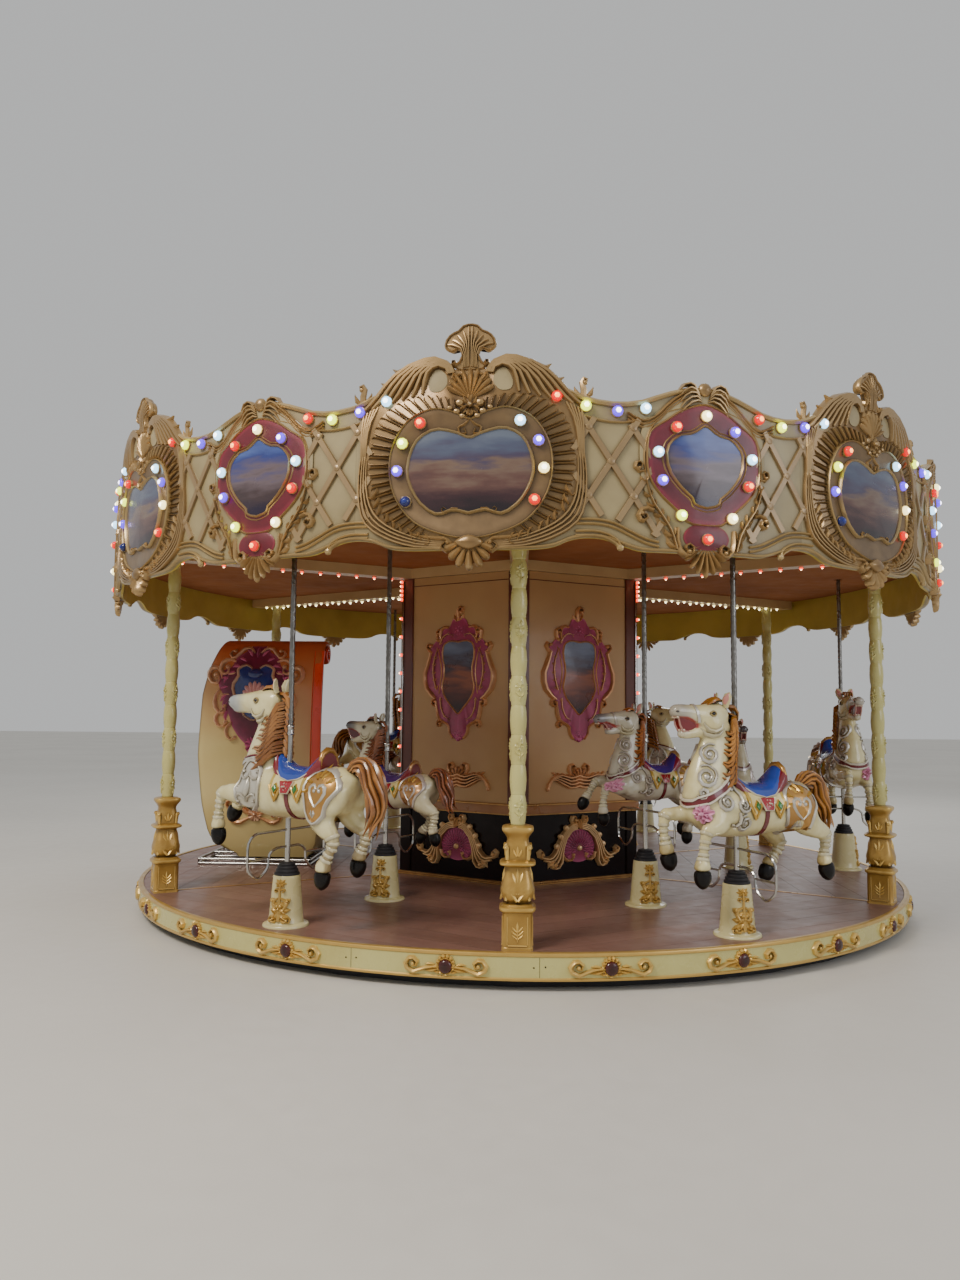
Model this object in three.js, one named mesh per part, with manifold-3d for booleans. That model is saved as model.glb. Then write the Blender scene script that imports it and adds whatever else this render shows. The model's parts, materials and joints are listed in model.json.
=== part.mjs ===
// A fairground carousel with rising horses, in millimetres, +Z up.
// The origin is on the turning axis at ground level, and the deck turns about it.
// Azimuth a is measured from the -Y side: a point at radius R stands at (R sin a, -R cos a).

import * as THREE from 'three';
import { mergeVertices } from 'three/addons/utils/BufferGeometryUtils.js';
import Module from 'manifold-3d';

const wasm = await Module();
wasm.setup();

// Clearances
const SEAT = 0.3; // air between pieces that rest on each other
const RUNNING = 12; // between the fixed base and what turns above it

// Base and turning deck
const SECTORS = 6;
const SECTOR_DEG = 360 / SECTORS;
const DECK_TOP = 200;
const DECK_THICK = 99.7;
const DECK_RADIUS = 3009.5;
const DECK_STEP_DEG = 6;
const DECK_INNER = 1000; // corner radius of the opening under the core
const SECTOR_INSET_DEG = 0.012;
const BASE = { radius: 2940, height: 45, pivot: 60, pivotTop: 92, shoulder: 120, sides: 36 };
const BED = { bottom: BASE.height + RUNNING, top: DECK_TOP - DECK_THICK - SEAT, bore: 60.6 };
const FASCIA = { inner: 3010, outer: 3046, panel: 3040, bead: 22, lip: 4, chamfer: 6 };

// Pillars, on a circle between the sectors
const PILLAR_CIRCLE = 2900;
const PILLAR_SIDES = 8;
const PLINTH = { width: 172, height: 190 };
const PEDESTAL_TOP = 665; // above the deck
const SHAFT = { thin: 41, fat: 46 };

// Core: a six-sided closed housing, corners in line with the pillars
const CORE = { corner: 1089, recess: 16, post: 95, ledgeBottom: 517, ledgeTop: 600, ledgeOut: 22 };

// Overhead work
const BEAM = { bottom: 2570, top: 2650, width: 130, hub: 1089, reach: 3190 };
const CEILING = { thick: 30, hole: 36, holeSides: 6 };
const ROOF = { eave: 2990, apex: 3720, thick: 14 };

// Crown of eight boards, each with a large and a small carved frame
const BOARDS = 8;
const BOARD_DEG = 360 / BOARDS;
const CROWN_PHASE_DEG = -4.65; // azimuth of the front large frame
const BOARD = { inner: 3230, outer: 3264, bottom: 2338, top: 3092, steps: 6, gapDeg: 0.006 };
const CARVED = { back: 3247, edge: 3290, rim: 3345, middle: 3315, rimAt: 0.62 };

// The carved frames, as rows of height above ground and half width
const LARGE_FRAME = [
  [2225, 30], [2300, 105], [2400, 330], [2560, 560], [2760, 600], [2960, 510], [3190, 440],
  [3310, 200], [3360, 90], [3450, 125], [3560, 30],
];
const SMALL_FRAME = [
  [2200, 30], [2300, 85], [2440, 190], [2640, 290], [2850, 285], [3020, 210], [3180, 165], [3285, 40],
];

// Guide cones that the poles run in
const CONE = { flange: 139, flangeThick: 16, foot: 104, top: 81, height: 298, tip: 30, tipZ: 372, slack: 0.5 };

// Poles and footrests; heights are above the lower footrest bar
const POLE = { radius: 16, twist: 17, collar: 24, collarLong: 60, sides: 8, bottom: -270, lowTop: 2735 };
const STROKE = { low: 395, high: 615 }; // height of the lower bar above the deck
const FOOTREST = { bar: 100, tube: 8, inside: 158, outside: 328, drop: 170, rung: 50 };
const HORSE_ABOVE_BAR = 150;
const BORE_SLACK = 0.45;

// The horses: azimuth, radius, height of the lower bar above the deck at rest, and size
const RIDES = [
  { azimuth: -29.6, radius: 2815, bar: 465, scale: 1 },
  { azimuth: -29.6, radius: 1850, bar: 450, scale: 0.78 },
  { azimuth: 27.1, radius: 2815, bar: 397, scale: 1 },
  { azimuth: 27.3, radius: 1880, bar: 530, scale: 0.78 },
  { azimuth: 90, radius: 2750, bar: 500, scale: 1 },
  { azimuth: 90, radius: 1850, bar: 430, scale: 0.78 },
  { azimuth: 150, radius: 2815, bar: 415, scale: 1 },
  { azimuth: 150, radius: 1850, bar: 545, scale: 0.78 },
  { azimuth: 210, radius: 2815, bar: 560, scale: 1 },
  { azimuth: 210, radius: 1850, bar: 440, scale: 0.78 },
];

// Chariot, standing in the sector at azimuth -90 and facing +Y
const CHARIOT = {
  left: -2745, right: -1655, rear: -290, front: 800, frame: 60, wall: 36,
  seatTop: 430, seatDepth: 430, sideLow: 520, sideRear: 800, frontTop: 790, shellRoom: 200,
};
const SHELL_WALL = 46;
// Centre line of the tall back, as [y, height above the deck]
const SHELL_LINE = [
  [-125, 61], [-205, 240], [-272, 520], [-292, 840], [-285, 1200], [-255, 1520],
  [-200, 1740], [-120, 1850], [-20, 1868], [45, 1810], [30, 1730], [-40, 1715],
];

const finish = (color, roughness, metalness = 0) =>
  new THREE.MeshStandardMaterial({ color, roughness, metalness });

const paint = {
  black: finish(0x18161a, 0.6),
  steel: finish(0xa9aaac, 0.3, 0.9),
  planks: finish(0x7a4a38, 0.55),
  cream: finish(0xe6dcb4, 0.35),
  gold: finish(0xb98f4a, 0.32, 0.8),
  goldCream: finish(0xd2bd86, 0.38, 0.3),
  wall: finish(0xd8b98c, 0.4),
  lowerWall: finish(0x1b0f0e, 0.2),
  ceiling: finish(0x8a5a48, 0.5),
  roof: finish(0xcfc6b0, 0.7),
  horse: finish(0xe9e4c4, 0.3),
  chariot: finish(0xd8be78, 0.35),
};

const radians = THREE.MathUtils.degToRad;
const onCircle = (radius, azimuth, z = 0) =>
  new THREE.Vector3(radius * Math.sin(radians(azimuth)), -radius * Math.cos(radians(azimuth)), z);
const inPlan = (radius, azimuth) => {
  const p = onCircle(radius, azimuth);
  return new THREE.Vector2(p.x, p.y);
};

const carousel = new THREE.Group();

// Adds a named piece to the carousel, turned and moved as asked.
function add(name, geometry, material, { at = new THREE.Vector3(), turn = 0 } = {}) {
  geometry.computeVertexNormals();
  const mesh = new THREE.Mesh(geometry, material);
  mesh.name = name;
  mesh.position.copy(at);
  mesh.rotation.z = turn;
  carousel.add(mesh);
}

// Manifold solid of a closed geometry.
function toSolid(geometry) {
  const bare = geometry.clone();
  bare.deleteAttribute('normal');
  bare.deleteAttribute('uv');
  const merged = mergeVertices(bare, 1e-3);
  return new wasm.Manifold(
    new wasm.Mesh({
      numProp: 3,
      vertProperties: new Float32Array(merged.attributes.position.array),
      triVerts: new Uint32Array(merged.index.array),
    }),
  );
}

function toGeometry(solid) {
  const { vertProperties, triVerts, numProp } = solid.getMesh();
  const geometry = new THREE.BufferGeometry();
  const position = new Float32Array((vertProperties.length / numProp) * 3);
  for (let i = 0; i < position.length / 3; i += 1) {
    position.set(vertProperties.subarray(i * numProp, i * numProp + 3), i * 3);
  }
  geometry.setAttribute('position', new THREE.BufferAttribute(position, 3));
  geometry.setIndex([...triVerts]);
  return geometry;
}

const join = (...geometries) =>
  toGeometry(geometries.map(toSolid).reduce((whole, next) => whole.add(next)));
const cut = (geometry, ...tools) =>
  toGeometry(tools.map(toSolid).reduce((whole, tool) => whole.subtract(tool), toSolid(geometry)));

// Closed geometry from points and triangles, with its faces turned outwards.
function closed(points, triangles) {
  let volume = 0;
  for (const [a, b, c] of triangles) {
    volume += points[a].dot(new THREE.Vector3().crossVectors(points[b], points[c]));
  }
  const outward = volume < 0 ? triangles.map(([a, b, c]) => [a, c, b]) : triangles;
  const geometry = new THREE.BufferGeometry().setFromPoints(points);
  geometry.setIndex(outward.flat());
  return geometry;
}

// Rows of rings joined into a closed skin; every ring has the same number of points.
function skin(rings) {
  const count = rings[0].length;
  const triangles = [];
  for (let i = 0; i + 1 < rings.length; i += 1) {
    for (let j = 0; j < count; j += 1) {
      const a = i * count + j;
      const b = i * count + ((j + 1) % count);
      triangles.push([a, b, b + count], [a, b + count, a + count]);
    }
  }
  const last = (rings.length - 1) * count;
  for (let j = 1; j + 1 < count; j += 1) {
    triangles.push([0, j + 1, j], [last, last + j, last + j + 1]);
  }
  return closed(rings.flat(), triangles);
}

// A limb or tube through stations [x, y, z, half width, half height].
// Widths lie along side, heights across it and the run of the limb.
function limb(stations, side, sides = 6) {
  const points = stations.map(([x, y, z]) => new THREE.Vector3(x, y, z));
  const rings = stations.map(([, , , width, height], i) => {
    const before = points[Math.max(i - 1, 0)];
    const after = points[Math.min(i + 1, points.length - 1)];
    const run = after.clone().sub(before).normalize();
    const up = new THREE.Vector3().crossVectors(run, side).normalize();
    return Array.from({ length: sides }, (_, j) => {
      const angle = ((j + 0.5) * 2 * Math.PI) / sides;
      return points[i].clone()
        .addScaledVector(side, width * Math.cos(angle))
        .addScaledVector(up, height * Math.sin(angle));
    });
  });
  return skin(rings);
}

// A turned solid from [radius, z] pairs that start and end on the axis.
function turned(profile, sides) {
  const points = profile.map(([radius, z]) => new THREE.Vector2(radius, z));
  const geometry = new THREE.LatheGeometry(points, sides);
  geometry.rotateX(Math.PI / 2);
  return weld(geometry);
}

// The lathe's doubled points on the seam and the axis are merged and flat faces dropped.
function weld(geometry) {
  geometry.deleteAttribute('normal');
  geometry.deleteAttribute('uv');
  const merged = mergeVertices(geometry, 1e-3);
  const index = merged.index.array;
  const points = [];
  const position = merged.attributes.position;
  for (let i = 0; i < position.count; i += 1) {
    points.push(new THREE.Vector3().fromBufferAttribute(position, i));
  }
  const triangles = [];
  for (let i = 0; i < index.length; i += 3) {
    const [a, b, c] = [index[i], index[i + 1], index[i + 2]];
    if (a !== b && b !== c && c !== a) triangles.push([a, b, c]);
  }
  return closed(points, triangles);
}

function slab(outline, bottom, top, holes = []) {
  const shape = new THREE.Shape(outline);
  shape.holes = holes.map((hole) => new THREE.Path(hole));
  const geometry = new THREE.ExtrudeGeometry(shape, { depth: top - bottom, bevelEnabled: false });
  geometry.translate(0, 0, bottom);
  return geometry;
}

function box(x0, x1, y0, y1, z0, z1) {
  const geometry = new THREE.BoxGeometry(x1 - x0, y1 - y0, z1 - z0);
  geometry.translate((x0 + x1) / 2, (y0 + y1) / 2, (z0 + z1) / 2);
  return geometry;
}

const circle = (radius, sides, centre = new THREE.Vector2(), start = 0) =>
  Array.from({ length: sides }, (_, i) => {
    const angle = start + (i * 2 * Math.PI) / sides;
    return new THREE.Vector2(centre.x + radius * Math.cos(angle), centre.y + radius * Math.sin(angle));
  });

// The fixed base: a low drum with the pivot that the deck turns on.
function basePlinth() {
  return turned([
    [0, 0], [BASE.radius, 0], [BASE.radius, BASE.height], [BASE.shoulder, BASE.height],
    [BASE.shoulder, BED.bottom - SEAT], [BASE.pivot, BED.bottom - SEAT], [BASE.pivot, BASE.pivotTop],
    [0, BASE.pivotTop],
  ], BASE.sides);
}

const deckArc = (from, to) => {
  const steps = Math.round((to - from) / DECK_STEP_DEG);
  return Array.from({ length: steps + 1 }, (_, i) => inPlan(DECK_RADIUS, from + (i * (to - from)) / steps));
};

function turntableBed() {
  const rim = deckArc(0, 360).slice(0, -1);
  return slab(rim, BED.bottom, BED.top, [circle(BED.bore, BASE.sides).reverse()]);
}

function deckSector() {
  const half = SECTOR_DEG / 2 - SECTOR_INSET_DEG;
  const outline = [inPlan(DECK_INNER, half), inPlan(DECK_INNER, -half), ...deckArc(-half, half)];
  return slab(outline, DECK_TOP - DECK_THICK, DECK_TOP);
}

function fascia() {
  const { inner, outer, panel, bead, lip, chamfer } = FASCIA;
  const [low, high] = [BED.bottom, DECK_TOP + lip];
  const profile = [
    [inner, low], [outer, low], [outer, low + bead], [panel, low + bead + chamfer],
    [panel, high - bead - chamfer], [outer, high - bead], [outer, high], [inner, high], [inner, low],
  ].map(([radius, z]) => new THREE.Vector2(radius, z));
  const geometry = new THREE.LatheGeometry(profile, 360 / DECK_STEP_DEG);
  geometry.rotateX(Math.PI / 2);
  return weld(geometry);
}

function pillar() {
  const foot = DECK_TOP + SEAT;
  const half = PLINTH.width / 2;
  const plinth = box(-half, half, -half, half, foot, foot + PLINTH.height);
  const shaftTop = BEAM.bottom - SEAT;
  const middle = (foot + PEDESTAL_TOP + shaftTop) / 2;
  const profile = [
    [0, foot + PLINTH.height - 20], [84, foot + PLINTH.height - 20], [90, foot + 222],
    [62, foot + 240], [98, foot + 335], [72, foot + 440], [98, foot + 455], [54, foot + 500],
    [54, foot + 570], [84, foot + PEDESTAL_TOP - 50], [84, foot + PEDESTAL_TOP],
    [SHAFT.thin, foot + PEDESTAL_TOP + 4], [SHAFT.fat, middle], [SHAFT.thin, shaftTop], [0, shaftTop],
  ];
  return join(plinth, turned(profile, PILLAR_SIDES));
}

// Plan of the core: six corner posts with panels set back between them.
function corePlan(grow = 0) {
  const corner = CORE.corner + grow;
  const outline = [];
  for (let i = 0; i < SECTORS; i += 1) {
    const here = inPlan(corner, i * SECTOR_DEG);
    const next = inPlan(corner, (i + 1) * SECTOR_DEG);
    const along = next.clone().sub(here).normalize();
    const inward = inPlan(1, (i + 0.5) * SECTOR_DEG).negate();
    const from = here.clone().addScaledVector(along, CORE.post);
    const to = next.clone().addScaledVector(along, -CORE.post);
    outline.push(here, from, from.clone().addScaledVector(inward, CORE.recess),
      to.clone().addScaledVector(inward, CORE.recess), to);
  }
  return outline;
}

const hexagon = (radius) => Array.from({ length: SECTORS }, (_, i) => inPlan(radius, i * SECTOR_DEG));

function corePlinth() {
  const [foot, shelf] = [DECK_TOP + SEAT, DECK_TOP + CORE.ledgeBottom];
  const panels = slab(corePlan(), foot, shelf + 1);
  return join(panels, slab(hexagon(CORE.corner + CORE.ledgeOut), shelf, DECK_TOP + CORE.ledgeTop));
}

function coreHousing() {
  return slab(corePlan(), DECK_TOP + CORE.ledgeTop + SEAT, BEAM.bottom - SEAT);
}

function canopyFrame() {
  const hub = slab(hexagon(BEAM.hub), BEAM.bottom, BEAM.top);
  const beams = hexagon(1).map((direction, i) => {
    const beam = box(-BEAM.width / 2, BEAM.width / 2, -BEAM.reach, -BEAM.hub / 2, BEAM.bottom, BEAM.top);
    return beam.rotateZ(radians(i * SECTOR_DEG));
  });
  return join(hub, ...beams);
}

// The crown's boards meet at even steps, which the ceiling's and the roof's rims follow.
const rimStep = BOARD_DEG / BOARD.steps;
const crownRim = (radius) => Array.from({ length: BOARDS * BOARD.steps }, (_, i) =>
  inPlan(radius, CROWN_PHASE_DEG + (i + 0.5) * rimStep));

function ceiling() {
  const holes = RIDES.map(({ azimuth, radius }) =>
    circle(CEILING.hole, CEILING.holeSides, inPlan(radius, azimuth)).reverse());
  const rim = crownRim(BOARD.inner - SEAT);
  return slab(rim, BEAM.top + SEAT, BEAM.top + SEAT + CEILING.thick, holes);
}

function roof() {
  const { eave, apex, thick } = ROOF;
  const rim = crownRim(BOARD.inner - SEAT);
  const ringAt = (z) => rim.map(({ x, y }) => new THREE.Vector3(x, y, z));
  const tip = (z) => new THREE.Vector3(0, 0, z);
  const points = [...ringAt(eave - thick), ...ringAt(eave), tip(apex - thick), tip(apex)];
  const count = rim.length;
  const triangles = [];
  for (let j = 0; j < count; j += 1) {
    const next = (j + 1) % count;
    triangles.push([next, j, 2 * count], [count + j, count + next, 2 * count + 1]);
    triangles.push([j, next, count + next], [j, count + next, count + j]);
  }
  return closed(points, triangles);
}

// A piece of the crown's cylinder.
function curvedBoard(fromDeg, toDeg) {
  const rings = Array.from({ length: BOARD.steps + 1 }, (_, i) => {
    const azimuth = fromDeg + ((toDeg - fromDeg) * i) / BOARD.steps;
    return [
      onCircle(BOARD.inner, azimuth, BOARD.bottom), onCircle(BOARD.outer, azimuth, BOARD.bottom),
      onCircle(BOARD.outer, azimuth, BOARD.top), onCircle(BOARD.inner, azimuth, BOARD.top),
    ];
  });
  return skin(rings);
}

// A carved frame laid round the crown: its rim stands proud of its edge and of its middle.
function carvedFrame(rows, azimuth) {
  const { back, edge, rim, middle, rimAt } = CARVED;
  const across = [
    [-1, edge], [-rimAt, rim], [0, middle], [rimAt, rim], [1, edge], [1, back], [0, back], [-1, back],
  ];
  return skin(rows.map(([z, halfWidth]) => across.map(([part, radius]) =>
    onCircle(radius, azimuth + THREE.MathUtils.radToDeg((part * halfWidth) / BOARD.outer), z))));
}

function crownBoard() {
  const from = -BOARD_DEG / 4 + BOARD.gapDeg;
  const to = (3 * BOARD_DEG) / 4 - BOARD.gapDeg;
  return join(
    curvedBoard(from, to), carvedFrame(LARGE_FRAME, 0), carvedFrame(SMALL_FRAME, BOARD_DEG / 2),
  );
}

// Flange, tapered housing and stepped rubber boot, open down the middle for the pole.
function guideCone() {
  const foot = DECK_TOP + SEAT;
  const { flange, flangeThick, foot: low, top, height, tip, tipZ, slack } = CONE;
  const bore = POLE.radius + slack;
  const profile = [
    [bore, foot], [flange, foot], [flange, foot + flangeThick], [low, foot + flangeThick + 4],
    [top, foot + height], [tip, foot + tipZ], [bore, foot + tipZ], [bore, foot],
  ].map(([radius, z]) => new THREE.Vector2(radius, z));
  const geometry = new THREE.LatheGeometry(profile, POLE.sides);
  geometry.rotateX(Math.PI / 2);
  return weld(geometry);
}

// Half of the footrest: out from the pole, down, round and back to the pole.
function footrest(way) {
  const { bar, tube, inside, outside, drop } = FOOTREST;
  const middle = (inside + outside) / 2;
  const path = [
    [0, bar], [outside - 50, bar], [outside, bar - 50], [outside, 60 - drop], [middle, -drop],
    [inside, 60 - drop], [inside, -30], [inside - 50, 0], [0, 0],
  ];
  const stations = path.map(([y, z]) => [0, way * y, z, tube, tube]);
  const rungZ = -FOOTREST.rung;
  const rung = [[0, way * inside, rungZ, tube, tube], [0, way * outside, rungZ, tube, tube]];
  const side = new THREE.Vector3(1, 0, 0);
  return [limb(stations, side, 5), limb(rung, side, 4)];
}

// The pole in its own frame, with z = 0 at the lower footrest bar.
function pole({ bar, scale }) {
  const collar = HORSE_ABOVE_BAR + 520 * scale;
  const top = POLE.lowTop - DECK_TOP - STROKE.low;
  const bottom = POLE.bottom;
  const { radius, twist, collar: wide, collarLong, sides } = POLE;
  const shaft = turned([
    [0, bottom], [radius, bottom], [radius, collar], [wide, collar], [wide, collar + collarLong],
    [twist, collar + collarLong], [twist, top], [0, top],
  ], sides);
  return join(shaft, ...footrest(1), ...footrest(-1));
}

const ACROSS = new THREE.Vector3(0, 1, 0);

// The galloping horse at full size: x forward, y to its left, z = 0 at the belly.
function horseBody() {
  const trunk = limb([
    [-530, 0, 205, 60, 75], [-390, 0, 185, 152, 172], [-60, 0, 165, 142, 160],
    [150, 0, 182, 150, 172], [312, 0, 220, 70, 90],
  ], ACROSS, 8);
  const neck = limb([
    [170, 0, 250, 95, 165], [175, 0, 430, 70, 118], [110, 0, 720, 42, 66],
  ], ACROSS);
  const head = limb([
    [70, 0, 700, 50, 60], [200, 0, 690, 60, 82], [520, 0, 690, 36, 40],
  ], ACROSS);
  const saddle = limb([
    [10, 0, 315, 110, 30], [-250, 0, 310, 160, 72], [-425, 0, 425, 60, 20],
  ], ACROSS);
  const tail = limb([
    [-480, 0, 280, 34, 34], [-680, 0, 260, 55, 55], [-760, 0, -40, 28, 28],
  ], ACROSS, 5);
  return [trunk, neck, head, saddle, tail];
}

function horseLegs() {
  const fore = (y, knee, hoof) => limb([
    [190, y, 130, 62, 85], [knee[0], y, knee[1], 37, 41], [hoof[0], y, hoof[1], 36, 38],
  ], ACROSS, 5);
  const hind = (y, hock, hoof) => limb([
    [-380, y, 150, 68, 105], [hock[0], y, hock[1], 35, 41], [hoof[0], y, hoof[1], 36, 38],
  ], ACROSS, 5);
  return [
    fore(92, [385, 95], [405, -150]), fore(-92, [440, 150], [480, -95]),
    hind(92, [-545, -40], [-500, -245]), hind(-92, [-500, -60], [-370, -270]),
  ];
}

// Shoulders and hips taper to the limbs; the bore is for the pole.
function horse({ scale }) {
  const body = join(...horseBody(), ...horseLegs()).scale(scale, scale, scale);
  body.translate(0, 0, HORSE_ABOVE_BAR);
  const bore = new THREE.CylinderGeometry(POLE.radius + BORE_SLACK, POLE.radius + BORE_SLACK, 900, POLE.sides);
  bore.rotateX(Math.PI / 2);
  bore.translate(0, 0, HORSE_ABOVE_BAR + 100);
  return cut(body, bore);
}

function chariotBody() {
  const { left, right, rear, front, frame, wall, seatTop, seatDepth, sideLow, sideRear, frontTop } = CHARIOT;
  const foot = DECK_TOP + SEAT;
  const floor = foot + frame;
  const tubRear = rear + CHARIOT.shellRoom;
  const chassis = box(left + 60, right - 60, rear, front - 40, foot, floor);
  const bench = box(left + wall / 2, right - wall / 2, tubRear, tubRear + seatDepth, floor - 1, DECK_TOP + seatTop);
  const sideOutline = [
    [tubRear, floor - 1], [front, floor - 1], [front + 40, DECK_TOP + 420], [front, DECK_TOP + frontTop],
    [front - 110, DECK_TOP + 640], [front - 360, DECK_TOP + sideLow], [tubRear + 260, DECK_TOP + 620],
    [tubRear, DECK_TOP + sideRear],
  ].map(([y, z]) => new THREE.Vector2(y, z));
  const cheek = (x) => {
    const panel = slab(sideOutline, 0, wall);
    panel.rotateX(Math.PI / 2);
    panel.rotateZ(Math.PI / 2);
    return panel.translate(x, 0, 0);
  };
  const dash = box(left + 5, right - 5, front - 40, front, floor - 1, DECK_TOP + frontTop - 60);
  const base = box(left + 5, right - 5, tubRear, front, floor - 1, floor + 30);
  return join(chassis, bench, base, cheek(left), cheek(right - wall), dash);
}

// The tall back is one bent sheet that rolls forward at its top.
function chariotShell() {
  const foot = DECK_TOP + SEAT + CHARIOT.frame + SEAT;
  const line = SHELL_LINE.map(([y, z]) => new THREE.Vector2(y, z + DECK_TOP));
  const side = (way) => line.map((point, i) => {
    const run = line[Math.min(i + 1, line.length - 1)].clone().sub(line[Math.max(i - 1, 0)]).normalize();
    const across = new THREE.Vector2(-run.y, run.x).multiplyScalar((way * SHELL_WALL) / 2);
    const { x, y } = point.clone().add(across);
    return new THREE.Vector2(x, i === 0 ? foot : y);
  });
  const outline = [...side(1), ...side(-1).reverse()];
  const shell = slab(outline, 0, CHARIOT.right - CHARIOT.left);
  shell.rotateX(Math.PI / 2);
  shell.rotateZ(Math.PI / 2);
  return shell.translate(CHARIOT.left, 0, 0);
}

add('base_plinth', basePlinth(), paint.black);
add('turntable_bed', turntableBed(), paint.black);
add('fascia_ring', fascia(), paint.cream);
add('core_plinth', corePlinth(), paint.lowerWall);
add('core_housing', coreHousing(), paint.wall);
add('canopy_frame', canopyFrame(), paint.cream);
add('ceiling', ceiling(), paint.ceiling);
add('roof', roof(), paint.roof);
add('chariot_body', chariotBody(), paint.chariot);
add('chariot_shell', chariotShell(), paint.chariot);

for (let i = 0; i < SECTORS; i += 1) {
  const turn = radians(i * SECTOR_DEG);
  add(`deck_sector_${i + 1}`, deckSector(), paint.planks, { turn: turn + radians(SECTOR_DEG / 2) });
  add(`pillar_${i + 1}`, pillar(), paint.gold, { at: onCircle(PILLAR_CIRCLE, i * SECTOR_DEG), turn });
}

for (let i = 0; i < BOARDS; i += 1) {
  add(`crown_board_${i + 1}`, crownBoard(), paint.goldCream, { turn: radians(CROWN_PHASE_DEG + i * BOARD_DEG) });
}

RIDES.forEach((ride, i) => {
  const turn = radians(ride.azimuth) + Math.PI;
  add(`guide_cone_${i + 1}`, guideCone(), paint.cream, { at: onCircle(ride.radius, ride.azimuth), turn });
  const at = onCircle(ride.radius, ride.azimuth, DECK_TOP + ride.bar);
  add(`pole_${i + 1}`, pole(ride), paint.steel, { at, turn });
  add(`horse_${i + 1}`, horse(ride), paint.horse, { at, turn });
});

export default carousel;
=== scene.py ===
"""Looks of a fairground carousel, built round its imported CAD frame.

Metres, +Z up, the turning axis at x = y = 0 and the ground at z = 0. Azimuth is measured from the -Y side,
so a point at radius R stands at (R sin a, -R cos a). Carvings are worked out flat, with x to the right, y up
and z towards the onlooker, and are then laid on the crown, a panel or a cone by a whole-array mapping.
"""

import json
import logging
import math
from collections.abc import Callable, Sequence
from dataclasses import asdict, dataclass, replace
from enum import Enum

import bpy
import numpy as np
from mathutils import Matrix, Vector
from mathutils.bvhtree import BVHTree

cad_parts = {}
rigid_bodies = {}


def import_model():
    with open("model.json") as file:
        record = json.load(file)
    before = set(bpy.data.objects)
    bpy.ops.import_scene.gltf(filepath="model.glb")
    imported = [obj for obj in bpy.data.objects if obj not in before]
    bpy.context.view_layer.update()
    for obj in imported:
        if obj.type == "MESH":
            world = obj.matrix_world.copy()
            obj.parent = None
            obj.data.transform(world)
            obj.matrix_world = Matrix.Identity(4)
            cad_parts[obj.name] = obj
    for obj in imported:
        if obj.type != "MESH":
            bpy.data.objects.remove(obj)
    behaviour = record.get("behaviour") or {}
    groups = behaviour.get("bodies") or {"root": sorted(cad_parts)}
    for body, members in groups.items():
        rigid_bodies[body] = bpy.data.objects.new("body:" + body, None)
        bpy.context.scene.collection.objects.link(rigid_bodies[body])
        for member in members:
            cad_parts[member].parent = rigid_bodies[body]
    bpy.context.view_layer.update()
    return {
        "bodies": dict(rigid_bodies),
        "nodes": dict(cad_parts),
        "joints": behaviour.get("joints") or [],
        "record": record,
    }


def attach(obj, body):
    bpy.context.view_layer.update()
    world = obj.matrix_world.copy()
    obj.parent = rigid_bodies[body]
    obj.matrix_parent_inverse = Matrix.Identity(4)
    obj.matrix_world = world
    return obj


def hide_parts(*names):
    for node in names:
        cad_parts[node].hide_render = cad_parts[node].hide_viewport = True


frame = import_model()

log = logging.getLogger("carousel")

TAU = 2.0 * math.pi
DECK = 0.2  # top of the boards
DECK_RADIUS = 3.0095  # outer edge of the boards
SECTORS = 6  # of the deck, the core and the canopy
PILLAR_CIRCLE = 2.9  # radius that the pillars stand on
CROWN_PHASE = -4.65  # azimuth of the front large frame, in degrees
BOARDS = 8  # of the crown
BOARD_RADIUS = 3.264  # where flat x is laid off round the crown
BEAM_BOTTOM = 2.57  # height of the beams' under side
POINT = 0.0004  # half width of a pointed end, so that it stays a closed tip
MIDDLE = 0.01  # share that an outline is drawn in to before its face closes
SLACK, LEAST_SLACK, MOST_SLACK = 0.26, 0.0008, 0.0034  # how far a swept line's chords may leave it, by half width
CHORD = 5.5  # its longest chord, by half width
OUTLINE_SLACK, OUTLINE_CHORD = 0.0011, 0.07  # the same for outlines, in metres
SKIN_SHARE = 0.26  # share of a body's faces that are kept
SHARP = math.radians(38.0)  # edges that turn more than this stay crisp

Map = Callable[[np.ndarray], np.ndarray]


# Shapes


@dataclass
class Solid:
    """Points with the quads and triangles that close them."""

    points: np.ndarray
    quads: np.ndarray
    tris: np.ndarray

    def mapped(self, mapping: Map) -> "Solid":
        """The same faces over points put through a whole-array mapping."""
        return Solid(mapping(self.points), self.quads, self.tris)

    def moved(self, offset: Sequence[float] = (0, 0, 0), turn: float = 0.0, scale: float = 1.0) -> "Solid":
        """Scaled, turned about z by an angle in radians, then shifted."""
        c, s = math.cos(turn) * scale, math.sin(turn) * scale
        matrix = np.array([[c, -s, 0], [s, c, 0], [0, 0, scale]])
        return self.mapped(lambda p: p @ matrix.T + np.asarray(offset, float))

    def mirrored(self) -> "Solid":
        """The copy on the other side of x = 0, with its faces turned round to stay outward."""
        return Solid(self.points * (-1, 1, 1), self.quads[:, ::-1], self.tris[:, ::-1])


def merged(solids: Sequence[Solid]) -> Solid:
    """One solid from several, each with its own points."""
    starts = np.cumsum([0] + [len(s.points) for s in solids[:-1]])
    return Solid(np.concatenate([s.points for s in solids]), np.concatenate([s.quads + k
        for s, k in zip(solids, starts)]), np.concatenate([s.tris + k for s, k in zip(solids, starts)]))


def mm(columns: int, *values: float) -> tuple[tuple[float, ...], ...]:
    """Rows of so many columns, given in millimetres, as metres."""
    return tuple(tuple(v / 1000 for v in values[i:i + columns]) for i in range(0, len(values), columns))


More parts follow.
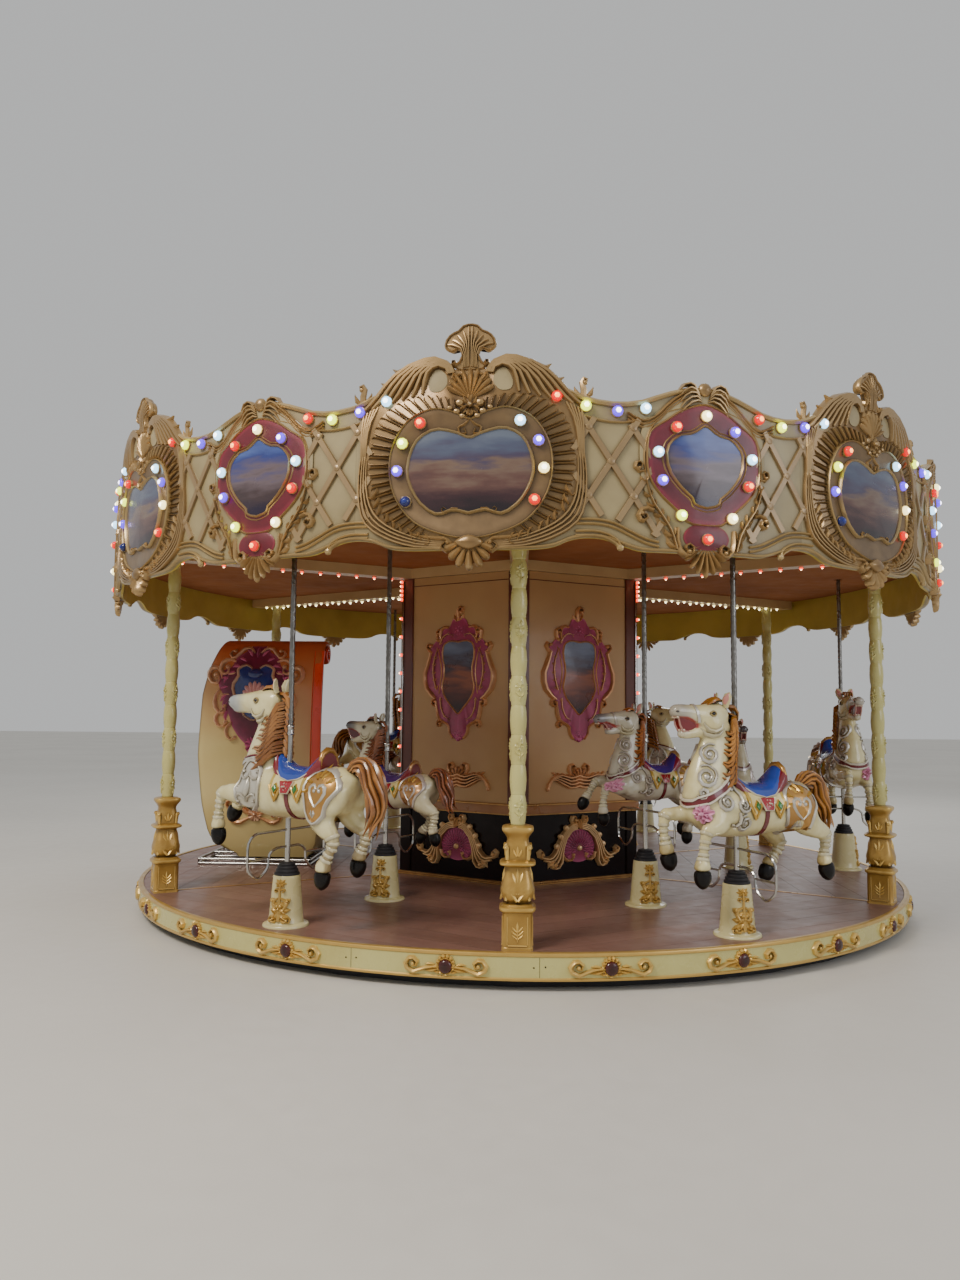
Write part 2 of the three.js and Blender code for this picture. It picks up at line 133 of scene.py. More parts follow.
def both_sides(solids: Sequence[Solid]) -> list[Solid]:
    """The solids with their mirror images across x = 0."""
    return [*solids, *[s.mirrored() for s in solids]]


def curve(knots: Sequence, samples: int, closed: bool = False) -> np.ndarray:
    """Points on a Catmull-Rom curve through the knots.

    Between knots p1 and p2 the point is the cubic that leaves p1 along (p2 - p0) / 2 and meets p2 along
    (p3 - p1) / 2.

    Args:
        knots: The knots, one row each, of any number of columns.
        samples: Number of points, evenly spread over the knots.
        closed: Whether the last knot joins the first.

    Returns:
        The points, one row each; a closed curve doesn't repeat its first.
    """
    k = np.asarray(knots, float)
    k = k[:, None] if k.ndim == 1 else k
    n = len(k)
    t = np.arange(samples) * n / samples if closed else np.linspace(0, n - 1, samples)
    i = np.minimum(t.astype(int), n - 1 if closed else n - 2)
    u = (t - i)[:, None]
    pick = (lambda j: k[j % n]) if closed else (lambda j: k[np.clip(j, 0, n - 1)])
    p0, p1, p2, p3 = pick(i - 1), pick(i), pick(i + 1), pick(i + 2)
    a = 2 * p1 + (p2 - p0) * u + (2 * p0 - 5 * p1 + 4 * p2 - p3) * u**2
    return 0.5 * (a + (3 * p1 - p0 - 3 * p2 + p3) * u**3)


def taper(values: Sequence[float], samples: int) -> np.ndarray:
    """Values joined smoothly, never under the width of a pointed end."""
    return np.maximum(curve(values, samples)[:, 0], POINT)


def flourish(start: Sequence[float], headings: Sequence[float], length: float, samples: int = 22) -> np.ndarray:
    """A line in the plane whose heading follows smooth knots: the running sum of equal steps along it.

    Args:
        start: Where it starts, x and y.
        headings: Headings in degrees at even distances along it.
        length: Its length.
        samples: Number of points.

    Returns:
        The points, one row each, with z zero.
    """
    angle = np.radians(curve(headings, samples)[:, 0])
    step = np.stack([np.cos(angle), np.sin(angle), 0 * angle], 1) * length / (samples - 1)
    path = np.cumsum(np.vstack([np.zeros(3), (step[1:] + step[:-1]) / 2]), 0)
    return path + (start[0], start[1], 0)


def disc(sides: int, squash: float = 1.0) -> np.ndarray:
    """A round section with its corners evenly spread."""
    a = (np.arange(sides) + 0.5) * TAU / sides
    return np.stack([np.cos(a), np.sin(a) * squash], 1)


# Sections carried along carvings: across, then outwards from the ground they lie on
ROLL = np.array([(1, -0.2), (0.8, 0.6), (0, 1), (-0.8, 0.6), (-1, -0.2)], float)
RIB = np.array([(1, -0.2), (0.75, 0.45), (0.3, 0.95), (-0.3, 0.95), (-0.75, 0.45), (-1, -0.2)], float)
SCOOP = np.array([(1, -0.2), (0.9, 0.8), (0, 0.3), (-0.9, 0.8), (-1, -0.2)], float)
TROUGH = np.array([(1, -0.3), (0.86, 1), (0.4, 0.1), (-0.4, 0.1), (-0.86, 1), (-1, -0.3)])
KEEL = np.array([(1, -0.2), (0.85, 0.25), (0, 1), (-0.85, 0.25), (-1, -0.2)], float)
STRIP = np.array([(1, -1), (1, 0.7), (0.85, 1), (-0.85, 1), (-1, 0.7), (-1, -1)], float)


def loft(rings: np.ndarray, closed: bool = False) -> Solid:
    """Rings of points joined in order; the two ends are closed by fans unless the last ring joins the first.

    Args:
        rings: Array of rings by points by three, each ring anticlockwise about the way they run.
        closed: Whether the last ring joins the first.

    Returns:
        The closed solid.
    """
    n, k = rings.shape[:2]
    rows = np.arange(n if closed else n - 1)[:, None]
    j = np.arange(k)[None, :]
    a, b = rows * k, (rows + 1) % n * k
    right = (j + 1) % k
    quads = np.stack([a + j, a + right, b + right, b + j], -1).reshape(-1, 4)
    tris = np.zeros((0, 3), int)
    if not closed:
        f = np.arange(1, k - 1)
        last = (n - 1) * k
        tris = np.vstack([np.stack([0 * f, f + 1, f], 1), np.stack([0 * f, f, f + 1], 1) + last])
    return Solid(rings.reshape(-1, 3), quads, tris)


def thinned(rows: np.ndarray, slack: float, longest: float, reach: int = 7) -> np.ndarray:
    """Which rows a line needs: from each, on to the last whose chord stays short and within slack of the rest.

    Args:
        rows: The line's points, with whatever else has to stay smooth along it.
        slack: The most that a left-out row may lie off its chord.
        longest: The longest chord.
        reach: The most rows that one chord spans.

    Returns:
        The numbers of the rows that stay, the first and the last among them.
    """
    keep, last = [0], len(rows) - 1
    while keep[-1] < last:
        i, step = keep[-1], 1
        for j in range(2, min(reach, last - i) + 1):
            whole = rows[i + j] - rows[i]
            chord = rows[i] + whole * (np.arange(1, j) / j)[:, None]
            if np.abs(chord - rows[i + 1:i + j]).max() > slack or np.linalg.norm(whole) > longest:
                break
            step = j
        keep.append(i + step)
    return np.array(keep)


def sweep(path: np.ndarray, width: Sequence[float] | float, height: Sequence[float] | float, section: np.ndarray = ROLL,
          up: Sequence[float] = (0, 0, 1), closed: bool = False) -> Solid:
    """Carries a section along a path: point = path + width * across * side + height * outwards * normal.

    The side is up cross the path's direction, and the normal is that direction cross the side.

    Args:
        path: Points of the path, one row each; rows of two lie in the plane z = 0.
        width: Half width of the section at each point, or its knots.
        height: Height of the section at each point, or its knots.
        section: Its corners, anticlockwise, as across and outwards.
        up: The way that outwards points, one for all or one for each point.
        closed: Whether the path joins up.

    Returns:
        The closed solid.
    """
    path = np.asarray(path, float)
    if path.shape[1] == 2:
        path = np.hstack([path, np.zeros((len(path), 1))])
    n = len(path)
    run = np.roll(path, -1, 0) - np.roll(path, 1, 0) if closed else np.gradient(path, axis=0)
    run /= np.maximum(np.linalg.norm(run, axis=1, keepdims=True), 1e-9)
    side = np.cross(np.broadcast_to(np.asarray(up, float), (n, 3)), run)
    side /= np.maximum(np.linalg.norm(side, axis=1, keepdims=True), 1e-9)
    normal = np.cross(run, side)
    w, h = [np.full(n, v) if np.isscalar(v) else taper(v, n) for v in (width, height)]
    rows = np.column_stack([path, w, h])
    keep = thinned(np.vstack([rows, rows[:1]]) if closed else rows, float(np.clip(SLACK * w.max(), LEAST_SLACK,
        MOST_SLACK)), CHORD * w.max())
    path, side, normal, w, h = (v[keep[:-1] if closed else keep] for v in (path, side, normal, w, h))
    rings = (path[:, None] + (w[:, None] * section[:, 0])[..., None] * side[:, None]
             + (h[:, None] * section[:, 1])[..., None] * normal[:, None])
    return loft(rings, closed)


def revolve(profile: Sequence, sides: int, ring: bool = False, relief: Callable[[np.ndarray, np.ndarray], np.ndarray]
            | None = None) -> Solid:
    """Turns a profile of radius and z about the z axis: (r cos a, r sin a, z).

    Args:
        profile: Radius and z from the bottom to the top, seen on the right of the axis.
        sides: Number of sides.
        ring: Whether the profile is itself closed, as of a bead.
        relief: Adds to the radius, from the angle and z of each point.

    Returns:
        The closed solid.
    """
    p = np.asarray(profile, float)
    r, z = np.maximum(p[:, :1], POINT), p[:, 1:2]
    a = np.arange(sides)[None, :] * TAU / sides
    if relief is not None:
        r = r + relief(a + 0 * r, z + 0 * a)
    points = np.stack([r * np.cos(a), r * np.sin(a), z + 0 * a], -1)
    if ring:
        return loft(np.swapaxes(points, 0, 1)[:, ::-1], closed=True)
    return loft(points)


def ball(centre: Sequence[float], radii: Sequence[float] | float, sides: int = 8, rings: int = 5) -> Solid:
    """An ellipsoid: the unit circle turned about z, stretched to its radii, one for all or three."""
    a = np.linspace(-math.pi / 2, math.pi / 2, rings)
    unit = revolve(np.stack([np.cos(a), np.sin(a)], 1), sides)
    return unit.mapped(lambda p: p * np.asarray(radii, float) + np.asarray(centre, float))


def pillow(outline: np.ndarray, back: float, rim: Sequence[tuple[float, float]], centre: Sequence[float] = (0, 0),
           top: float | None = None) -> Solid:
    """A relief over a closed outline: each level is the outline drawn in to a share of its size, at a depth.

    Args:
        outline: Points of the outline, anticlockwise, x and y.
        back: Depth of the flat back.
        rim: Share and depth of the levels from the back's edge over the rim to the front.
        centre: The point it is drawn in to.
        top: Depth of the front's middle, or else that of the last level.

    Returns:
        The closed solid.
    """
    outline = outline[thinned(np.vstack([outline, outline[:1]]), OUTLINE_SLACK, OUTLINE_CHORD)[:-1]]
    c = np.asarray(centre, float)
    edge = [(1, back)] if rim[0][1] != back else []
    levels = [(MIDDLE, back), *edge, *rim, (MIDDLE, rim[-1][1] if top is None else top)]
    rings = [np.column_stack([c + (outline[:, :2] - c) * share, np.full(len(outline), depth)])
             for share, depth in levels]
    return loft(np.array(rings))


def box(low: Sequence[float], high: Sequence[float], bevel: float = 0.004) -> Solid:
    """A block with bevelled upright and lying edges, as four rings of eight corners.

    Args:
        low: Its least x, y and z.
        high: Its greatest x, y and z.
        bevel: Width of the bevels, at most a third of the smallest side.

    Returns:
        The closed solid.
    """
    (x0, y0, z0), (x1, y1, z1) = low, high
    b = min(bevel, (x1 - x0) / 3, (y1 - y0) / 3, (z1 - z0) / 3)

    def ring(g: float, z: float) -> list:
        """Corners of the block drawn in by g, at one height."""
        return [(x0 + b + g, y0 + g, z), (x1 - b - g, y0 + g, z), (x1 - g, y0 + b + g, z), (x1 - g, y1 - b - g, z),
                (x1 - b - g, y1 - g, z), (x0 + b + g, y1 - g, z), (x0 + g, y1 - b - g, z), (x0 + g, y0 + b + g, z)]

    return loft(np.array([ring(b * 0.7, z0), ring(0, z0 + b), ring(0, z1 - b), ring(b * 0.7, z1)]))


# Where flat carvings are laid


def on_crown(azimuth: float = 0.0, radius: float = BOARD_RADIUS) -> Map:
    """x becomes the way round the crown and z the way out: angle = azimuth + x / board radius."""
    def mapping(p: np.ndarray) -> np.ndarray:
        """(R sin a, -R cos a, y), with R = radius + z."""
        a, r = math.radians(azimuth) + p[:, 0] / BOARD_RADIUS, radius + p[:, 2]
        return np.stack([r * np.sin(a), -r * np.cos(a), p[:, 1]], 1)
    return mapping


def on_panel(azimuth: float, distance: float, height: float = 0.0) -> Map:
    """Lays a carving on an upright plane that faces out at an azimuth, at a distance from the axis."""
    a = math.radians(azimuth)
    right, out = np.array([math.cos(a), math.sin(a), 0]), np.array([math.sin(a), -math.cos(a), 0])
    return lambda p: p[:, :1] * right + (p[:, 2:] + distance) * out + (p[:, 1:2] + height) * (0, 0, 1)


def on_cone(azimuth: float, low: tuple[float, float], high: tuple[float, float]) -> Map:
    """Lays a carving on a cone between two (radius, height) rings: angle = azimuth + x / radius there."""
    (r0, z0), (r1, z1) = low, high

    def mapping(p: np.ndarray) -> np.ndarray:
        """Radius runs in a straight line from one ring to the other."""
        r = r0 + (r1 - r0) * (p[:, 1] - z0) / (z1 - z0)
        a = math.radians(azimuth) + p[:, 0] / r
        return np.stack([(r + p[:, 2]) * np.sin(a), -(r + p[:, 2]) * np.cos(a), p[:, 1]], 1)
    return mapping


def placed(azimuth: float, radius: float, height: float = 0.0, turn: float = 0.0) -> Map:
    """Stands a shape on a spot of the deck, turned with its azimuth, its local -Y outwards unless turned more."""
    a, b = math.radians(azimuth), math.radians(azimuth + turn)
    matrix = np.array([[math.cos(b), -math.sin(b), 0], [math.sin(b), math.cos(b), 0], [0, 0, 1]])
    offset = np.array([radius * math.sin(a), -radius * math.cos(a), height])
    return lambda p: p @ matrix.T + offset


# Pieces


class Piece:
    """A named mesh that is collected from solids and then rides on a CAD body."""

    def __init__(self, name: str) -> None:
        """Starts an empty piece."""
        self.name = name
        self.parts: list[tuple[Solid, bpy.types.Material, np.ndarray | None]] = []

    def add(self, solids: Solid | Sequence[Solid], finish: "Finish | Glow", mapping: Map | None = None,
            paint: np.ndarray | None = None) -> "Piece":
        """Adds solids in one finish.

        Args:
            solids: One solid or several.
            finish: Their finish.
            mapping: Where they are laid.
            paint: Linear colour of each point, where the material reads it.

        Returns:
            The piece.
        """
        solid = solids if isinstance(solids, Solid) else merged(solids)
        self.parts.append((solid.mapped(mapping) if mapping else solid, finish.material(), paint))
        return self

    def finish(self, body: str, slot: str, nodes: Sequence[str] = ()) -> bpy.types.Object:
        """Makes the object at the origin, sets it on its CAD body and hides the CAD nodes it stands for.

        Args:
            body: The CAD body it moves with.
            slot: Not used.
            nodes: CAD nodes it stands for.

        Returns:
            The object.
        """
        whole = merged([solid for solid, _, _ in self.parts])
        mesh = bpy.data.meshes.new(self.name)
        mesh.from_pydata(whole.points.tolist(), [], whole.quads.tolist() + whole.tris.tolist())
        materials = list(dict.fromkeys(material for _, material, _ in self.parts))
        for material in materials:
            mesh.materials.append(material)
        index = [materials.index(material) for _, material, _ in self.parts]
        order = np.concatenate([np.repeat(index, [len(s.quads) for s, _, _ in self.parts]),
            np.repeat(index, [len(s.tris) for s, _, _ in self.parts])])
        mesh.polygons.foreach_set("material_index", order.astype(np.int32))
        if any(paint is not None for _, _, paint in self.parts):
            colours = np.concatenate([np.ones((len(s.points), 3)) if paint is None else paint
                for s, _, paint in self.parts])
            layer = mesh.color_attributes.new("paint", "FLOAT_COLOR", "POINT")
            layer.data.foreach_set("color", np.column_stack([colours, np.ones(len(colours))]).ravel())
        mesh.shade_smooth()
        mesh.set_sharp_from_angle(angle=SHARP)
        mesh.update()
        obj = bpy.data.objects.new(self.name, mesh)
        bpy.context.scene.collection.objects.link(obj)
        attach(obj, body)
        if nodes:
            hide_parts(*nodes)
        log.info("%s: %d faces", self.name, len(mesh.polygons))
        return obj


# Finishes


def linear(colour: str) -> tuple[float, float, float, float]:
    """An sRGB hex colour as linear values with full alpha: ((v + 0.055) / 1.055) ** 2.4 above the toe."""
    v = np.array([int(colour[i:i + 2], 16) for i in (1, 3, 5)]) / 255
    r, g, b = np.where(v <= 0.04045, v / 12.92, ((v + 0.055) / 1.055) ** 2.4)
    return float(r), float(g), float(b), 1.0


def add_node(tree: bpy.types.NodeTree, kind: str, inputs: dict | None = None, **settings) -> bpy.types.Node:
    """Adds a node with its settings and inputs.

    Args:
        tree: The tree it goes in.
        kind: The node's type, without the leading ShaderNode.
        inputs: Constants or sockets by input name or number.
        settings: The node's own properties.

    Returns:
        The node.
    """
    made = tree.nodes.new("ShaderNode" + kind)
    for name, value in settings.items():
        setattr(made, name, value)
    for key, value in (inputs or {}).items():
        if isinstance(value, bpy.types.NodeSocket):
            tree.links.new(value, made.inputs[key])
        else:
            made.inputs[key].default_value = value
    return made


def blended(tree: bpy.types.NodeTree, share: bpy.types.NodeSocket | float, first: object, second: object,
            mode: str = "MIX") -> bpy.types.NodeSocket:
    """Mixes two colours by a share, each a socket or a linear colour."""
    mix = add_node(tree, "Mix", {0: share, 6: first, 7: second}, data_type="RGBA", blend_type=mode)
    return mix.outputs[2]


def ranged(tree: bpy.types.NodeTree, value: bpy.types.NodeSocket, low: float, high: float,
           to: tuple[float, float] = (0.0, 1.0)) -> bpy.types.NodeSocket:
    """A value carried from one range to another, held at its ends."""
    inputs = {"Value": value, "From Min": low, "From Max": high, "To Min": to[0], "To Max": to[1]}
    return add_node(tree, "MapRange", inputs).outputs["Result"]


@dataclass(frozen=True)
class Finish:
    """A paint, lacquer, plastic or metal with the marks it shows close to.

    Attributes:
        name: What the material is called.
        colour: Its main tone.
        shade: The tone it drifts to over patches.
        roughness: Its middle roughness, which handling varies.
        metallic: Share of metal.
        coat: Weight of the clear coat.
        ior: Refractive index.
        patch: Size of the patches, in metres, as are all sizes here.
        grain: Size of the fine grain.
        relief: Height of the grain.
        painted_shade: Painted shade in hollows, if any, laid by ambient occlusion.
        hollow: Reach of the ambient occlusion that lays the painted shade.
        painted_highlight: Painted highlight on ridges, if any, laid by pointiness.
        painted: Whether the colour on the points tints it.
    """

    name: str
    colour: str
    shade: str
    roughness: float
    metallic: float = 0.0
    coat: float = 0.0
    ior: float = 1.5
    patch: float = 0.3
    grain: float = 0.003
    relief: float = 0.00008
    painted_shade: str = ""
    hollow: float = 0.03
    painted_highlight: str = ""
    painted: bool = False

    def ground(self, tree: bpy.types.NodeTree, coords: bpy.types.NodeSocket) -> bpy.types.NodeSocket:
        """The colour before hollows and ridges: the two tones, mixed by a soft noise the size of a patch."""
        cloud = add_node(tree, "TexNoise", {"Vector": coords, "Scale": 1 / self.patch, "Detail": 4.0})
        tone = blended(tree, ranged(tree, cloud.outputs["Fac"], 0.35, 0.68), linear(self.colour), linear(self.shade))
        if self.painted:
            paint = add_node(tree, "Attribute", attribute_name="paint").outputs["Color"]
            tone = blended(tree, 1.0, tone, paint, "MULTIPLY")
        return tone

    def bump(self, tree: bpy.types.NodeTree, coords: bpy.types.NodeSocket) -> bpy.types.NodeSocket:
        """The surface's grain as a normal."""
        fine = add_node(tree, "TexNoise", {"Vector": coords, "Scale": 1 / self.grain, "Detail": 2.0})
        height = {"Height": fine.outputs["Fac"], "Strength": 0.6, "Distance": self.relief}
        return add_node(tree, "Bump", height).outputs["Normal"]

    def material(self) -> bpy.types.Material:
        """The material, made once: ground tone, then painted shade in hollows by ambient occlusion, then painted
        highlights on ridges by pointiness.

        Returns:
            The material of this finish's name.
        """
        if self.name in bpy.data.materials:
            return bpy.data.materials[self.name]
        made = bpy.data.materials.new(self.name)
        made.use_nodes = True
        tree = made.node_tree
        tree.nodes.clear()
        coords = add_node(tree, "TexCoord").outputs["Object"]
        colour = self.ground(tree, coords)
        edges = add_node(tree, "NewGeometry").outputs["Pointiness"]
        # Painted shade: hollows darkened by ambient occlusion
        if self.painted_shade:
            open_sky = add_node(tree, "AmbientOcclusion", {"Distance": self.hollow}, samples=6, only_local=True)
            colour = blended(tree, ranged(tree, open_sky.outputs["AO"], 0.35, 0.95), linear(self.painted_shade), colour)
        # Painted highlight: ridges lightened by pointiness
        if self.painted_highlight:  # pointiness is 0.5 on flat ground
            colour = blended(tree, ranged(tree, edges, 0.505, 0.6), colour, linear(self.painted_highlight))
        handled = add_node(tree, "TexNoise", {"Vector": coords, "Scale": 9.0, "Detail": 5.0}).outputs["Fac"]
        rough = ranged(tree, handled, 0.3, 0.7, (self.roughness * 0.85, min(self.roughness * 1.25, 1.0)))
        shader = add_node(tree, "BsdfPrincipled", {"Base Color": colour, "Roughness": rough, "Metallic": self.metallic,
            "IOR": self.ior, "Coat Weight": self.coat, "Coat Roughness": 0.12, "Normal": self.bump(tree, coords)})
        add_node(tree, "OutputMaterial", {"Surface": shader.outputs[0]})
        return made


@dataclass(frozen=True)
class Planks(Finish):
    """Wood and resin deck boards: fine streaks run along each board, which has its own tone from its paint."""

    angle: float = 0.0  # azimuth of the sector's middle, in degrees

    def ground(self, tree: bpy.types.NodeTree, coords: bpy.types.NodeSocket) -> bpy.types.NodeSocket:
        """The worn tone under streaks 600 mm long and 9 mm wide, turned to lie along the boards of one sector.

        Args:
            tree: The tree it goes in.
            coords: Object coordinates.

        Returns:
            The colour.
        """
        turned = add_node(tree, "Mapping", {"Vector": coords, "Rotation": (0, 0, math.radians(self.angle)),
            "Scale": (0.6, 0.009, 0.1)}, vector_type="TEXTURE")
        streak = add_node(tree, "TexNoise", {"Vector": turned.outputs[0], "Scale": 1.0, "Detail": 3.0})
        worn = Finish.ground(self, tree, coords)
        # The streaks are grain, drawn in the same dark tone as the painted shade
        return blended(tree, ranged(tree, streak.outputs["Fac"], 0.4, 0.75, (0.0, 0.4)), worn,
            linear(self.painted_shade or self.shade))


@dataclass(frozen=True)
class Picture(Finish):
    """A lacquered panel with a plain dusk scene of no place: bands of sky over low hills, bent by noise.

    Attributes:
        low: Height of its foot above the floor.
        high: Height of its top.
        bands: Share of the height and tone of each band; the first is 0, the second 1, the rest lie between.
    """

    low: float = 0.0
    high: float = 1.0
    bands: tuple[tuple[float, str], ...] = ()

    def ground(self, tree: bpy.types.NodeTree, coords: bpy.types.NodeSocket) -> bpy.types.NodeSocket:
        """Tones by height between low and high, the height shifted by a noise that is drawn out sideways.

        Args:
            tree: The tree it goes in.
            coords: Object coordinates.

        Returns:
            The colour.
        """
        wide = add_node(tree, "Mapping", {"Vector": coords, "Scale": (0.6, 0.6, 2.4)})
        drift = add_node(tree, "TexNoise", {"Vector": wide.outputs[0], "Scale": 6.0, "Detail": 7.0})
        z = add_node(tree, "SeparateXYZ", {0: coords}).outputs["Z"]
        span = self.high - self.low
        bent = add_node(tree, "Math", {0: drift.outputs["Fac"], 1: span * 0.7, 2: z}, operation="MULTIPLY_ADD")
        place = ranged(tree, bent.outputs[0], self.low + span * 0.35, self.high + span * 0.35)
        ramp = add_node(tree, "ValToRGB", {"Fac": place})
        for i, (at, tone) in enumerate(self.bands):
            stop = ramp.color_ramp.elements[i] if i < 2 else ramp.color_ramp.elements.new(at)
            stop.position, stop.color = at, linear(tone)
        return ramp.outputs["Color"]


@dataclass(frozen=True)
class Glow:
    """A small lamp's plastic cap or its hot middle, which gives off its own colour.

    Attributes:
        name: What the material is called.
        colour: Of the plastic and of its light.
        strength: Of the light.
    """

    name: str
    colour: str
    strength: float

    def material(self) -> bpy.types.Material:
        """A gloss cap over a steady glow, uneven as moulded plastic with a lamp behind it is."""
        if self.name in bpy.data.materials:
            return bpy.data.materials[self.name]
        made = bpy.data.materials.new(self.name)
        made.use_nodes = True
        tree = made.node_tree
        tree.nodes.clear()
        coords = add_node(tree, "TexCoord").outputs["Object"]
        facets = add_node(tree, "TexVoronoi", {"Vector": coords, "Scale": 160.0}).outputs["Distance"]
        shader = add_node(tree, "BsdfPrincipled", {"Base Color": linear(self.colour), "Roughness": 0.15,
            "Coat Weight": 0.5, "Emission Color": linear(self.colour), "Emission Strength": self.strength,
            "Normal": add_node(tree, "Bump", {"Height": facets, "Strength": 0.5,
            "Distance": 0.0006}).outputs["Normal"]})
        add_node(tree, "OutputMaterial", {"Surface": shader.outputs[0]})
        return made


class Lamp(Enum):
    """The lamps' colours: cap, hot middle, and the strength of each."""

    RED = ("#e01410", "#ff9a48", 1.3, 4.0)
    WARM = ("#fff0a8", "#fffbe6", 3.0, 6.0)
    COOL = ("#a8dcff", "#f2fbff", 3.0, 6.0)
    LIME = ("#d9ee3a", "#fbffc8", 3.0, 6.0)
    VIOLET = ("#5a34f0", "#efe6ff", 2.0, 6.0)
    ROSE = ("#ff4a2c", "#ffd2a0", 3.0, 8.0)
    OFF = ("#16246a", "#22348a", 0.0, 0.0)

    @property
    def cap(self) -> Glow:
        """The cap's finish."""
        return Glow(f"lamp_cap_{self.name.lower()}", self.value[0], self.value[2])

    @property
    def heart(self) -> Glow:
        """The hot middle's finish."""
        return Glow(f"lamp_heart_{self.name.lower()}", self.value[1], self.value[3])


def toned(base: Finish, name: str, colour: str, shade: str, painted_shade: str, painted_highlight: str, **rest: float) -> Finish:
    """The same paint as another finish, in four tones of its own: main, patch, painted shade in hollows and painted
    highlight on ridges.
    """
    return replace(base, name=name, colour=colour, shade=shade, painted_shade=painted_shade, painted_highlight=painted_highlight, **rest)


# Antique gold on moulded resin: a warm satin, with painted shade brown in its hollows and a paler painted highlight on
# its ridges
GILT = Finish("antique_gold_on_resin", "#886a41", "#705535", 0.33, metallic=0.55, coat=0.2, patch=0.1,
              painted_shade="#2c1e10", hollow=0.05, painted_highlight="#ac8e60", grain=0.002, relief=0.0002)
# Mouldings on the boards: a paler gold over a cream ground
PALE_GILT = toned(GILT, "pale_gold_on_resin", "#93794a", "#7e6439", "#3d2d18", "#b59b6a", metallic=0.4)
# Lattice bars: a brown bronze paint, dull beside the gold
LATTICE = toned(GILT, "bronze_paint_on_bars", "#7f6647", "#6d553a", "#3a2b19", "#9c835d", metallic=0.3)
# Smooth bands of the large frames: the same gold with its painted shade but no painted highlight on edges
BAND_GILT = toned(GILT, "brown_gold_on_bands", "#836a49", "#705a3d", GILT.painted_shade, "", metallic=0.45)
# Fascia, pedestals and chariot trim: the brightest, yellowest gold
RICH_GILT = toned(GILT, "rich_gold_on_resin", "#b99348", "#a37d38", "#4a300c", "#d8b565", metallic=0.45, hollow=0.04)
# Scrolls of the core: a coppery gold with light painted highlights on its ridges
RED_GILT = toned(GILT, "copper_gold_on_resin", "#9c5a34", "#854526", "#3a1410", "#dca878", metallic=0.45)
# Scrolls on the chariot's back: gold with a pink cast
ROSE_GILT = toned(GILT, "rose_gold_on_resin", "#b9825a", "#a56b46", "#4d241a", "#f0c8a4", metallic=0.4)
# Fans of the core's foot: orange gold, with painted shade dark red in its depths
AMBER_GILT = toned(GILT, "amber_gold_on_resin", "#b0733a", "#9a5f2c", "#481c10", "#f4cf98", metallic=0.45, hollow=0.04)
# Leaves on the guide cones: a fine yellow gold with painted shade in narrow dark lines
LEAF_GILT = toned(GILT, "leaf_gold_on_housings", "#a8853f", "#8f6e2f", "#4a330f", "#c4a055", metallic=0.35,
    hollow=0.012)
# Magenta enamel on carvings: mottled, with painted shade near black in its folds and painted highlights pink on its
# ridges
MAGENTA = Finish("magenta_enamel", "#961c46", "#761534", 0.34, coat=0.15, patch=0.05, painted_shade="#3a0a1e",
    painted_highlight="#d06a94", grain=0.007, relief=0.0016)
# The small frames' enamel: a deep wine red
CRIMSON = toned(MAGENTA, "crimson_enamel", "#560f1d", "#430b15", "#1f0509", "#8f3040", roughness=0.35)
# The field behind the chariot's scrolls: a purple wine red
CLARET = toned(MAGENTA, "claret_enamel", "#6e1234", "#560d28", "#25060f", "#b04a70", hollow=0.05)
# The chariot's pleated fan: dusty pink
PINK = toned(MAGENTA, "pink_enamel", "#b8707a", "#a05a62", "#4a1c24", "#ecb8b4")
# Gloss paint on the fascia and shafts: cream with a slight orange peel
CREAM = Finish("cream_gloss_paint", "#c9c27c", "#bdb26c", 0.26, coat=0.4, patch=0.35, relief=0.00012)
# Guide cones: the same paint, paler
CONE_CREAM = replace(CREAM, name="pale_cream_on_housings", colour="#d9cf9a", shade="#cbbd84")
# Fields of the crown boards: a duller cream, with painted shade that darkens it beside the carvings
FIELD = Finish("cream_board_paint", "#a6976f", "#958661", 0.42, coat=0.15, patch=0.25, painted_shade="#6b5b3c", hollow=0.06)
# Inner side of the boards: olive paint brightened to a flat yellow, painted light from the canopy's yellow lamps
BACK_WITH_PAINTED_LAMPLIGHT = Finish("olive_board_back_with_painted_lamplight", "#d2bd55", "#bba443", 0.5, patch=0.4)
# Upper panels of the core: warm tan with broad soft patches
WALL = Finish("tan_panel_paint", "#bf9b69", "#b38a5a", 0.38, coat=0.15, patch=0.7)
# Corner posts of the core: dark red brown gloss
POST = Finish("maroon_post_paint", "#6b3626", "#58291c", 0.32, coat=0.3)
# The core's ledge: golden wood under lacquer
WOOD = Finish("golden_wood_lacquer", "#a8703a", "#94602c", 0.3, coat=0.4, patch=0.2)
# Lower panels of the core: almost black, with a sharp gloss
DARK = Finish("black_cherry_gloss", "#170a09", "#0f0606", 0.22, ior=1.3, patch=0.5)
# Lining under the roof: matt orange brown
CEILING = Finish("lining_paint", "#a5693f", "#8f5832", 0.85, ior=1.25, patch=0.6)
# Beams: light tan satin
BEAM_PAINT = Finish("beam_paint", "#c8aa7a", "#b8976a", 0.35, coat=0.2, patch=0.4)
# Roof: matt off-white sheet with a coarse grain
COVER = Finish("roof_sheet", "#cdc5b0", "#bcb39c", 0.75, patch=0.8, grain=0.006, relief=0.0003)
# Base and deck frame: plain black chassis paint, whose black also stands for the painted shadow under the deck's skirt
BLACK = Finish("black_chassis_paint_and_painted_shadow", "#1a191b", "#242224", 0.5, patch=0.3)
# Boots round the poles: dull black rubber
RUBBER = Finish("black_rubber", "#19181b", "#232226", 0.55, patch=0.05, grain=0.0015)
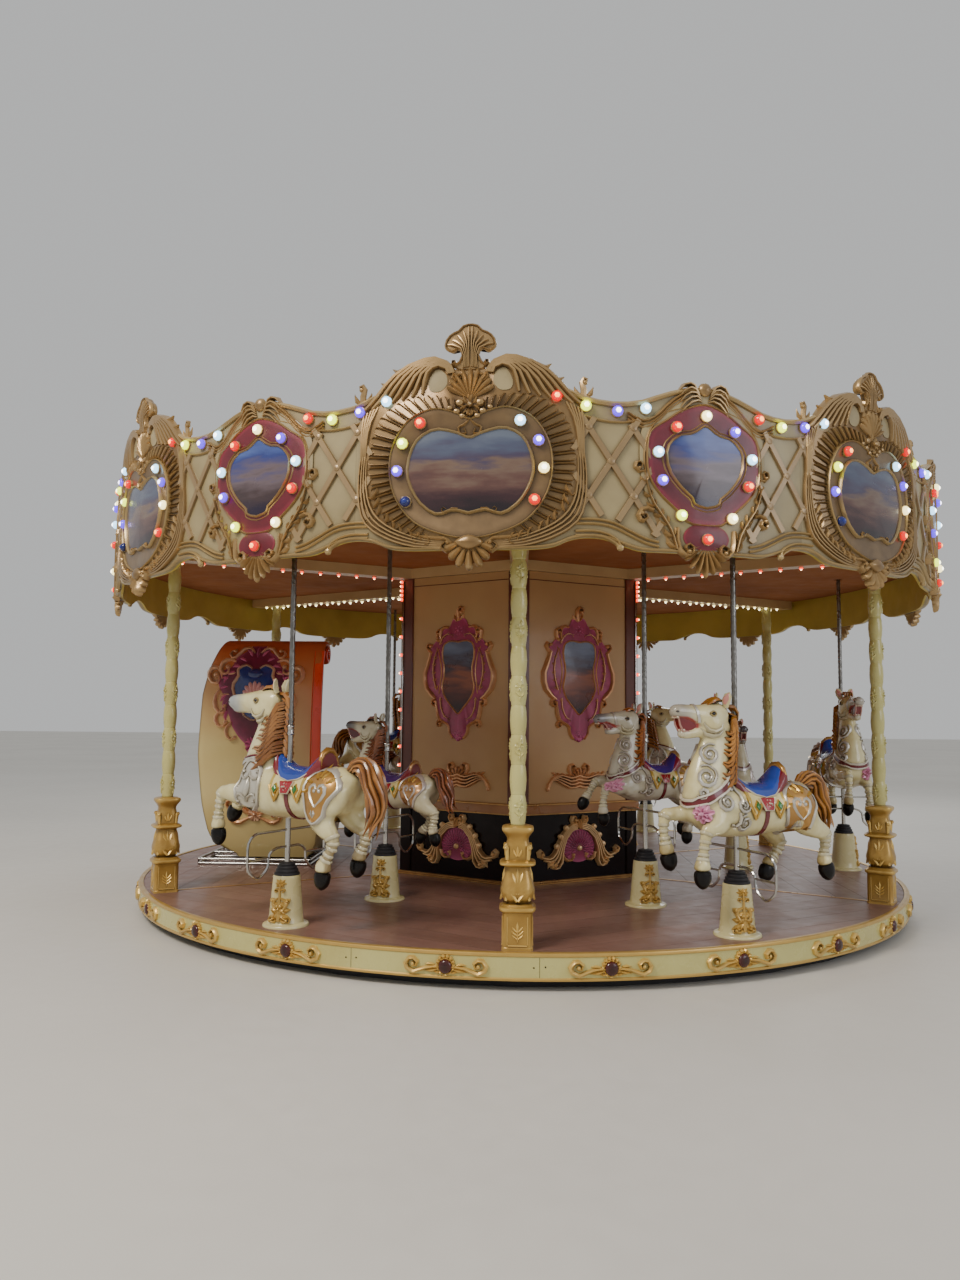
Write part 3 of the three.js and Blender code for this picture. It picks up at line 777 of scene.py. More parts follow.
# Poles, stirrups and chassis tubes: bright mirror steel
STEEL = Finish("polished_stainless_steel", "#c2c0bb", "#aeaca8", 0.16, metallic=1.0, patch=0.1, relief=0.00003)
# Upper tubes of the poles: darker steel with painted shade in the grooves of its twists
TWIST = Finish("twisted_steel_tube", "#8e8c88", "#74716c", 0.28, metallic=0.95, patch=0.05, painted_shade="#3a3835")
# Strips over the deck's joints and along the core's ledge: worn brass
BRASS = Finish("brass_edge_strip", "#c49a63", "#a98050", 0.3, metallic=0.85, patch=0.1)
# Stones of the fascia: almost black garnet, with a painted highlight red on its edges
GEM = Finish("dark_garnet_stone", "#240806", "#180504", 0.18, coat=0.3, patch=0.02, painted_highlight="#54140f")
# Joints of the fascia: a dull olive filler
SEAM = Finish("seam_filler", "#6f6640", "#5c5434", 0.6)
# Chariot: warm cream gloss
CHARIOT_PAINT = Finish("chariot_gloss_paint", "#d3c083", "#c4ae6c", 0.34, coat=0.25, patch=0.5)
# The chariot's back: the same gloss, airbrushed from cream to orange by the colour on its points
AIRBRUSHED = replace(CHARIOT_PAINT, name="chariot_airbrushed_gloss", colour="#ffffff", shade="#f3ede0", painted=True)
# Side strips of the chariot's back: bright orange red
CHARIOT_SIDE = Finish("orange_red_gloss", "#ec4c2c", "#d84022", 0.3, coat=0.3, patch=0.5)
# The chariot's seat: dark red vinyl with a leather grain
SEAT_VINYL = Finish("dark_red_seat_vinyl", "#6a1420", "#571019", 0.45, coat=0.2, patch=0.2, grain=0.004, relief=0.0004)
# Centre of the chariot's ornament: deep blue gloss
BLUE = Finish("ultramarine_gloss", "#22347c", "#1a2560", 0.2, coat=0.6, patch=0.08)
# Deck: worn red brown boards, streaked along their length, each in a tone of its own, with painted shade in the grooves
# between them
DECK_BOARD = Planks("deck_boards", "#8a685c", "#7a594e", 0.4, coat=0.1, patch=0.5, grain=0.004, painted_shade="#4c352c",
    painted=True)
# Horses: a wet-looking lacquer over the colours on their points
ENAMEL = Finish("horse_gloss_lacquer", "#ffffff", "#ece7da", 0.22, coat=0.6, patch=0.1, painted=True, relief=0.00015,
    grain=0.008)
HORSE_FINISHES = {
    "enamel": ENAMEL,
    # Bodies: soft tan painted shade in the folds
    "body": replace(ENAMEL, name="horse_body_lacquer", painted_shade="#7a6844", hollow=0.03),
    # Saddle cloths, rump panels and trim: gold leaf under lacquer
    "gilt": replace(ENAMEL, name="horse_gold_leaf", metallic=0.55, roughness=0.30),
    # Plates, spirals and hearts: silver leaf with painted shade in brown grey lines along its hollows
    "silver": replace(ENAMEL, name="horse_silver_leaf", metallic=0.40, roughness=0.32, painted_shade="#857c6a",
                      hollow=0.020),
    # Manes and tails: painted shade, dark brown, between the locks
    "hair": replace(ENAMEL, name="horse_hair_lacquer", roughness=0.28, painted_shade="#371a0a", hollow=0.026),
    # Hooves: plain black without the clear coat
    "hoof": replace(ENAMEL, name="horse_hoof_lacquer", roughness=0.28, coat=0.0, ior=1.35),
    # Breast flowers: pink, with painted shade in its folds and painted highlights light on its rims
    "petal": replace(ENAMEL, name="horse_petal_lacquer", painted_shade="#a85580", hollow=0.012, painted_highlight="#e4a2bd"),
}
# Pictures of the large frames: grey blue dusk over brown cloud
DUSK_LARGE = Picture("dusk_scene_large", "#4a2a2c", "#6d7690", 0.22, coat=0.35, low=2.52, high=3.0,
    bands=((0.0, "#1c0e14"), (1.0, "#5f6878"), (0.22, "#381e22"), (0.4, "#5c3f38"), (0.52, "#6f5a4c"),
           (0.64, "#443b52"), (0.82, "#4b5268")))
# Pictures of the small frames: the same under a bluer sky
DUSK_SMALL = replace(DUSK_LARGE, name="dusk_scene_small", low=2.58, high=3.05,
    bands=((0.0, "#1f132c"), (1.0, "#4f66a4"), (0.3, "#3f2f30"), (0.5, "#64565c"), (0.7, "#2c3878")))
# Pictures of the core: a red brown sunset
DUSK_CORE = Picture("dusk_scene_core", "#4a2a30", "#6a6058", 0.28, coat=0.2, low=1.5, high=2.03,
    bands=((0.0, "#2c1014"), (1.0, "#6e7a94"), (0.25, "#5c2418"), (0.48, "#96502c"), (0.66, "#40242e"),
           (0.84, "#565c74")))
# Studio floor: pale, with a faint satin
FLOOR_PAINT = Finish("studio_floor_paint", "#d8d4cc", "#d0ccc4", 0.5, patch=3.0)


# Carving. Headings are in degrees, anticlockwise from x; start and centre are x and y; height is towards z


def finger(start: Sequence[float], heading: float, length: float, bend: float, width: float,
           height: float = 0.014) -> Solid:
    """One finger of a leaf: it leaves at a heading in degrees, turns by bend and ends in a point."""
    line = flourish(start, (heading, heading + bend * 0.35, heading + bend), length, 8)
    return sweep(line, (width * 0.55, width, width * 0.8, 0), (height * 0.6, height, height * 0.7, 0.001), KEEL)


def spray(line: np.ndarray, count: int, angle: float, bend: float, lengths: tuple[float, float], width: float,
          height: float = 0.014) -> list[Solid]:
    """Fingers that leave a line one after another.

    Args:
        line: The line's points.
        count: Number of fingers.
        angle: Angle between the line and each finger, in degrees.
        bend: How far each finger turns.
        lengths: Length of the first and of the last.
        width: Half width of the longest.
        height: Height of each.

    Returns:
        The fingers.
    """
    at = np.linspace(1, len(line) - 2, count).astype(int)
    run = np.degrees(np.arctan2(line[at + 1, 1] - line[at - 1, 1], line[at + 1, 0] - line[at - 1, 0]))
    return [finger(line[i, :2], h + angle, size, bend, width * size / max(lengths), height)
            for i, h, size in zip(at, run, np.linspace(*lengths, count))]


def scroll(start: Sequence[float], headings: Sequence[float], length: float, width: Sequence[float],
           height: float = 0.018, eye: float = 0.0, section: np.ndarray = ROLL) -> list[Solid]:
    """A carved scroll along a flourish, with a round eye where it rolls up.

    Args:
        start: Where it starts.
        headings: Headings at even distances along it.
        length: Its length.
        width: Half width along it.
        height: Its height.
        eye: Radius of the eye, or 0 for none.
        section: Its section.

    Returns:
        The scroll and its eye.
    """
    line = flourish(start, headings, length, 26)
    made = [sweep(line, width, (height * 0.8, height, height), section)]
    return made + ([ball((*line[-1, :2], height * 0.3), (eye, eye, height))] if eye else [])


def spiral(centre: Sequence[float], radius: float, start: float, turns: float, width: float,
           height: float = 0.018) -> list[Solid]:
    """A rolled scroll about its centre: the radius falls evenly to a third while the angle runs its turns.

    Args:
        centre: Its centre.
        radius: Its outer radius.
        start: The angle where it starts.
        turns: Number of turns, negative for clockwise.
        width: Half width of the band.
        height: Its height.

    Returns:
        The band and the ball in its middle.
    """
    t = np.linspace(0, 1, 30)
    r, a = radius * (1 - 0.68 * t), math.radians(start) + turns * TAU * t
    line = np.column_stack([centre[0] + r * np.cos(a), centre[1] + r * np.sin(a), 0 * t])
    return [sweep(line, (width * 0.5, width, width * 0.85, width * 0.6), height),
            ball((*centre, 0.0), (radius * 0.27, radius * 0.27, height * 0.9), 10, 6)]


def fan(centre: Sequence[float], inner: float, outer: float | Sequence[float], angles: Sequence[float], width: float,
        height: float, section: np.ndarray = SCOOP) -> list[Solid]:
    """Round-ended petals about a centre: a shell, palmette or flower.

    Args:
        centre: Its centre.
        inner: Radius at which the petals start.
        outer: Radius at which they end, one for all or knots from first to last.
        angles: Heading of each petal.
        width: Half width of a petal.
        height: Its height.
        section: Its section.

    Returns:
        The petals.
    """
    reach = np.full(len(angles), outer) if np.isscalar(outer) else curve(outer, len(angles))[:, 0]
    made = []
    for angle, far in zip(np.radians(angles), reach):
        r = inner + (far - inner) * np.array([0, 0.3, 0.6, 0.82, 0.94, 1.0])
        line = np.column_stack([centre[0] + r * math.cos(angle), centre[1] + r * math.sin(angle), 0 * r])
        made.append(sweep(line, width * np.array([0.4, 0.7, 1.0, 0.95, 0.6, 0.12]), height
            * np.array([0.5, 0.8, 1.0, 1.0, 0.8, 0.2]), section))
    return made


def strands(first: Sequence, last: Sequence, count: int, width: Sequence[float], height: float) -> list[Solid]:
    """Feathers side by side: strand t runs along (1 - t) * first line + t * last line.

    Args:
        first: Knots of the first feather.
        last: Knots of the last.
        count: Number of feathers.
        width: Half width along each.
        height: Height of each.

    Returns:
        The feathers.
    """
    a, b = curve(first, 26), curve(last, 26)
    return [sweep(a + (b - a) * t, width, (height * 0.7, height, height, height * 0.6), RIB)
            for t in np.linspace(0, 1, count)]


def flower(centre: Sequence[float], radius: float, petals: int = 6, height: float = 0.02) -> list[Solid]:
    """A small open flower: hollow petals about a raised eye."""
    made = fan(centre, radius * 0.15, radius, np.arange(petals) * 360 / petals + 12, radius * 2.3 / petals, height)
    return [*made, ball((*centre, height * 0.7), (radius * 0.24, radius * 0.24, height * 0.6), 8, 5)]


def acanthus(knots: Sequence, count: int, reach: tuple[float, float], height: float = 0.03) -> list[Solid]:
    """A leaf along a spine: a broad low keel under it and curling lobes that leave it on both sides.

    Args:
        knots: Knots of the spine.
        count: Number of lobes a side.
        reach: Length of the first lobe and of the last.
        height: Height of the leaf.

    Returns:
        The keel, the midrib and the lobes.
    """
    spine = curve(knots, 30)
    made = [sweep(spine, (reach[0] * 0.3, reach[0] * 0.62, reach[1] * 0.6, POINT),
                  (height * 0.4, height * 0.5, height * 0.4, POINT), KEEL)]
    made += [sweep(spine, (0.006, 0.009, 0.008, POINT), height * 1.15, RIB)]
    for side in (1, -1):
        made += spray(spine, count, 48 * side, -62 * side, reach, reach[0] * 0.24, height)
    return made


def mirrored_outline(half: Sequence, samples: int) -> np.ndarray:
    """A closed smooth outline, anticlockwise, from knots down its right side; the left side mirrors them."""
    right = np.asarray(half, float)[::-1]  # from the bottom up, so that the whole runs anticlockwise
    left = right[::-1] * (-1, 1)
    keep = left[np.abs(left[:, 0]) > 1e-6]
    return curve(np.vstack([right, keep]), samples, closed=True)


def flutes(inner: np.ndarray, outer: np.ndarray, count: int, height: float,
           arcs: Sequence[tuple[float, float]]) -> list[Solid]:
    """Round-ended hollow flutes that run square from one outline to another.

    Args:
        inner: Points of the inner outline.
        outer: Points of the outer outline.
        count: Number of flutes if they went all the way round.
        height: Their height.
        arcs: Where they stand, as shares of the way round.

    Returns:
        The flutes.
    """
    shares = (np.arange(count) + 0.5) / count
    near = inner[(shares * len(inner)).astype(int)]
    step = np.roll(near, -1, 0) - np.roll(near, 1, 0)
    away = outer[None] - near[:, None]
    reach = np.linalg.norm(away, axis=2)
    square = (away @ np.column_stack([step[:, 1], -step[:, 0]])[:, :, None])[..., 0] / reach
    far = outer[np.argmax(square, 1)] * 0.6 + outer[(shares * len(outer)).astype(int)] * 0.4
    made = []
    for k in range(count):
        if not any(low <= shares[k] <= high for low, high in arcs):
            continue
        line = near[k] + (far[k] - near[k]) * np.array([0, 0.12, 0.3, 0.7, 0.9, 1.0])[:, None]
        ends = [0.23 * np.linalg.norm(p[(k + 1) % count] - p[k - 1]) for p in (near, far)]
        width = np.interp([0, 0.12, 0.3, 0.7, 0.9, 1.0], (0, 1), ends)
        made.append(sweep(line, width * np.array([0.4, 0.9, 1, 1, 0.9, 0.35]), height
            * np.array([0.5, 0.9, 1, 1, 0.9, 0.5]), TROUGH))
    return made


LARGE_PITCH = 2 * math.pi / BOARDS * BOARD_RADIUS  # from one large frame to the next, round the crown
SMALL_AT = LARGE_PITCH / 2  # flat x of the small frame between them


@dataclass
class Crown:
    """The eight curved boards of the crown with their large and small carved frames, lattice, edges and lamps.

    Outlines are the right half of each, from the top down, as x and height above the floor.

    Attributes:
        lamp: Radius of a lamp.
        face_depth: How far the boards' faces stand off the board radius.
        hem: The boards' lower edge, from the middle of a large frame to that of the small one.
        edge: The boards' upper edge, in the same way.
        window: The large frame's picture.
        band: Outer edge of the smooth band with lamps round it.
        flute_rim: Outer edge of the flutes round the band.
        backing: The large frame's whole outline, pierced at the top.
        shield: The small frame's picture.
        enamel: The small frame's enamel field round it.
        small_plate: The small frame's whole outline.
    """

    lamp: float = 0.03
    face_depth: float = 0.003
    hem: tuple = ((0, 2.338), (0.3, 2.338), (0.44, 2.352), (0.53, 2.388), (0.62, 2.404), (0.72, 2.398), (0.82, 2.366),
                  (0.92, 2.34), (1.05, 2.338), (1.2818, 2.338))
    edge: tuple = ((0.0, 3.21), (0.3, 3.21), (0.5, 3.205), (0.62, 3.16), (0.76, 3.138), (0.9, 3.15), (1.02, 3.192),
        (1.15, 3.235), (1.2818, 3.25))
    window: tuple = mm(2, 0, 2935, 75, 2965, 190, 2985, 290, 2925, 336, 2800, 325, 2700, 265, 2590, 175, 2527, 85, 2548,
        0, 2530)
    band: tuple = mm(2, 0, 3035, 85, 3075, 200, 3098, 330, 3045, 415, 2920, 437, 2770, 400, 2620, 300, 2490, 150, 2420,
        0, 2395)
    flute_rim: tuple = mm(2, 0, 3135, 160, 3170, 330, 3165, 480, 3090, 552, 2940, 562, 2770, 520, 2600, 415, 2455,
        220, 2385, 0, 2370)
    backing: tuple = mm(2, 0, 3310, 90, 3315, 170, 3368, 250, 3366, 360, 3318, 460, 3235, 540, 3150, 575, 3040,
        590, 2900, 606, 2770, 604, 2620, 560, 2480, 440, 2402, 280, 2352, 120, 2335, 0, 2325)
    shield: tuple = mm(2, 0, 3035, 75, 2990, 150, 2975, 215, 2915, 226, 2840, 200, 2760, 135, 2680, 85, 2640, 70, 2605,
        0, 2585)
    enamel: tuple = mm(2, 0, 3155, 120, 3120, 220, 3055, 315, 2985, 335, 2870, 325, 2750, 265, 2650, 170, 2565,
        100, 2500, 0, 2490)
    small_plate: tuple = mm(2, 0, 3235, 100, 3215, 200, 3155, 290, 3085, 355, 3020, 375, 2900, 365, 2720, 330, 2620,
        260, 2500, 185, 2400, 100, 2345, 0, 2330)

    def large_lamps(self) -> list[tuple[float, float, Lamp]]:
        """Place and colour of the lamps in a large frame's smooth band."""
        return [(-0.267, 3.022, Lamp.RED), (-0.364, 2.915, Lamp.LIME), (-0.392, 2.766, Lamp.VIOLET),
                (-0.343, 2.597, Lamp.OFF), (0.267, 3.022, Lamp.COOL), (0.364, 2.915, Lamp.VIOLET),
                (0.392, 2.766, Lamp.WARM), (0.343, 2.597, Lamp.RED)]

    def small_lamps(self) -> list[tuple[float, float, Lamp]]:
        """Place and colour of the lamps in a small frame's enamel."""
        return [(-0.173, 3.015, Lamp.RED), (0, 3.088, Lamp.WARM), (0.173, 3.015, Lamp.VIOLET),
                (-0.278, 2.872, Lamp.COOL), (0.278, 2.872, Lamp.COOL), (-0.255, 2.72, Lamp.VIOLET),
                (0.255, 2.72, Lamp.RED), (-0.15, 2.535, Lamp.LIME), (0.15, 2.535, Lamp.WARM), (0, 2.412, Lamp.RED)]

    def edge_lamps(self) -> list[tuple[float, float, Lamp]]:
        """Place and colour of the lamps along the top edge, between the frames."""
        colours, near = (Lamp.RED, Lamp.LIME, Lamp.VIOLET, Lamp.COOL), (0.46, 0.615, 0.785, 0.94)
        spots = zip((*near, *(LARGE_PITCH - x for x in near[::-1])), colours * 2)
        return [(x, float(self.swing(self.edge, np.array([x]))[0]) - 0.052, colour) for x, colour in spots]

    def swing(self, knots: tuple, x: np.ndarray) -> np.ndarray:
        """Height of the boards' top or bottom edge at x: a curve through the knots, mirrored and repeated."""
        line = curve(knots, 81)
        return np.interp(np.abs((x + LARGE_PITCH / 2) % LARGE_PITCH - LARGE_PITCH / 2), line[:, 0], line[:, 1])

    def board(self) -> tuple[Solid, Solid]:
        """The bent board's cream face and its olive back: loft of upright sections between its two swung edges."""
        x = np.linspace(-LARGE_PITCH / 4 + 0.0005, LARGE_PITCH * 3 / 4 - 0.0005, 97)
        top, low = self.swing(self.edge, x), self.swing(self.hem, x)

        def shell(inner: float, outer: float) -> Solid:
            """Sections from the back round under the board to its face."""
            ring = [(low, outer), (low + 0.004, outer + 0.001), (top, outer), (top, inner), (low, inner)]
            return loft(np.stack([np.stack([x, b, 0 * x + c], -1) for b, c in ring], 1)[::-1])
        return shell(-0.018, self.face_depth), shell(-0.034, -0.0185)

    def lattice(self) -> list[Solid]:
        """Crossed bars at 57 degrees, 243 mm apart, clipped to the field beside a large frame, with bosses."""
        pitch, rise, x0, z0 = 0.243, 1.523, 0.751, 2.812
        made = []
        for k in range(-4, 5):
            for way in (1, -1):
                z = np.linspace(2.42, 3.12, 29)
                x = x0 + k * pitch + way * (z - z0) / rise
                inside = ((x > 0.54) & (x < 1.03) & (z < self.swing(self.edge, x) - 0.1)
                          & (z > np.interp(x, (0.58, 0.7, 0.8, 1.0), (2.5, 2.5, 2.47, 2.39))))
                if inside.sum() > 2:
                    made.append(sweep(np.column_stack([x, z, 0 * z + 0.003])[inside], 0.0165, 0.016, STRIP))
        knots = [(x0 + (i + j) * pitch / 2, z0 + (i - j) * pitch * rise / 2) for i in range(-4, 5)
                 for j in range(-4, 5)]
        return made + [ball((x, z, 0.012), (0.024, 0.024, 0.016), 8, 5) for x, z in knots if 0.6 < x < 0.97
            and 2.55 < z < 3.02]

    def borders(self) -> list[Solid]:
        """The double mouldings below the lattice: one sweeps down to the small frame, one ends in a small curl."""
        made = []
        for knots in (mm(2, 560, 2500, 680, 2500, 770, 2482, 860, 2440, 940, 2405, 1010, 2390),
                      mm(2, 560, 2436, 660, 2438, 730, 2424, 785, 2392, 800, 2362)):
            line = curve(knots, 26)
            made += [sweep(line + (0, shift), 0.0085, 0.02) for shift in (0, -0.024)]
        return [*made, ball((0.8, 2.352, 0.006), (0.02, 0.02, 0.02), 10, 5)]

    def curl_finial(self) -> list[Solid]:
        """The small upright curl that stands on the edge beside each large frame."""
        made = scroll((0.605, 3.16), (75, 95, 110, 80, -30, -160), 0.15, (0.02, 0.018, 0.013, 0.008), 0.016, 0.014)
        return made + [finger((0.59, 3.165), 150, 0.07, -70, 0.014), finger((0.62, 3.16), 35, 0.075, 60, 0.014)]

    def large_gold(self) -> list[Solid]:
        """The large frame's carving, in gold: flutes, feathered arches, shell, leaves, volutes and palmette."""
        band, rim = mirrored_outline(self.band, 600), mirrored_outline(self.flute_rim, 600)
        made = [pillow(mirrored_outline(self.flute_rim, 160), 0, [(1, 0.01), (0.985, 0.013)], (0, 2.77))]
        made += flutes(band, rim, 60, 0.03, [(0.085, 0.475), (0.525, 0.915)])
        crest = mm(2, 85, 3292, 115, 3345, 200, 3378, 320, 3348, 430, 3278, 535, 3165, 600, 3110)
        eye = mm(2, 120, 3288, 132, 3318, 175, 3334, 222, 3312, 245, 3268, 250, 3222, 262, 3185)
        half = strands(crest, eye, 7, (0.008, 0.012, 0.016, 0.019, 0.022, 0.02, 0.012), 0.04)
        for hook in (mm(2, 315, 3352, 365, 3322, 402, 3316, 432, 3338), mm(2, 405, 3300, 440, 3266, 470, 3248,
                500, 3266)):
            half.append(sweep(curve(hook, 14), (0.016, 0.02, 0.014, 0.002), (0.03, 0.034, 0.03, 0.01)))
        half += scroll((0.09, 3.3), (-70, -100, -150, -240, -330), 0.12, (0.01, 0.011, 0.008, 0.005), 0.036, 0.011)
        shore = mm(2, 600, 2900, 616, 2740, 606, 2580, 560, 2478, 440, 2402, 300, 2358, 165, 2350)
        inner = mm(2, 572, 2840, 572, 2710, 552, 2600, 500, 2515, 410, 2452, 290, 2405, 185, 2382)
        half += strands(shore, inner, 4, (0.004, 0.01, 0.012, 0.012, 0.01, 0.006), 0.03)
        half += strands(mm(2, 592, 3095, 600, 3000, 602, 2900, 608, 2800),
            mm(2, 510, 3130, 556, 3030, 572, 2930, 580, 2830), 5, (0.01, 0.013, 0.011, 0.004), 0.028)
        spine = curve(mm(2, 200, 2372, 310, 2400, 420, 2455, 510, 2545, 545, 2630), 30)
        half += spray(spine, 9, 62, -55, (0.085, 0.1), 0.017, 0.036) + spray(spine, 7, -45, 70, (0.05, 0.06), 0.012,
            0.03)
        half += spray(curve(mm(2, 585, 2600, 600, 2740, 585, 2900, 560, 3020), 24), 7, -28, 60, (0.075, 0.06), 0.012,
                      0.026)
        half += scroll((0.3, 2.42), (200, 190, 180, 200, 290, 420, 560), 0.36, (0.008, 0.013, 0.016, 0.013, 0.007),
            0.036, 0.015)
        half += [sweep(curve(mm(2, 5, 3030, 30, 3008, 60, 2990, 50, 2958, 20, 2962, 30, 2985), 16),
            (0.009, 0.01, 0.006), 0.03)]
        half += scroll((0.06, 2.556), (10, -10, -50, 20, 120, 250), 0.14, (0.007, 0.01, 0.008, 0.005), 0.034)
        half += [ball((x, z, 0.016), (r, r * 0.8, 0.022), 8, 5) for x, z, r in mm(3, 70, 3078, 22, 108, 3098, 18,
            40, 3052, 20, 55, 3125, 26)]
        made += both_sides(half)
        made += fan((0, 3.145), 0.012, (0.15, 0.172, 0.178, 0.172, 0.15), np.linspace(30, 150, 9), 0.017, 0.042, ROLL)
        made += flower((0, 3.112), 0.06, 7, 0.042) + flower((0.0, 3.058), 0.03, 5, 0.034)
        made += [pillow(curve(mm(2, 76, 0, 0, 40, -76, 0, 0, -40), 24, True) + (0, 2.372), 0,
            [(1.0, 0.03), (0.85, 0.044), (0.5, 0.052)], (0, 2.372), top=0.055)]
        made += fan((0, 2.385), 0.045, (0.14, 0.15, 0.162, 0.15, 0.14), np.linspace(-160, -20, 7), 0.0225, 0.046, ROLL)
        return made + self.finial()

    def finial(self) -> list[Solid]:
        """The three-lobed fan on a fluted stem with small foot volutes, above a large frame."""
        outline = mirrored_outline(mm(2, 0, 3553, 38, 3545, 64, 3518, 100, 3503, 128, 3470, 132, 3432, 100, 3410,
            66, 3425, 44, 3400, 46, 3360, 78, 3330, 66, 3305, 0, 3300), 72)
        made = [pillow(outline, -0.022, [(0.95, -0.022), (1, -0.008), (1, 0.01), (0.93, 0.022)], (0, 3.43), top=0.026)]
        half = [rib.moved((0, 0, 0.012)) for rib in strands(mm(2, 38, 3315, 34, 3375, 48, 3418, 88, 3440, 122, 3446),
            mm(2, 7, 3320, 7, 3390, 7, 3450, 9, 3500, 10, 3540), 5, (0.006, 0.006, 0.008, 0.011, 0.009), 0.03)]
        half += scroll((0.044, 3.378), (-80, -60, -30, 40, 160, 300), 0.13, (0.01, 0.011, 0.009, 0.006), 0.04, 0.01)
        rim = sweep(np.column_stack([outline, np.full(len(outline), 0.016)])[6:-6], 0.007, 0.018)
        return [*made, rim, *both_sides(half)]

    def small_gold(self) -> list[Solid]:
        """The small frame's carving, in gold, about x = 0."""
        half = [sweep(curve(mm(2, 30, 3245, 100, 3222, 190, 3165, 270, 3085, 340, 3045, 400, 3060, 440, 3085), 26)
                      - (0, 0.018 * k), (0.007, 0.01, 0.01, 0.006), 0.026 - 0.004 * k) for k in range(3)]
        half += strands(mm(2, 35, 3215, 70, 3262, 115, 3262, 150, 3225),
            mm(2, 20, 3170, 50, 3175, 100, 3150, 140, 3100), 5, (0.006, 0.012, 0.012, 0.006), 0.034)
        half += [sweep(curve(mm(2, 285, 3045, 325, 2980, 350, 2880, 343, 2740, 315, 2660), 22),
            (0.006, 0.009, 0.009, 0.006), 0.022)]
        half += scroll((0.345, 2.77), (-20, 30, 110, 230, 350), 0.16, (0.009, 0.013, 0.01, 0.006), 0.03, 0.012)
        half += acanthus(mm(2, 175, 2355, 205, 2450, 255, 2530, 310, 2610, 345, 2720), 7, (0.085, 0.05), 0.032)
        half += scroll((0.3, 2.56), (30, -10, -60, -140, -260, -380), 0.22, (0.012, 0.017, 0.014, 0.008), 0.038, 0.015)
        half += scroll((0.165, 2.47), (-80, -95, -110, -170, -260, -380, -520), 0.33,
            (0.011, 0.018, 0.017, 0.013, 0.007), 0.04, 0.016)
        made = both_sides(half)
        made += [ball((0, 3.238, 0.012), (0.04, 0.04, 0.03), 12, 7)]
        made += fan((0, 2.385), 0.02, (0.14, 0.15, 0.16, 0.18, 0.16, 0.15, 0.14),
                    (-164, -144, -124, -107, -90, -73, -56, -36, -16), 0.016, 0.034, KEEL)
        for outline, width, height in ((self.shield, 0.011, 0.034), (self.enamel, 0.009, 0.028)):
            line = mirrored_outline(outline, 120)
            made.append(sweep(line, width, height, closed=True))
        grown = mirrored_outline(self.shield, 120)
        grown = (grown - (0, 2.82)) * (1.11, 1.09) + (0, 2.82)
        return [*made, sweep(grown, 0.009, 0.026, closed=True)]

    def lamp_parts(self, piece: Piece, x: float, y: float, colour: Lamp, lay: Map, depth: float) -> None:
        """A lamp: a gold collar, a domed cap and its hot middle.

        Args:
            piece: The piece it goes in.
            x: Its place across the board.
            y: Its height above the floor.
            colour: Its colour.
            lay: The board's bend.
            depth: Depth of the ground that it stands on.
        """
        r = self.lamp
        piece.add(revolve([(r * 0.5, depth - 0.004), (r * 1.12, depth - 0.004), (r * 1.1, depth + 0.009),
            (0.001, depth + 0.012)], 9).moved((x, y, 0)), PALE_GILT, lay)
        piece.add(revolve([(r * 0.9, depth + 0.01), (r, depth + 0.016), (r * 0.92, depth + 0.027),
            (r * 0.58, depth + 0.037), (0.001, depth + 0.038)], 10).moved((x, y, 0)), colour.cap, lay)
        piece.add(revolve([(r * 0.52, depth + 0.034), (r * 0.5, depth + 0.039), (r * 0.28, depth + 0.044),
            (0.001, depth + 0.046)], 6).moved((x, y, 0)), colour.heart, lay)

    def mouldings(self) -> list[Solid]:
        """Gold lines along a board's upper edge, broken where a large frame stands, and one along its hem."""
        x = np.linspace(-LARGE_PITCH / 4 + 0.001, LARGE_PITCH * 3 / 4 - 0.001, 160)
        edge, hem = [np.column_stack([x, self.swing(k, x), 0 * x]) for k in (self.edge, self.hem)]
        clear = np.abs((x + LARGE_PITCH / 2) % LARGE_PITCH - LARGE_PITCH / 2) > 0.52
        made = []
        for run in (edge[(x < 0) & clear], edge[(x > 0) & clear]):
            if len(run) > 2:
                made += [sweep(run - (0, 0.012, 0.004), 0.016, 0.03), sweep(run - (0, 0.108, 0), 0.008, 0.018)]
        return [*made, sweep(hem + (0, 0.01, 0), 0.009, 0.018)]

    def holes(self) -> list[Solid]:
        """Two fields of board colour that show through the top of a large frame's backing."""
        outline = curve(mm(2, 225, 3250, 185, 3315, 135, 3290, 125, 3235, 160, 3195, 215, 3200), 24, True)
        return both_sides([pillow(outline, 0, [(1, 0.0165)], (0.175, 3.25), top=0.018)])

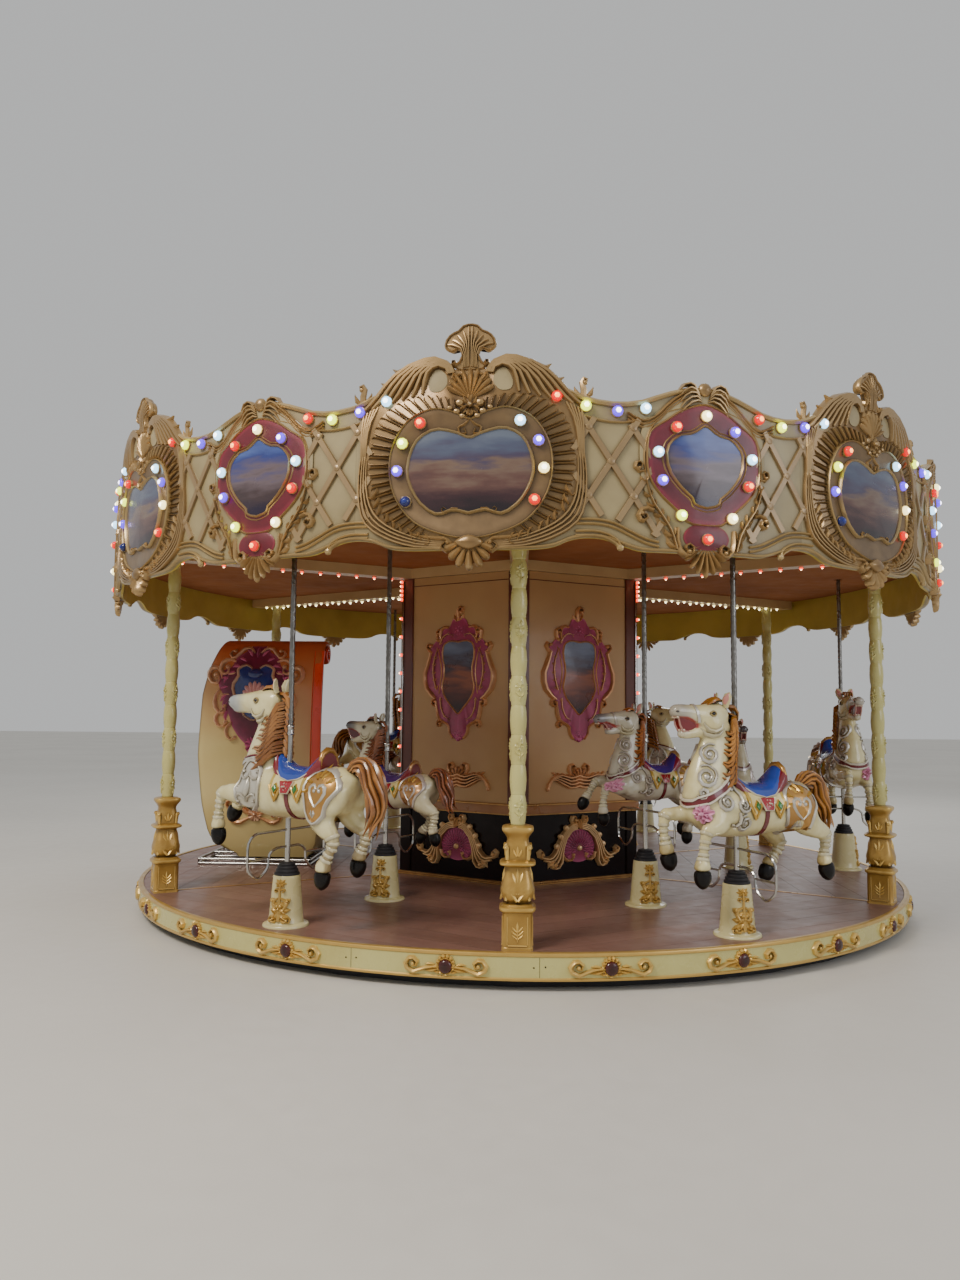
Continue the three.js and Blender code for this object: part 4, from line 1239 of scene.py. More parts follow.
    def flat_parts(self) -> list[tuple[Solid | Sequence[Solid], "Finish"]]:
        """One board's parts before they are bent, each with its finish, from the board up."""
        face, back = self.board()
        gap = [(merged(solids), finish) for solids, finish in ((self.lattice(), LATTICE), (self.borders(), PALE_GILT),
            (self.curl_finial(), GILT))]
        far_gap = [(solid.mirrored().moved((LARGE_PITCH, 0, 0)), finish) for solid, finish in gap]
        backing = pillow(mirrored_outline(self.backing, 140), 0.002, [(1, 0.012), (0.985, 0.016)], (0, 2.8))
        hollow = pillow(mirrored_outline(self.band, 160), 0, [(1, 0.022), (0.97, 0.024), (0.9, 0.017)], (0, 2.76),
            top=0.016)
        lines = [sweep(mirrored_outline(self.band, 160), 0.007, 0.034, closed=True),
                 sweep(mirrored_outline(self.window, 140), 0.011, 0.036, closed=True)]
        view, small_view = [pillow(mirrored_outline(outline, 110), 0, [(1, 0.022), (0.9, 0.0245)], middle)
            for outline, middle in ((self.window, (0, 2.76)), (self.shield, (0, 2.8)))]
        plate = pillow(mirrored_outline(self.small_plate, 110), 0.002, [(1, 0.011), (0.97, 0.015)], (0, 2.8))
        enamel = pillow(mirrored_outline(self.enamel, 110), 0, [(1, 0.017), (0.9, 0.021)], (0, 2.82))
        lower = pillow(mirrored_outline(mm(2, 0, 2500, 100, 2475, 135, 2420, 100, 2370, 0, 2355), 40), 0,
            [(1, 0.018), (0.9, 0.022)], (0, 2.43), top=0.024)
        plate, enamel, lower, small_view, small = [solid.moved((SMALL_AT, 0, 0))
            for solid in (plate, enamel, lower, small_view, merged(self.small_gold()))]
        return [(face, FIELD), (back, BACK_WITH_PAINTED_LAMPLIGHT), (self.mouldings(), PALE_GILT), *gap, *far_gap,
                ([*self.holes(), plate], FIELD), (backing, GILT), (hollow, BAND_GILT), (lines, PALE_GILT),
                ([merged(self.large_gold()), small], GILT), ([enamel, lower], CRIMSON), (view, DUSK_LARGE),
                (small_view, DUSK_SMALL)]

    def build(self) -> None:
        """Bends the same flat parts round as eight boards, then sets their lamps."""
        parts = self.flat_parts()
        lamps = ((self.large_lamps(), 0.0, 0.017), (self.small_lamps(), SMALL_AT, 0.02),
                 (self.edge_lamps(), 0.0, 0.003))
        for i in range(BOARDS):
            lay = on_crown(CROWN_PHASE + i * 360 / BOARDS)
            piece = Piece(f"carved_board_{i + 1}")
            for solids, finish in parts:
                piece.add(solids, finish, lay)
            for spots, shift, depth in lamps:
                for x, y, colour in spots:
                    self.lamp_parts(piece, x + shift, y, colour, lay, depth)
            piece.finish("turntable", "crown_gilt", (f"crown_board_{i + 1}",))


# Deck, fascia and pillars


def cut_outline(outline: np.ndarray, low: float, high: float, depth: float = 0.0012) -> Solid:
    """A flat board over an outline, from one height to another, its top edge eased by a hair."""
    c = outline.mean(0)
    size = np.abs(outline - c).max()
    shrink = 1 - depth / size
    return pillow(outline, low, [(1, high - depth), (shrink, high)], c)


@dataclass
class Deck:
    """Six sectors of boards that lie across them, with screwed metal strips over the joints."""

    board: float = 0.19  # width of a board
    groove: float = 0.0022  # gap between two boards
    inner: float = 0.93  # distance of the first board from the axis
    thick: float = 0.022
    slope: float = math.tan(math.radians(30))  # of a sector's sides

    def row(self, near: float, far: float) -> np.ndarray:
        """One board's outline in the sector's own plan, x across and y outwards.

        Its ends follow the sector's sides, x = y tan 30, and then the deck's rim, x = sqrt(R^2 - y^2).
        """
        rim = DECK_RADIUS - 0.002
        y = np.unique(np.append(np.linspace(near, far, 4), np.clip(rim * math.cos(math.radians(30)), near, far)))
        half = np.minimum(y * self.slope - 0.001, np.sqrt(np.maximum(rim**2 - y**2, 0)))
        half = np.maximum(half, 0.004)
        return np.vstack([np.column_stack([half, y]), np.column_stack([-half, y])[::-1]])

    def sector(self, k: int) -> None:
        """Boards of one sector in one piece, over a black tray, with the strip along its first side."""
        azimuth = 60 * k + 30
        wood = replace(DECK_BOARD, name=f"deck_boards_{k + 1}", angle=azimuth)
        piece = Piece(f"deck_boards_{k + 1}")
        lay = placed(azimuth, 0.0, 0.0, 180.0)
        tones = np.random.default_rng(11 + k).uniform(0.9, 1.06, 16)
        under = self.row(self.inner, DECK_RADIUS - 0.003)
        piece.add(cut_outline(under, DECK - 0.098, DECK - 0.004), BLACK, lay)
        edges = np.append(np.arange(self.inner, DECK_RADIUS - 0.06, self.board), DECK_RADIUS - 0.002)
        for near, far, tone in zip(edges, edges[1:], tones):
            solid = cut_outline(self.row(near + self.groove / 2, far - self.groove / 2), DECK - self.thick, DECK)
            piece.add(solid, wood, lay, np.full((len(solid.points), 3), tone) * (1, 0.99, 0.98))
        strip = placed(60 * k, 0.0, DECK)
        piece.add(box((-0.016, -(PILLAR_CIRCLE - 0.086), -0.001), (0.016, -1.075, 0.003), 0.0015), BRASS, strip)
        screws = [revolve([(0.0045, 0.003), (0.004, 0.0042), (0.001, 0.0044)], 8).moved((0, -r, 0))
                  for r in np.arange(1.15, 2.8, 0.236)]
        piece.add(screws, STEEL, strip)
        piece.finish("turntable", "deck_boards", (f"deck_sector_{k + 1}",))

    def build(self) -> None:
        """All six sectors."""
        for k in range(SECTORS):
            self.sector(k)


@dataclass
class Fascia:
    """The cream ring round the deck's edge, with gold beads, carved scrolls about dark stones, seams and screws."""

    face: float = 3.04  # radius of the cream face
    stones: tuple = (-70.8, -56.0, -40.5, -25.5, -7.25, 9.5, 24.25, 38.5, 53.0, 67.8)
    seams: tuple = (-17.5, 2.25)  # azimuths, as are those of the stones
    middle: float = 0.124  # height of the ornament

    def stone(self) -> Solid:
        """A cut round stone: a low dome with flat steps."""
        return revolve(mm(2, 37, 0, 38, 8, 34, 17, 23, 23, 1, 25), 14)

    def carving(self) -> list[Solid]:
        """Petals round the stone and two long arms that dip, rise and end in volutes."""
        arm = curve(mm(2, 30, -4, 85, -4, 130, -20, 172, -36, 206, -24, 220, 4, 205, 30, 178, 36, 157, 22, 158, 2,
            176, -4, 184, 8), 40)
        half = [sweep(arm, (0.007, 0.011, 0.014, 0.015, 0.014, 0.012, 0.01, 0.008), (0.018, 0.024, 0.026, 0.024)),
                ball((0.178, 0.006, 0.012), (0.012, 0.012, 0.016), 8, 5),
                finger((0.04, -0.016), -18, 0.085, 22, 0.011, 0.02), finger((0.06, 0.006), 10, 0.055, -20, 0.009,
            0.018), finger((0.02, -0.034), -5, 0.06, 30, 0.009, 0.016)]
        made = both_sides(half)
        made += fan((0, 0.0), 0.034, (0.054, 0.058, 0.062, 0.064, 0.064, 0.062, 0.058, 0.054), np.linspace(5, 175, 8),
                    0.0115, 0.022, ROLL)
        made += fan((0, 0.0), 0.032, 0.05, np.linspace(200, 340, 5), 0.012, 0.016, ROLL)
        return [*made, sweep(curve([(0.04 * math.cos(a), 0.04 * math.sin(a)) for a in np.arange(8) * TAU / 8], 24,
            True), 0.005, 0.013, closed=True)]

    def build(self) -> None:
        """The ring, then its ornaments in one piece with it."""
        piece = Piece("fascia")
        n = 180
        panel = [(3.012, 0.06), (3.036, 0.06), (self.face, 0.064), (self.face, 0.19), (3.034, 0.196), (3.012, 0.197)]
        upper = mm(2, 3010, 184, 3040, 182, 3046, 187, 3046.5, 196, 3043, 203, 3034, 206, 3014, 206, 3010, 203)
        lower = mm(2, 3030, 58, 3042, 57.5, 3046, 63, 3046, 70, 3041, 75, 3030, 74)
        piece.add(revolve(panel, n, ring=True), CREAM)
        piece.add([revolve(upper, n, ring=True), revolve(lower, n, ring=True)], RICH_GILT)
        carving, stone = merged(self.carving()), self.stone()
        stones = [*self.stones, *np.linspace(82.8, 360 - 85.6, 14)]
        for azimuth in stones:
            lay = on_cone(azimuth, (self.face, 0.0), (self.face, 1.0))
            piece.add(carving.moved((0, self.middle, 0)), RICH_GILT, lay)
            piece.add(stone.moved((0, self.middle, 0.004)), GEM, lay)
        for azimuth in (*self.seams, *np.linspace(62.25, 302.25, 5)):
            lay = on_cone(azimuth, (self.face, 0.0), (self.face, 1.0))
            piece.add(box((-0.0015, 0.076, -0.004), (0.0015, 0.181, 0.0006), 0.0003), SEAM, lay)
            dots = [revolve([(0.0045, -0.001), (0.0045, 0.0012), (0.001, 0.002)], 8).moved((x, y, 0))
                    for x, y in mm(2, -31, 128, 31, 132)]
            piece.add(dots, DARK, lay)
        piece.finish("turntable", "cream_gloss", ("fascia_ring",))


@dataclass
class Pillars:
    """Six posts: a squared gold pedestal with leaves and brackets, and a cream shaft of swelling joints."""

    pedestal: tuple = (
        # height above the deck, half width, squareness (2 is round)
        (0.000, 0.0855, 12), (0.013, 0.0860, 12), (0.016, 0.0830, 12), (0.020, 0.0815, 12), (0.195, 0.0815, 12),
        (0.200, 0.0840, 10), (0.204, 0.0930, 6), (0.209, 0.0985, 5), (0.218, 0.1000, 5), (0.226, 0.0985, 5),
        (0.231, 0.0900, 4), (0.238, 0.0850, 4), (0.243, 0.0820, 3), (0.248, 0.0660, 3), (0.256, 0.0690, 3),
        (0.268, 0.0775, 3), (0.285, 0.0845, 3), (0.305, 0.0880, 3), (0.325, 0.0880, 3), (0.345, 0.0855, 3),
        (0.370, 0.0800, 3), (0.395, 0.0735, 3), (0.420, 0.0690, 3), (0.438, 0.0690, 3), (0.444, 0.0760, 4),
        (0.450, 0.0930, 5), (0.456, 0.0985, 5), (0.464, 0.0985, 5), (0.470, 0.0910, 5), (0.475, 0.0760, 4),
        (0.482, 0.0680, 4), (0.520, 0.0660, 4), (0.560, 0.0640, 4), (0.578, 0.0600, 3.5), (0.592, 0.0600, 3.5),
        (0.606, 0.0660, 3.5), (0.622, 0.0770, 4), (0.634, 0.0860, 4.5), (0.645, 0.0880, 4.5), (0.654, 0.0850, 4.5),
        (0.660, 0.0720, 4), (0.664, 0.0560, 3), (0.666, 0.0300, 2))
    thin: float = 0.0385  # the shaft's radius between two swellings
    fat: float = 0.0475  # and at the middle of one
    joint: float = 0.164  # distance from one to the next

    def body(self) -> Solid:
        """The pedestal: radius = half width / (|cos|^n + |sin|^n)^(1/n), and leaves raised round the vase.

        Two rows of eight pointed leaves overlap: a leaf's height at u across and v up its row is its
        lift * (1 - (|u| / w)^2)^0.4 with w = 0.5 sqrt(1 - v), less in the midrib's groove.
        """
        rows = np.array(self.pedestal)
        extra = np.linspace(0.252, 0.44, 13)
        z = np.unique(np.concatenate([rows[:, 0], extra]))
        half, power = np.interp(z, rows[:, 0], rows[:, 1]), np.interp(z, rows[:, 0], rows[:, 2])
        sides = 40
        a = np.arange(sides)[None, :] * TAU / sides + TAU / sides / 2
        n = power[:, None]
        r = half[:, None] / (np.abs(np.cos(a))**n + np.abs(np.sin(a))**n)**(1 / n)
        for low, high, shift, lift in mm(4, 256, 345, 0, 4.5, 285, 428, 500, 3.5):
            v = np.clip((z[:, None] - low) / (high - low), 0, 1)
            u = (a * 8 / TAU + shift) % 1.0 - 0.5
            width = 0.5 * np.sqrt(1 - v) + 1e-6
            leaf = np.clip(1 - (np.abs(u) / width)**2, 0, 1)**0.4 * ((z[:, None] > low) & (z[:, None] < high))
            r = r + lift * leaf * (1 - 0.35 * np.exp(-(u / 0.06)**2))
        return loft(np.stack([r * np.cos(a), r * np.sin(a), z[:, None] + 0 * a], -1))

    def shaft(self) -> Solid:
        """Joints 164 mm long: radius = thin + (fat - thin) sin(pi u)^0.7, with a fine ring at each joint."""
        low, high = 0.664, BEAM_BOTTOM - DECK - 0.0005
        u = np.concatenate([np.array([0, 0.03, 0.06, 0.2, 0.5, 0.8, 0.94]) + k
            for k in range(int((high - low) / self.joint) + 1)])
        z = low + u * self.joint
        keep = z < high - 0.004
        z, u = np.append(z[keep], high), np.append(u[keep], (high - low) / self.joint)
        f = u % 1.0
        r = self.thin + (self.fat - self.thin) * np.sin(math.pi * np.clip((f - 0.04) / 0.96, 0, 1))**0.7
        r = r + 0.0022 * np.exp(-((f - 0.03) / 0.015)**2)
        return revolve(np.column_stack([r, z]), 16)

    def plant(self) -> list[Solid]:
        """Seven leaves on a stem, over a ledge and between two frame lines, raised on each side of the plinth."""
        leaves = [finger((0, 0.1), 90, 0.052, 0, 0.009, 0.006)]
        for z, size, lean in ((0.098, 0.04, 38), (0.08, 0.042, 32), (0.062, 0.036, 30)):
            leaves += both_sides([finger((0.003, z), lean, size, 25, 0.007, 0.006)])
        stem = sweep(np.array([(0, 0.045, 0), (0, 0.075, 0), (0, 0.105, 0)]), 0.003, 0.005)
        frame = [sweep(curve(mm(2, 55, 30, 55, 100, 55, 180), 4), 0.0025, 0.003)]
        ledge = sweep(np.array([(-0.052, 0.026, 0), (0, 0.026, 0), (0.052, 0.026, 0)]), 0.004, 0.006)
        return [*leaves, stem, ledge, *both_sides(frame)]

    def brackets(self) -> list[Solid]:
        """A volute at each corner of the neck, curling outwards at the top, with a leaf below it."""
        made = []
        for k in range(4):
            a = math.radians(45 + 90 * k)
            way = np.array([math.cos(a), math.sin(a), 0])
            path = np.array([0.08 * way + (0, 0, 0.478), 0.078 * way + (0, 0, 0.5), 0.08 * way + (0, 0, 0.525), 0.086
                * way + (0, 0, 0.545), 0.094 * way + (0, 0, 0.557), 0.099 * way + (0, 0, 0.552), 0.098 * way
                + (0, 0, 0.542)])
            side = np.array([-way[1], way[0], 0.0])
            made.append(sweep(path, (0.01, 0.013, 0.015, 0.013), 0.011, ROLL,
                up=np.cross(side, np.gradient(path, axis=0))))
            made.append(ball(0.09 * way + (0, 0, 0.543), (0.013, 0.013, 0.013), 10, 7))
        for k in range(4):
            a = math.radians(90 * k)
            face = on_panel(math.degrees(a), 0.066)
            made += [s.mapped(face) for s in (finger((0, 0.5), 90, 0.055, 0, 0.011, 0.01),
                finger((-0.006, 0.498), 125, 0.045, -25, 0.009, 0.008), finger((0.006, 0.498), 55, 0.045, 25, 0.009,
                0.008))]
        return made

    def vase_leaves(self) -> list[Solid]:
        """Pairs of pointed leaves that spread in a V up each face of the vase, with one up each corner."""
        def pair(start: float, heading: float, length: float) -> list[Solid]:
            """A leaf and its mirror image."""
            return both_sides([finger((0.004, start), heading, length, 18, 0.014, 0.011)])
        face = [*pair(0.262, 50, 0.085), *pair(0.3, 55, 0.105), *pair(0.345, 62, 0.08),
                finger((0, 0.35), 90, 0.085, 0, 0.011, 0.01)]
        corner = [finger((0, 0.262), 90, 0.155, 0, 0.016, 0.01)]
        lay = [on_cone(45 * q, (0.088, 0.29), (0.069, 0.44)) for q in range(8)]
        return [s.mapped(lay[q]) for q in range(8) for s in (corner if q % 2 else face)]

    def bouquet(self) -> Solid:
        """A flower on a leafy stem, for every other joint of the shaft."""
        parts = flower((0.0, 0.02), 0.026, 5, 0.009)
        parts += [finger((0, -0.058), 80, 0.06, 20, 0.004, 0.006), finger((0, -0.04), 35, 0.042, 30, 0.009, 0.008),
                  finger((0, -0.03), 145, 0.042, -30, 0.009, 0.008), finger((0.004, 0.045), 60, 0.022, 30, 0.007,
            0.006)]
        return merged(parts)

    def build(self) -> None:
        """Six alike, each turned to face out."""
        bouquet = self.bouquet()
        middles = [0.664 + (j + 0.5) * self.joint for j in range(0, 11, 2)]
        flowers = merged([bouquet.mapped(on_cone(120 * q + 8, (self.fat - 0.002, 0.0),
            (self.fat - 0.002, 1.0))) .moved((0, 0, z)) for z in middles for q in range(3)])
        plants = merged([merged(self.plant()).mapped(on_panel(90 * q, 0.0812)) for q in range(4)])
        for k in range(SECTORS):
            lay = placed(60 * k, PILLAR_CIRCLE, DECK)
            piece = Piece(f"pillar_{k + 1}")
            piece.add([self.body(), plants, *self.brackets(), *self.vase_leaves()], RICH_GILT, lay)
            piece.add([self.shaft(), flowers], CREAM, lay)
            piece.finish("turntable", "antique_gold", (f"pillar_{k + 1}",))


# Core and canopy


@dataclass
class Core:
    """The six-sided core: dark lower panels, a gold ledge, tan upper panels with carved frames, and lamp strips."""

    corner: float = 1.089  # distance of the corners from the axis
    recess: float = 0.016  # how far the panels lie behind the posts
    post: float = 0.095  # width of a post on each side of its corner
    ledge: tuple = (0.717, 0.8)
    picture: tuple = mm(2, 0, 2035, 75, 2045, 135, 2015, 150, 1930, 130, 1840, 135, 1760, 150, 1680, 120, 1600,
        50, 1520, 0, 1475)
    field: tuple = mm(2, 0, 2235, 60, 2210, 85, 2165, 150, 2135, 205, 2060, 270, 1985, 275, 1900, 310, 1800, 300, 1700,
        225, 1620, 205, 1530, 175, 1420, 90, 1385, 60, 1310, 0, 1275)

    @property
    def side(self) -> float:
        """Half the length of a side."""
        return self.corner / 2

    @property
    def face(self) -> float:
        """Distance of the recessed panels from the axis."""
        return self.corner * math.cos(math.radians(30)) - self.recess

    def frame_gold(self) -> list[Solid]:
        """The picture frame's gold: chained scrolls round its edge, ears, a crest curl, inner lines, a flower."""
        half = scroll((0.095, 2.15), (20, 0, -40, -80, -100, -60, 40), 0.19, (0.01, 0.016, 0.014, 0.008), 0.036, 0.013)
        half += scroll((0.19, 2.04), (60, 75, 90, 150, 260, 380), 0.17, (0.012, 0.015, 0.012, 0.008), 0.036, 0.014)
        half += scroll((0.25, 1.95), (30, 40, 70, 150, 260), 0.13, (0.014, 0.016, 0.012, 0.008), 0.036, 0.016)
        half += [sweep(curve(mm(2, 262, 1955, 285, 1870, 318, 1790, 308, 1690, 262, 1625, 215, 1590), 24),
            (0.012, 0.022, 0.027, 0.022, 0.01), 0.038, RIB)]
        half += scroll((0.215, 1.6), (-20, -50, -110, -200, -300), 0.13, (0.01, 0.014, 0.011, 0.007), 0.034, 0.014)
        half += [sweep(curve(mm(2, 208, 1575, 200, 1500, 175, 1430, 120, 1405, 85, 1370), 18),
            (0.009, 0.015, 0.014, 0.008), 0.034)]
        half += scroll((0.165, 1.425), (-10, -40, -100, -190, -290), 0.11, (0.009, 0.012, 0.01, 0.006), 0.03, 0.012)
        half += [sweep(curve(mm(2, 90, 1385, 82, 1330, 50, 1285), 10), 0.009, 0.028)]
        half += acanthus(mm(2, 200, 1660, 225, 1740, 235, 1820, 225, 1900, 195, 1980), 6, (0.05, 0.04), 0.03)
        half += acanthus(mm(2, 165, 1600, 160, 1530, 130, 1460, 85, 1430), 4, (0.04, 0.03), 0.026)
        half += acanthus(mm(2, 175, 2020, 150, 2070, 105, 2100, 60, 2090), 4, (0.04, 0.03), 0.026)
        half += [sweep(curve(mm(2, 190, 1975, 172, 1900, 158, 1800, 172, 1700, 180, 1630), 18),
            (0.005, 0.01, 0.012, 0.01, 0.005), 0.026)]
        made = both_sides(half)
        line = mirrored_outline(self.picture, 90)
        made.append(sweep(line, 0.01, 0.032, closed=True))
        made += scroll((-0.005, 2.2), (95, 100, 85, 30, -60, -170), 0.185, (0.018, 0.018, 0.013, 0.008), 0.034, 0.015)
        made += [finger((0.0, 2.2), 40, 0.08, 40, 0.018, 0.03), finger((-0.01, 2.19), 140, 0.08, -40, 0.018, 0.03)]
        return made

    def wing_scroll(self) -> list[Solid]:
        """The scroll below a frame: two arms that dip, rise and hook down, under a small shell."""
        half = strands(mm(2, 0, 930, 60, 918, 125, 945, 180, 975, 225, 965, 245, 915),
            mm(2, 0, 1000, 60, 985, 115, 1000, 165, 1005, 205, 985, 228, 925), 4,
            (0.013, 0.0125, 0.01, 0.0075, 0.007, 0.006), 0.032)
        half += scroll((0.06, 1.005), (50, 75, 120, 200, 300), 0.13, (0.01, 0.013, 0.01, 0.007), 0.032, 0.013)
        half += spray(curve(mm(2, 50, 985, 120, 1000, 190, 1010), 12), 4, 35, -40, (0.05, 0.035), 0.013, 0.026)
        half += [ball((0.24, 0.912, 0.01), (0.015, 0.016, 0.018), 8, 5)]
        made = [*both_sides(half), *fan((0, 0.965), 0.01, (0.07, 0.085, 0.09, 0.085, 0.07), np.linspace(25, 155, 7),
            0.015, 0.034)]
        return [s.mapped(lambda p: (p - (0, 0.96, 0)) * (1.17, 1.12, 1.1) + (0, 0.96, 0)) for s in made]

    def fan_gold(self) -> list[Solid]:
        """The lower ornament's arch of scrolls, knobbed crest and outward-kicking feet."""
        half = strands(mm(2, 20, 640, 85, 625, 150, 570, 190, 500, 220, 430, 262, 392, 310, 392, 350, 405),
            mm(2, 20, 600, 70, 590, 120, 545, 150, 485, 165, 420, 165, 360, 195, 315, 235, 315), 4,
            (0.008, 0.009, 0.0085, 0.0095, 0.012, 0.016, 0.016, 0.01), 0.05)
        half += scroll((0.215, 0.318), (-10, 40, 110, 200, 300), 0.12, (0.014, 0.016, 0.012, 0.007), 0.046, 0.015)
        half += scroll((0.325, 0.395), (20, 40, 110, 210, 310), 0.13, (0.014, 0.017, 0.013, 0.008), 0.044, 0.015)
        half += scroll((0.15, 0.42), (-95, -130, -170, -220, -300), 0.16, (0.012, 0.015, 0.011, 0.007), 0.04, 0.013)
        half += scroll((0.055, 0.64), (40, 80, 130, 220, 310), 0.11, (0.013, 0.015, 0.011, 0.007), 0.044, 0.014)
        half += [ball((x, z, 0.026), (0.023, 0.023, 0.024), 8, 5) for x, z in mm(2, 128, 612, 178, 548, 212, 478)]
        half += spray(curve(mm(2, 190, 490, 220, 420, 270, 370), 12), 4, -60, 50, (0.06, 0.07), 0.016, 0.034)
        return [*both_sides(half), *fan((0, 0.6), 0.01, 0.075, np.linspace(20, 160, 7), 0.015, 0.046)]

    def strip(self, azimuth: float) -> tuple[Solid, list[tuple[float, Lamp]]]:
        """The lamp strip on one corner and the lamps on it, closer together near the top."""
        low, high = 0.86, BEAM_BOTTOM - 0.02
        bar = box((-0.014, 0, low), (0.014, 0.012, high), 0.003)
        heights = [*np.arange(low + 0.05, 2.36, 0.148), *np.arange(2.4, high, 0.036)]
        front = abs((azimuth + 180) % 360 - 180) < 1
        colours = [Lamp.COOL if front and i % 2 else Lamp.VIOLET if front else Lamp.ROSE for i in range(len(heights))]
        return bar, list(zip(heights, colours))

    def build(self) -> None:
        """Lower and upper core, then the lamp strips."""
        lower, upper = Piece("core_lower"), Piece("core_upper")
        gold, wing, low_gold = merged(self.frame_gold()), merged(self.wing_scroll()), merged(self.fan_gold())
        field_plate = pillow(mirrored_outline(self.field, 110), 0, [(1, 0.012), (0.95, 0.018)], (0, 1.78))
        glass = pillow(mirrored_outline(self.picture, 80), 0, [(1, 0.02), (0.9, 0.022)], (0, 1.78))
        petals = merged(fan((0, 0.455), 0.03, 0.142, np.arange(-24, 205, 12.0), 0.013, 0.034)
            + fan((0, 0.455), 0.02, 0.08, np.arange(-18, 199, 18.0), 0.013, 0.042))
        dome = pillow(curve([(0.145 * math.cos(a), 0.47 + 0.125 * math.sin(a)) for a in np.arange(12) * TAU / 12], 40,
            True), 0, [(0.98, 0.012), (0.5, 0.02)], (0, 0.47), top=0.022)
        roses = merged(flower((0, 1.305), 0.045, 7, 0.028) + flower((0, 2.125), 0.045, 7, 0.028))
        s, d, f = self.side, self.corner * math.cos(math.radians(30)), self.face
        for k in range(SECTORS):
            lay = on_panel(60 * k + 30, 0.0)
            span = s - self.post + 0.004
            lower.add(box((-span, DECK, f - 0.25), (span, self.ledge[0], f + 0.001)), DARK, lay)
            upper.add(box((-span, self.ledge[1] - 0.02, f - 0.25), (span, BEAM_BOTTOM - 0.001, f + 0.001)), WALL, lay)
            for sign in (-1, 1):
                x0, x1 = sorted((sign * (s - self.post), sign * (s - 0.004)))
                lower.add(box((x0, DECK, d - 0.12), (x1, self.ledge[0], d), 0.004), DARK, lay)
                upper.add(box((x0, self.ledge[1] - 0.02, d - 0.12), (x1, BEAM_BOTTOM - 0.001, d), 0.006), POST, lay)
            c = s + 0.014
            for z0, z1, out, finish in ((0.717, 0.728, 0.008, BRASS), (0.728, 0.788, 0.012, WOOD),
                    (0.788, 0.801, 0.018, BRASS), (0.2, 0.213, 0.016, BRASS), (0.2135, 0.226, 0.008, BRASS)):
                lower.add(box((-c, z0, d - 0.1), (c, z1, d + out), 0.003), finish, lay)
            upper.add(box((-span, 2.5, f), (span, 2.506, f + 0.004), 0.001), POST, lay)
            lift = on_panel(60 * k + 30, f)
            upper.add(field_plate, MAGENTA, lift).add(gold, RED_GILT, lift).add(glass, DUSK_CORE, lift)
            upper.add(wing, RED_GILT, lift).add(roses, MAGENTA, lift)
            lower.add(low_gold, AMBER_GILT, lift).add([petals, dome], MAGENTA, lift)
            lower.add(ball((0, 0.455, 0.024), (0.022, 0.022, 0.016), 10, 5), AMBER_GILT, lift)
            bar, lamps = self.strip(60 * k)
            post = placed(60 * k, self.corner + 0.01, 0.0)
            upper.add(bar, BLUE if k == 0 else STEEL, post)
            for z, colour in lamps:
                bead = revolve([(0.006, 0), (0.014, 0.002), (0.014, 0.01), (0.01, 0.018), (0.001, 0.021)], 7)
                heart = revolve(mm(2, 7, 16, 7, 21, 1, 24), 6)
                stand = on_panel(60 * k, self.corner + 0.01)
                upper.add(bead.moved((0, z, 0)), colour.cap, stand).add(heart.moved((0, z, 0)), colour.heart, stand)
        lower.finish("turntable", "dark_gloss", ("core_plinth",))
        upper.finish("turntable", "panel_cream", ("core_housing",))


@dataclass
class Canopy:
    """Beams, lining and roof keep their CAD shapes and take finishes; lamps run under the beams."""

    reach: tuple = (1.2, 3.08)  # radii between which the lamps stand
    pitch: float = 0.15

    def build(self) -> None:
        """Finishes by node, then the lamps under all six beams, in pairs under the three rear ones."""
        for name, finish in (("canopy_frame", BEAM_PAINT), ("ceiling", CEILING), ("roof", COVER),
                ("base_plinth", BLACK), ("turntable_bed", BLACK)):
            node = frame["nodes"][name]
            node.data.materials.clear()
            node.data.materials.append(finish.material())
        piece = Piece("beam_lamps")
        cap = revolve(mm(2, 20, -1, 20, -4, 1, -5)[::-1], 8)
        bead = revolve(mm(2, 1, -20, 9, -17, 14, -10, 15, -4, 14, -3), 8)
        heart = revolve(mm(2, 1, -24, 5, -22, 8, -18, 6, -15), 6)
        for k in range(SECTORS):
            rear = k in (2, 3, 4)
            for r in np.arange(*self.reach, self.pitch):
                for side in ((-0.045, 0.045) if rear else (0.0,)):
                    lay = placed(60 * k, 0.0, BEAM_BOTTOM)
                    colour = Lamp.WARM if rear else Lamp.ROSE
                    at = (side, -r, 0)
                    piece.add(cap.moved(at), BRASS, lay).add(bead.moved(at), colour.cap, lay)
                    piece.add(heart.moved(at), colour.heart, lay)
        piece.finish("turntable", "cream_gloss")


# Cones and poles


@dataclass(frozen=True)
class Ride:
    """Where one pole stands: azimuth in degrees, radius, its bar's height above the deck, the horse's scale."""

    number: int
    azimuth: float
    radius: float
    bar: float
    scale: float


RIDES = tuple(Ride(i + 1, *row) for i, row in enumerate(((-29.6, 2.815, 0.465, 1.0), (-29.6, 1.85, 0.45, 0.78),
    (27.1, 2.815, 0.397, 1.0), (27.3, 1.88, 0.53, 0.78), (90.0, 2.75, 0.5, 1.0), (90.0, 1.85, 0.43, 0.78),
    (150.0, 2.815, 0.415, 1.0), (150.0, 1.85, 0.545, 0.78), (210.0, 2.815, 0.56, 1.0), (210.0, 1.85, 0.44, 0.78))))


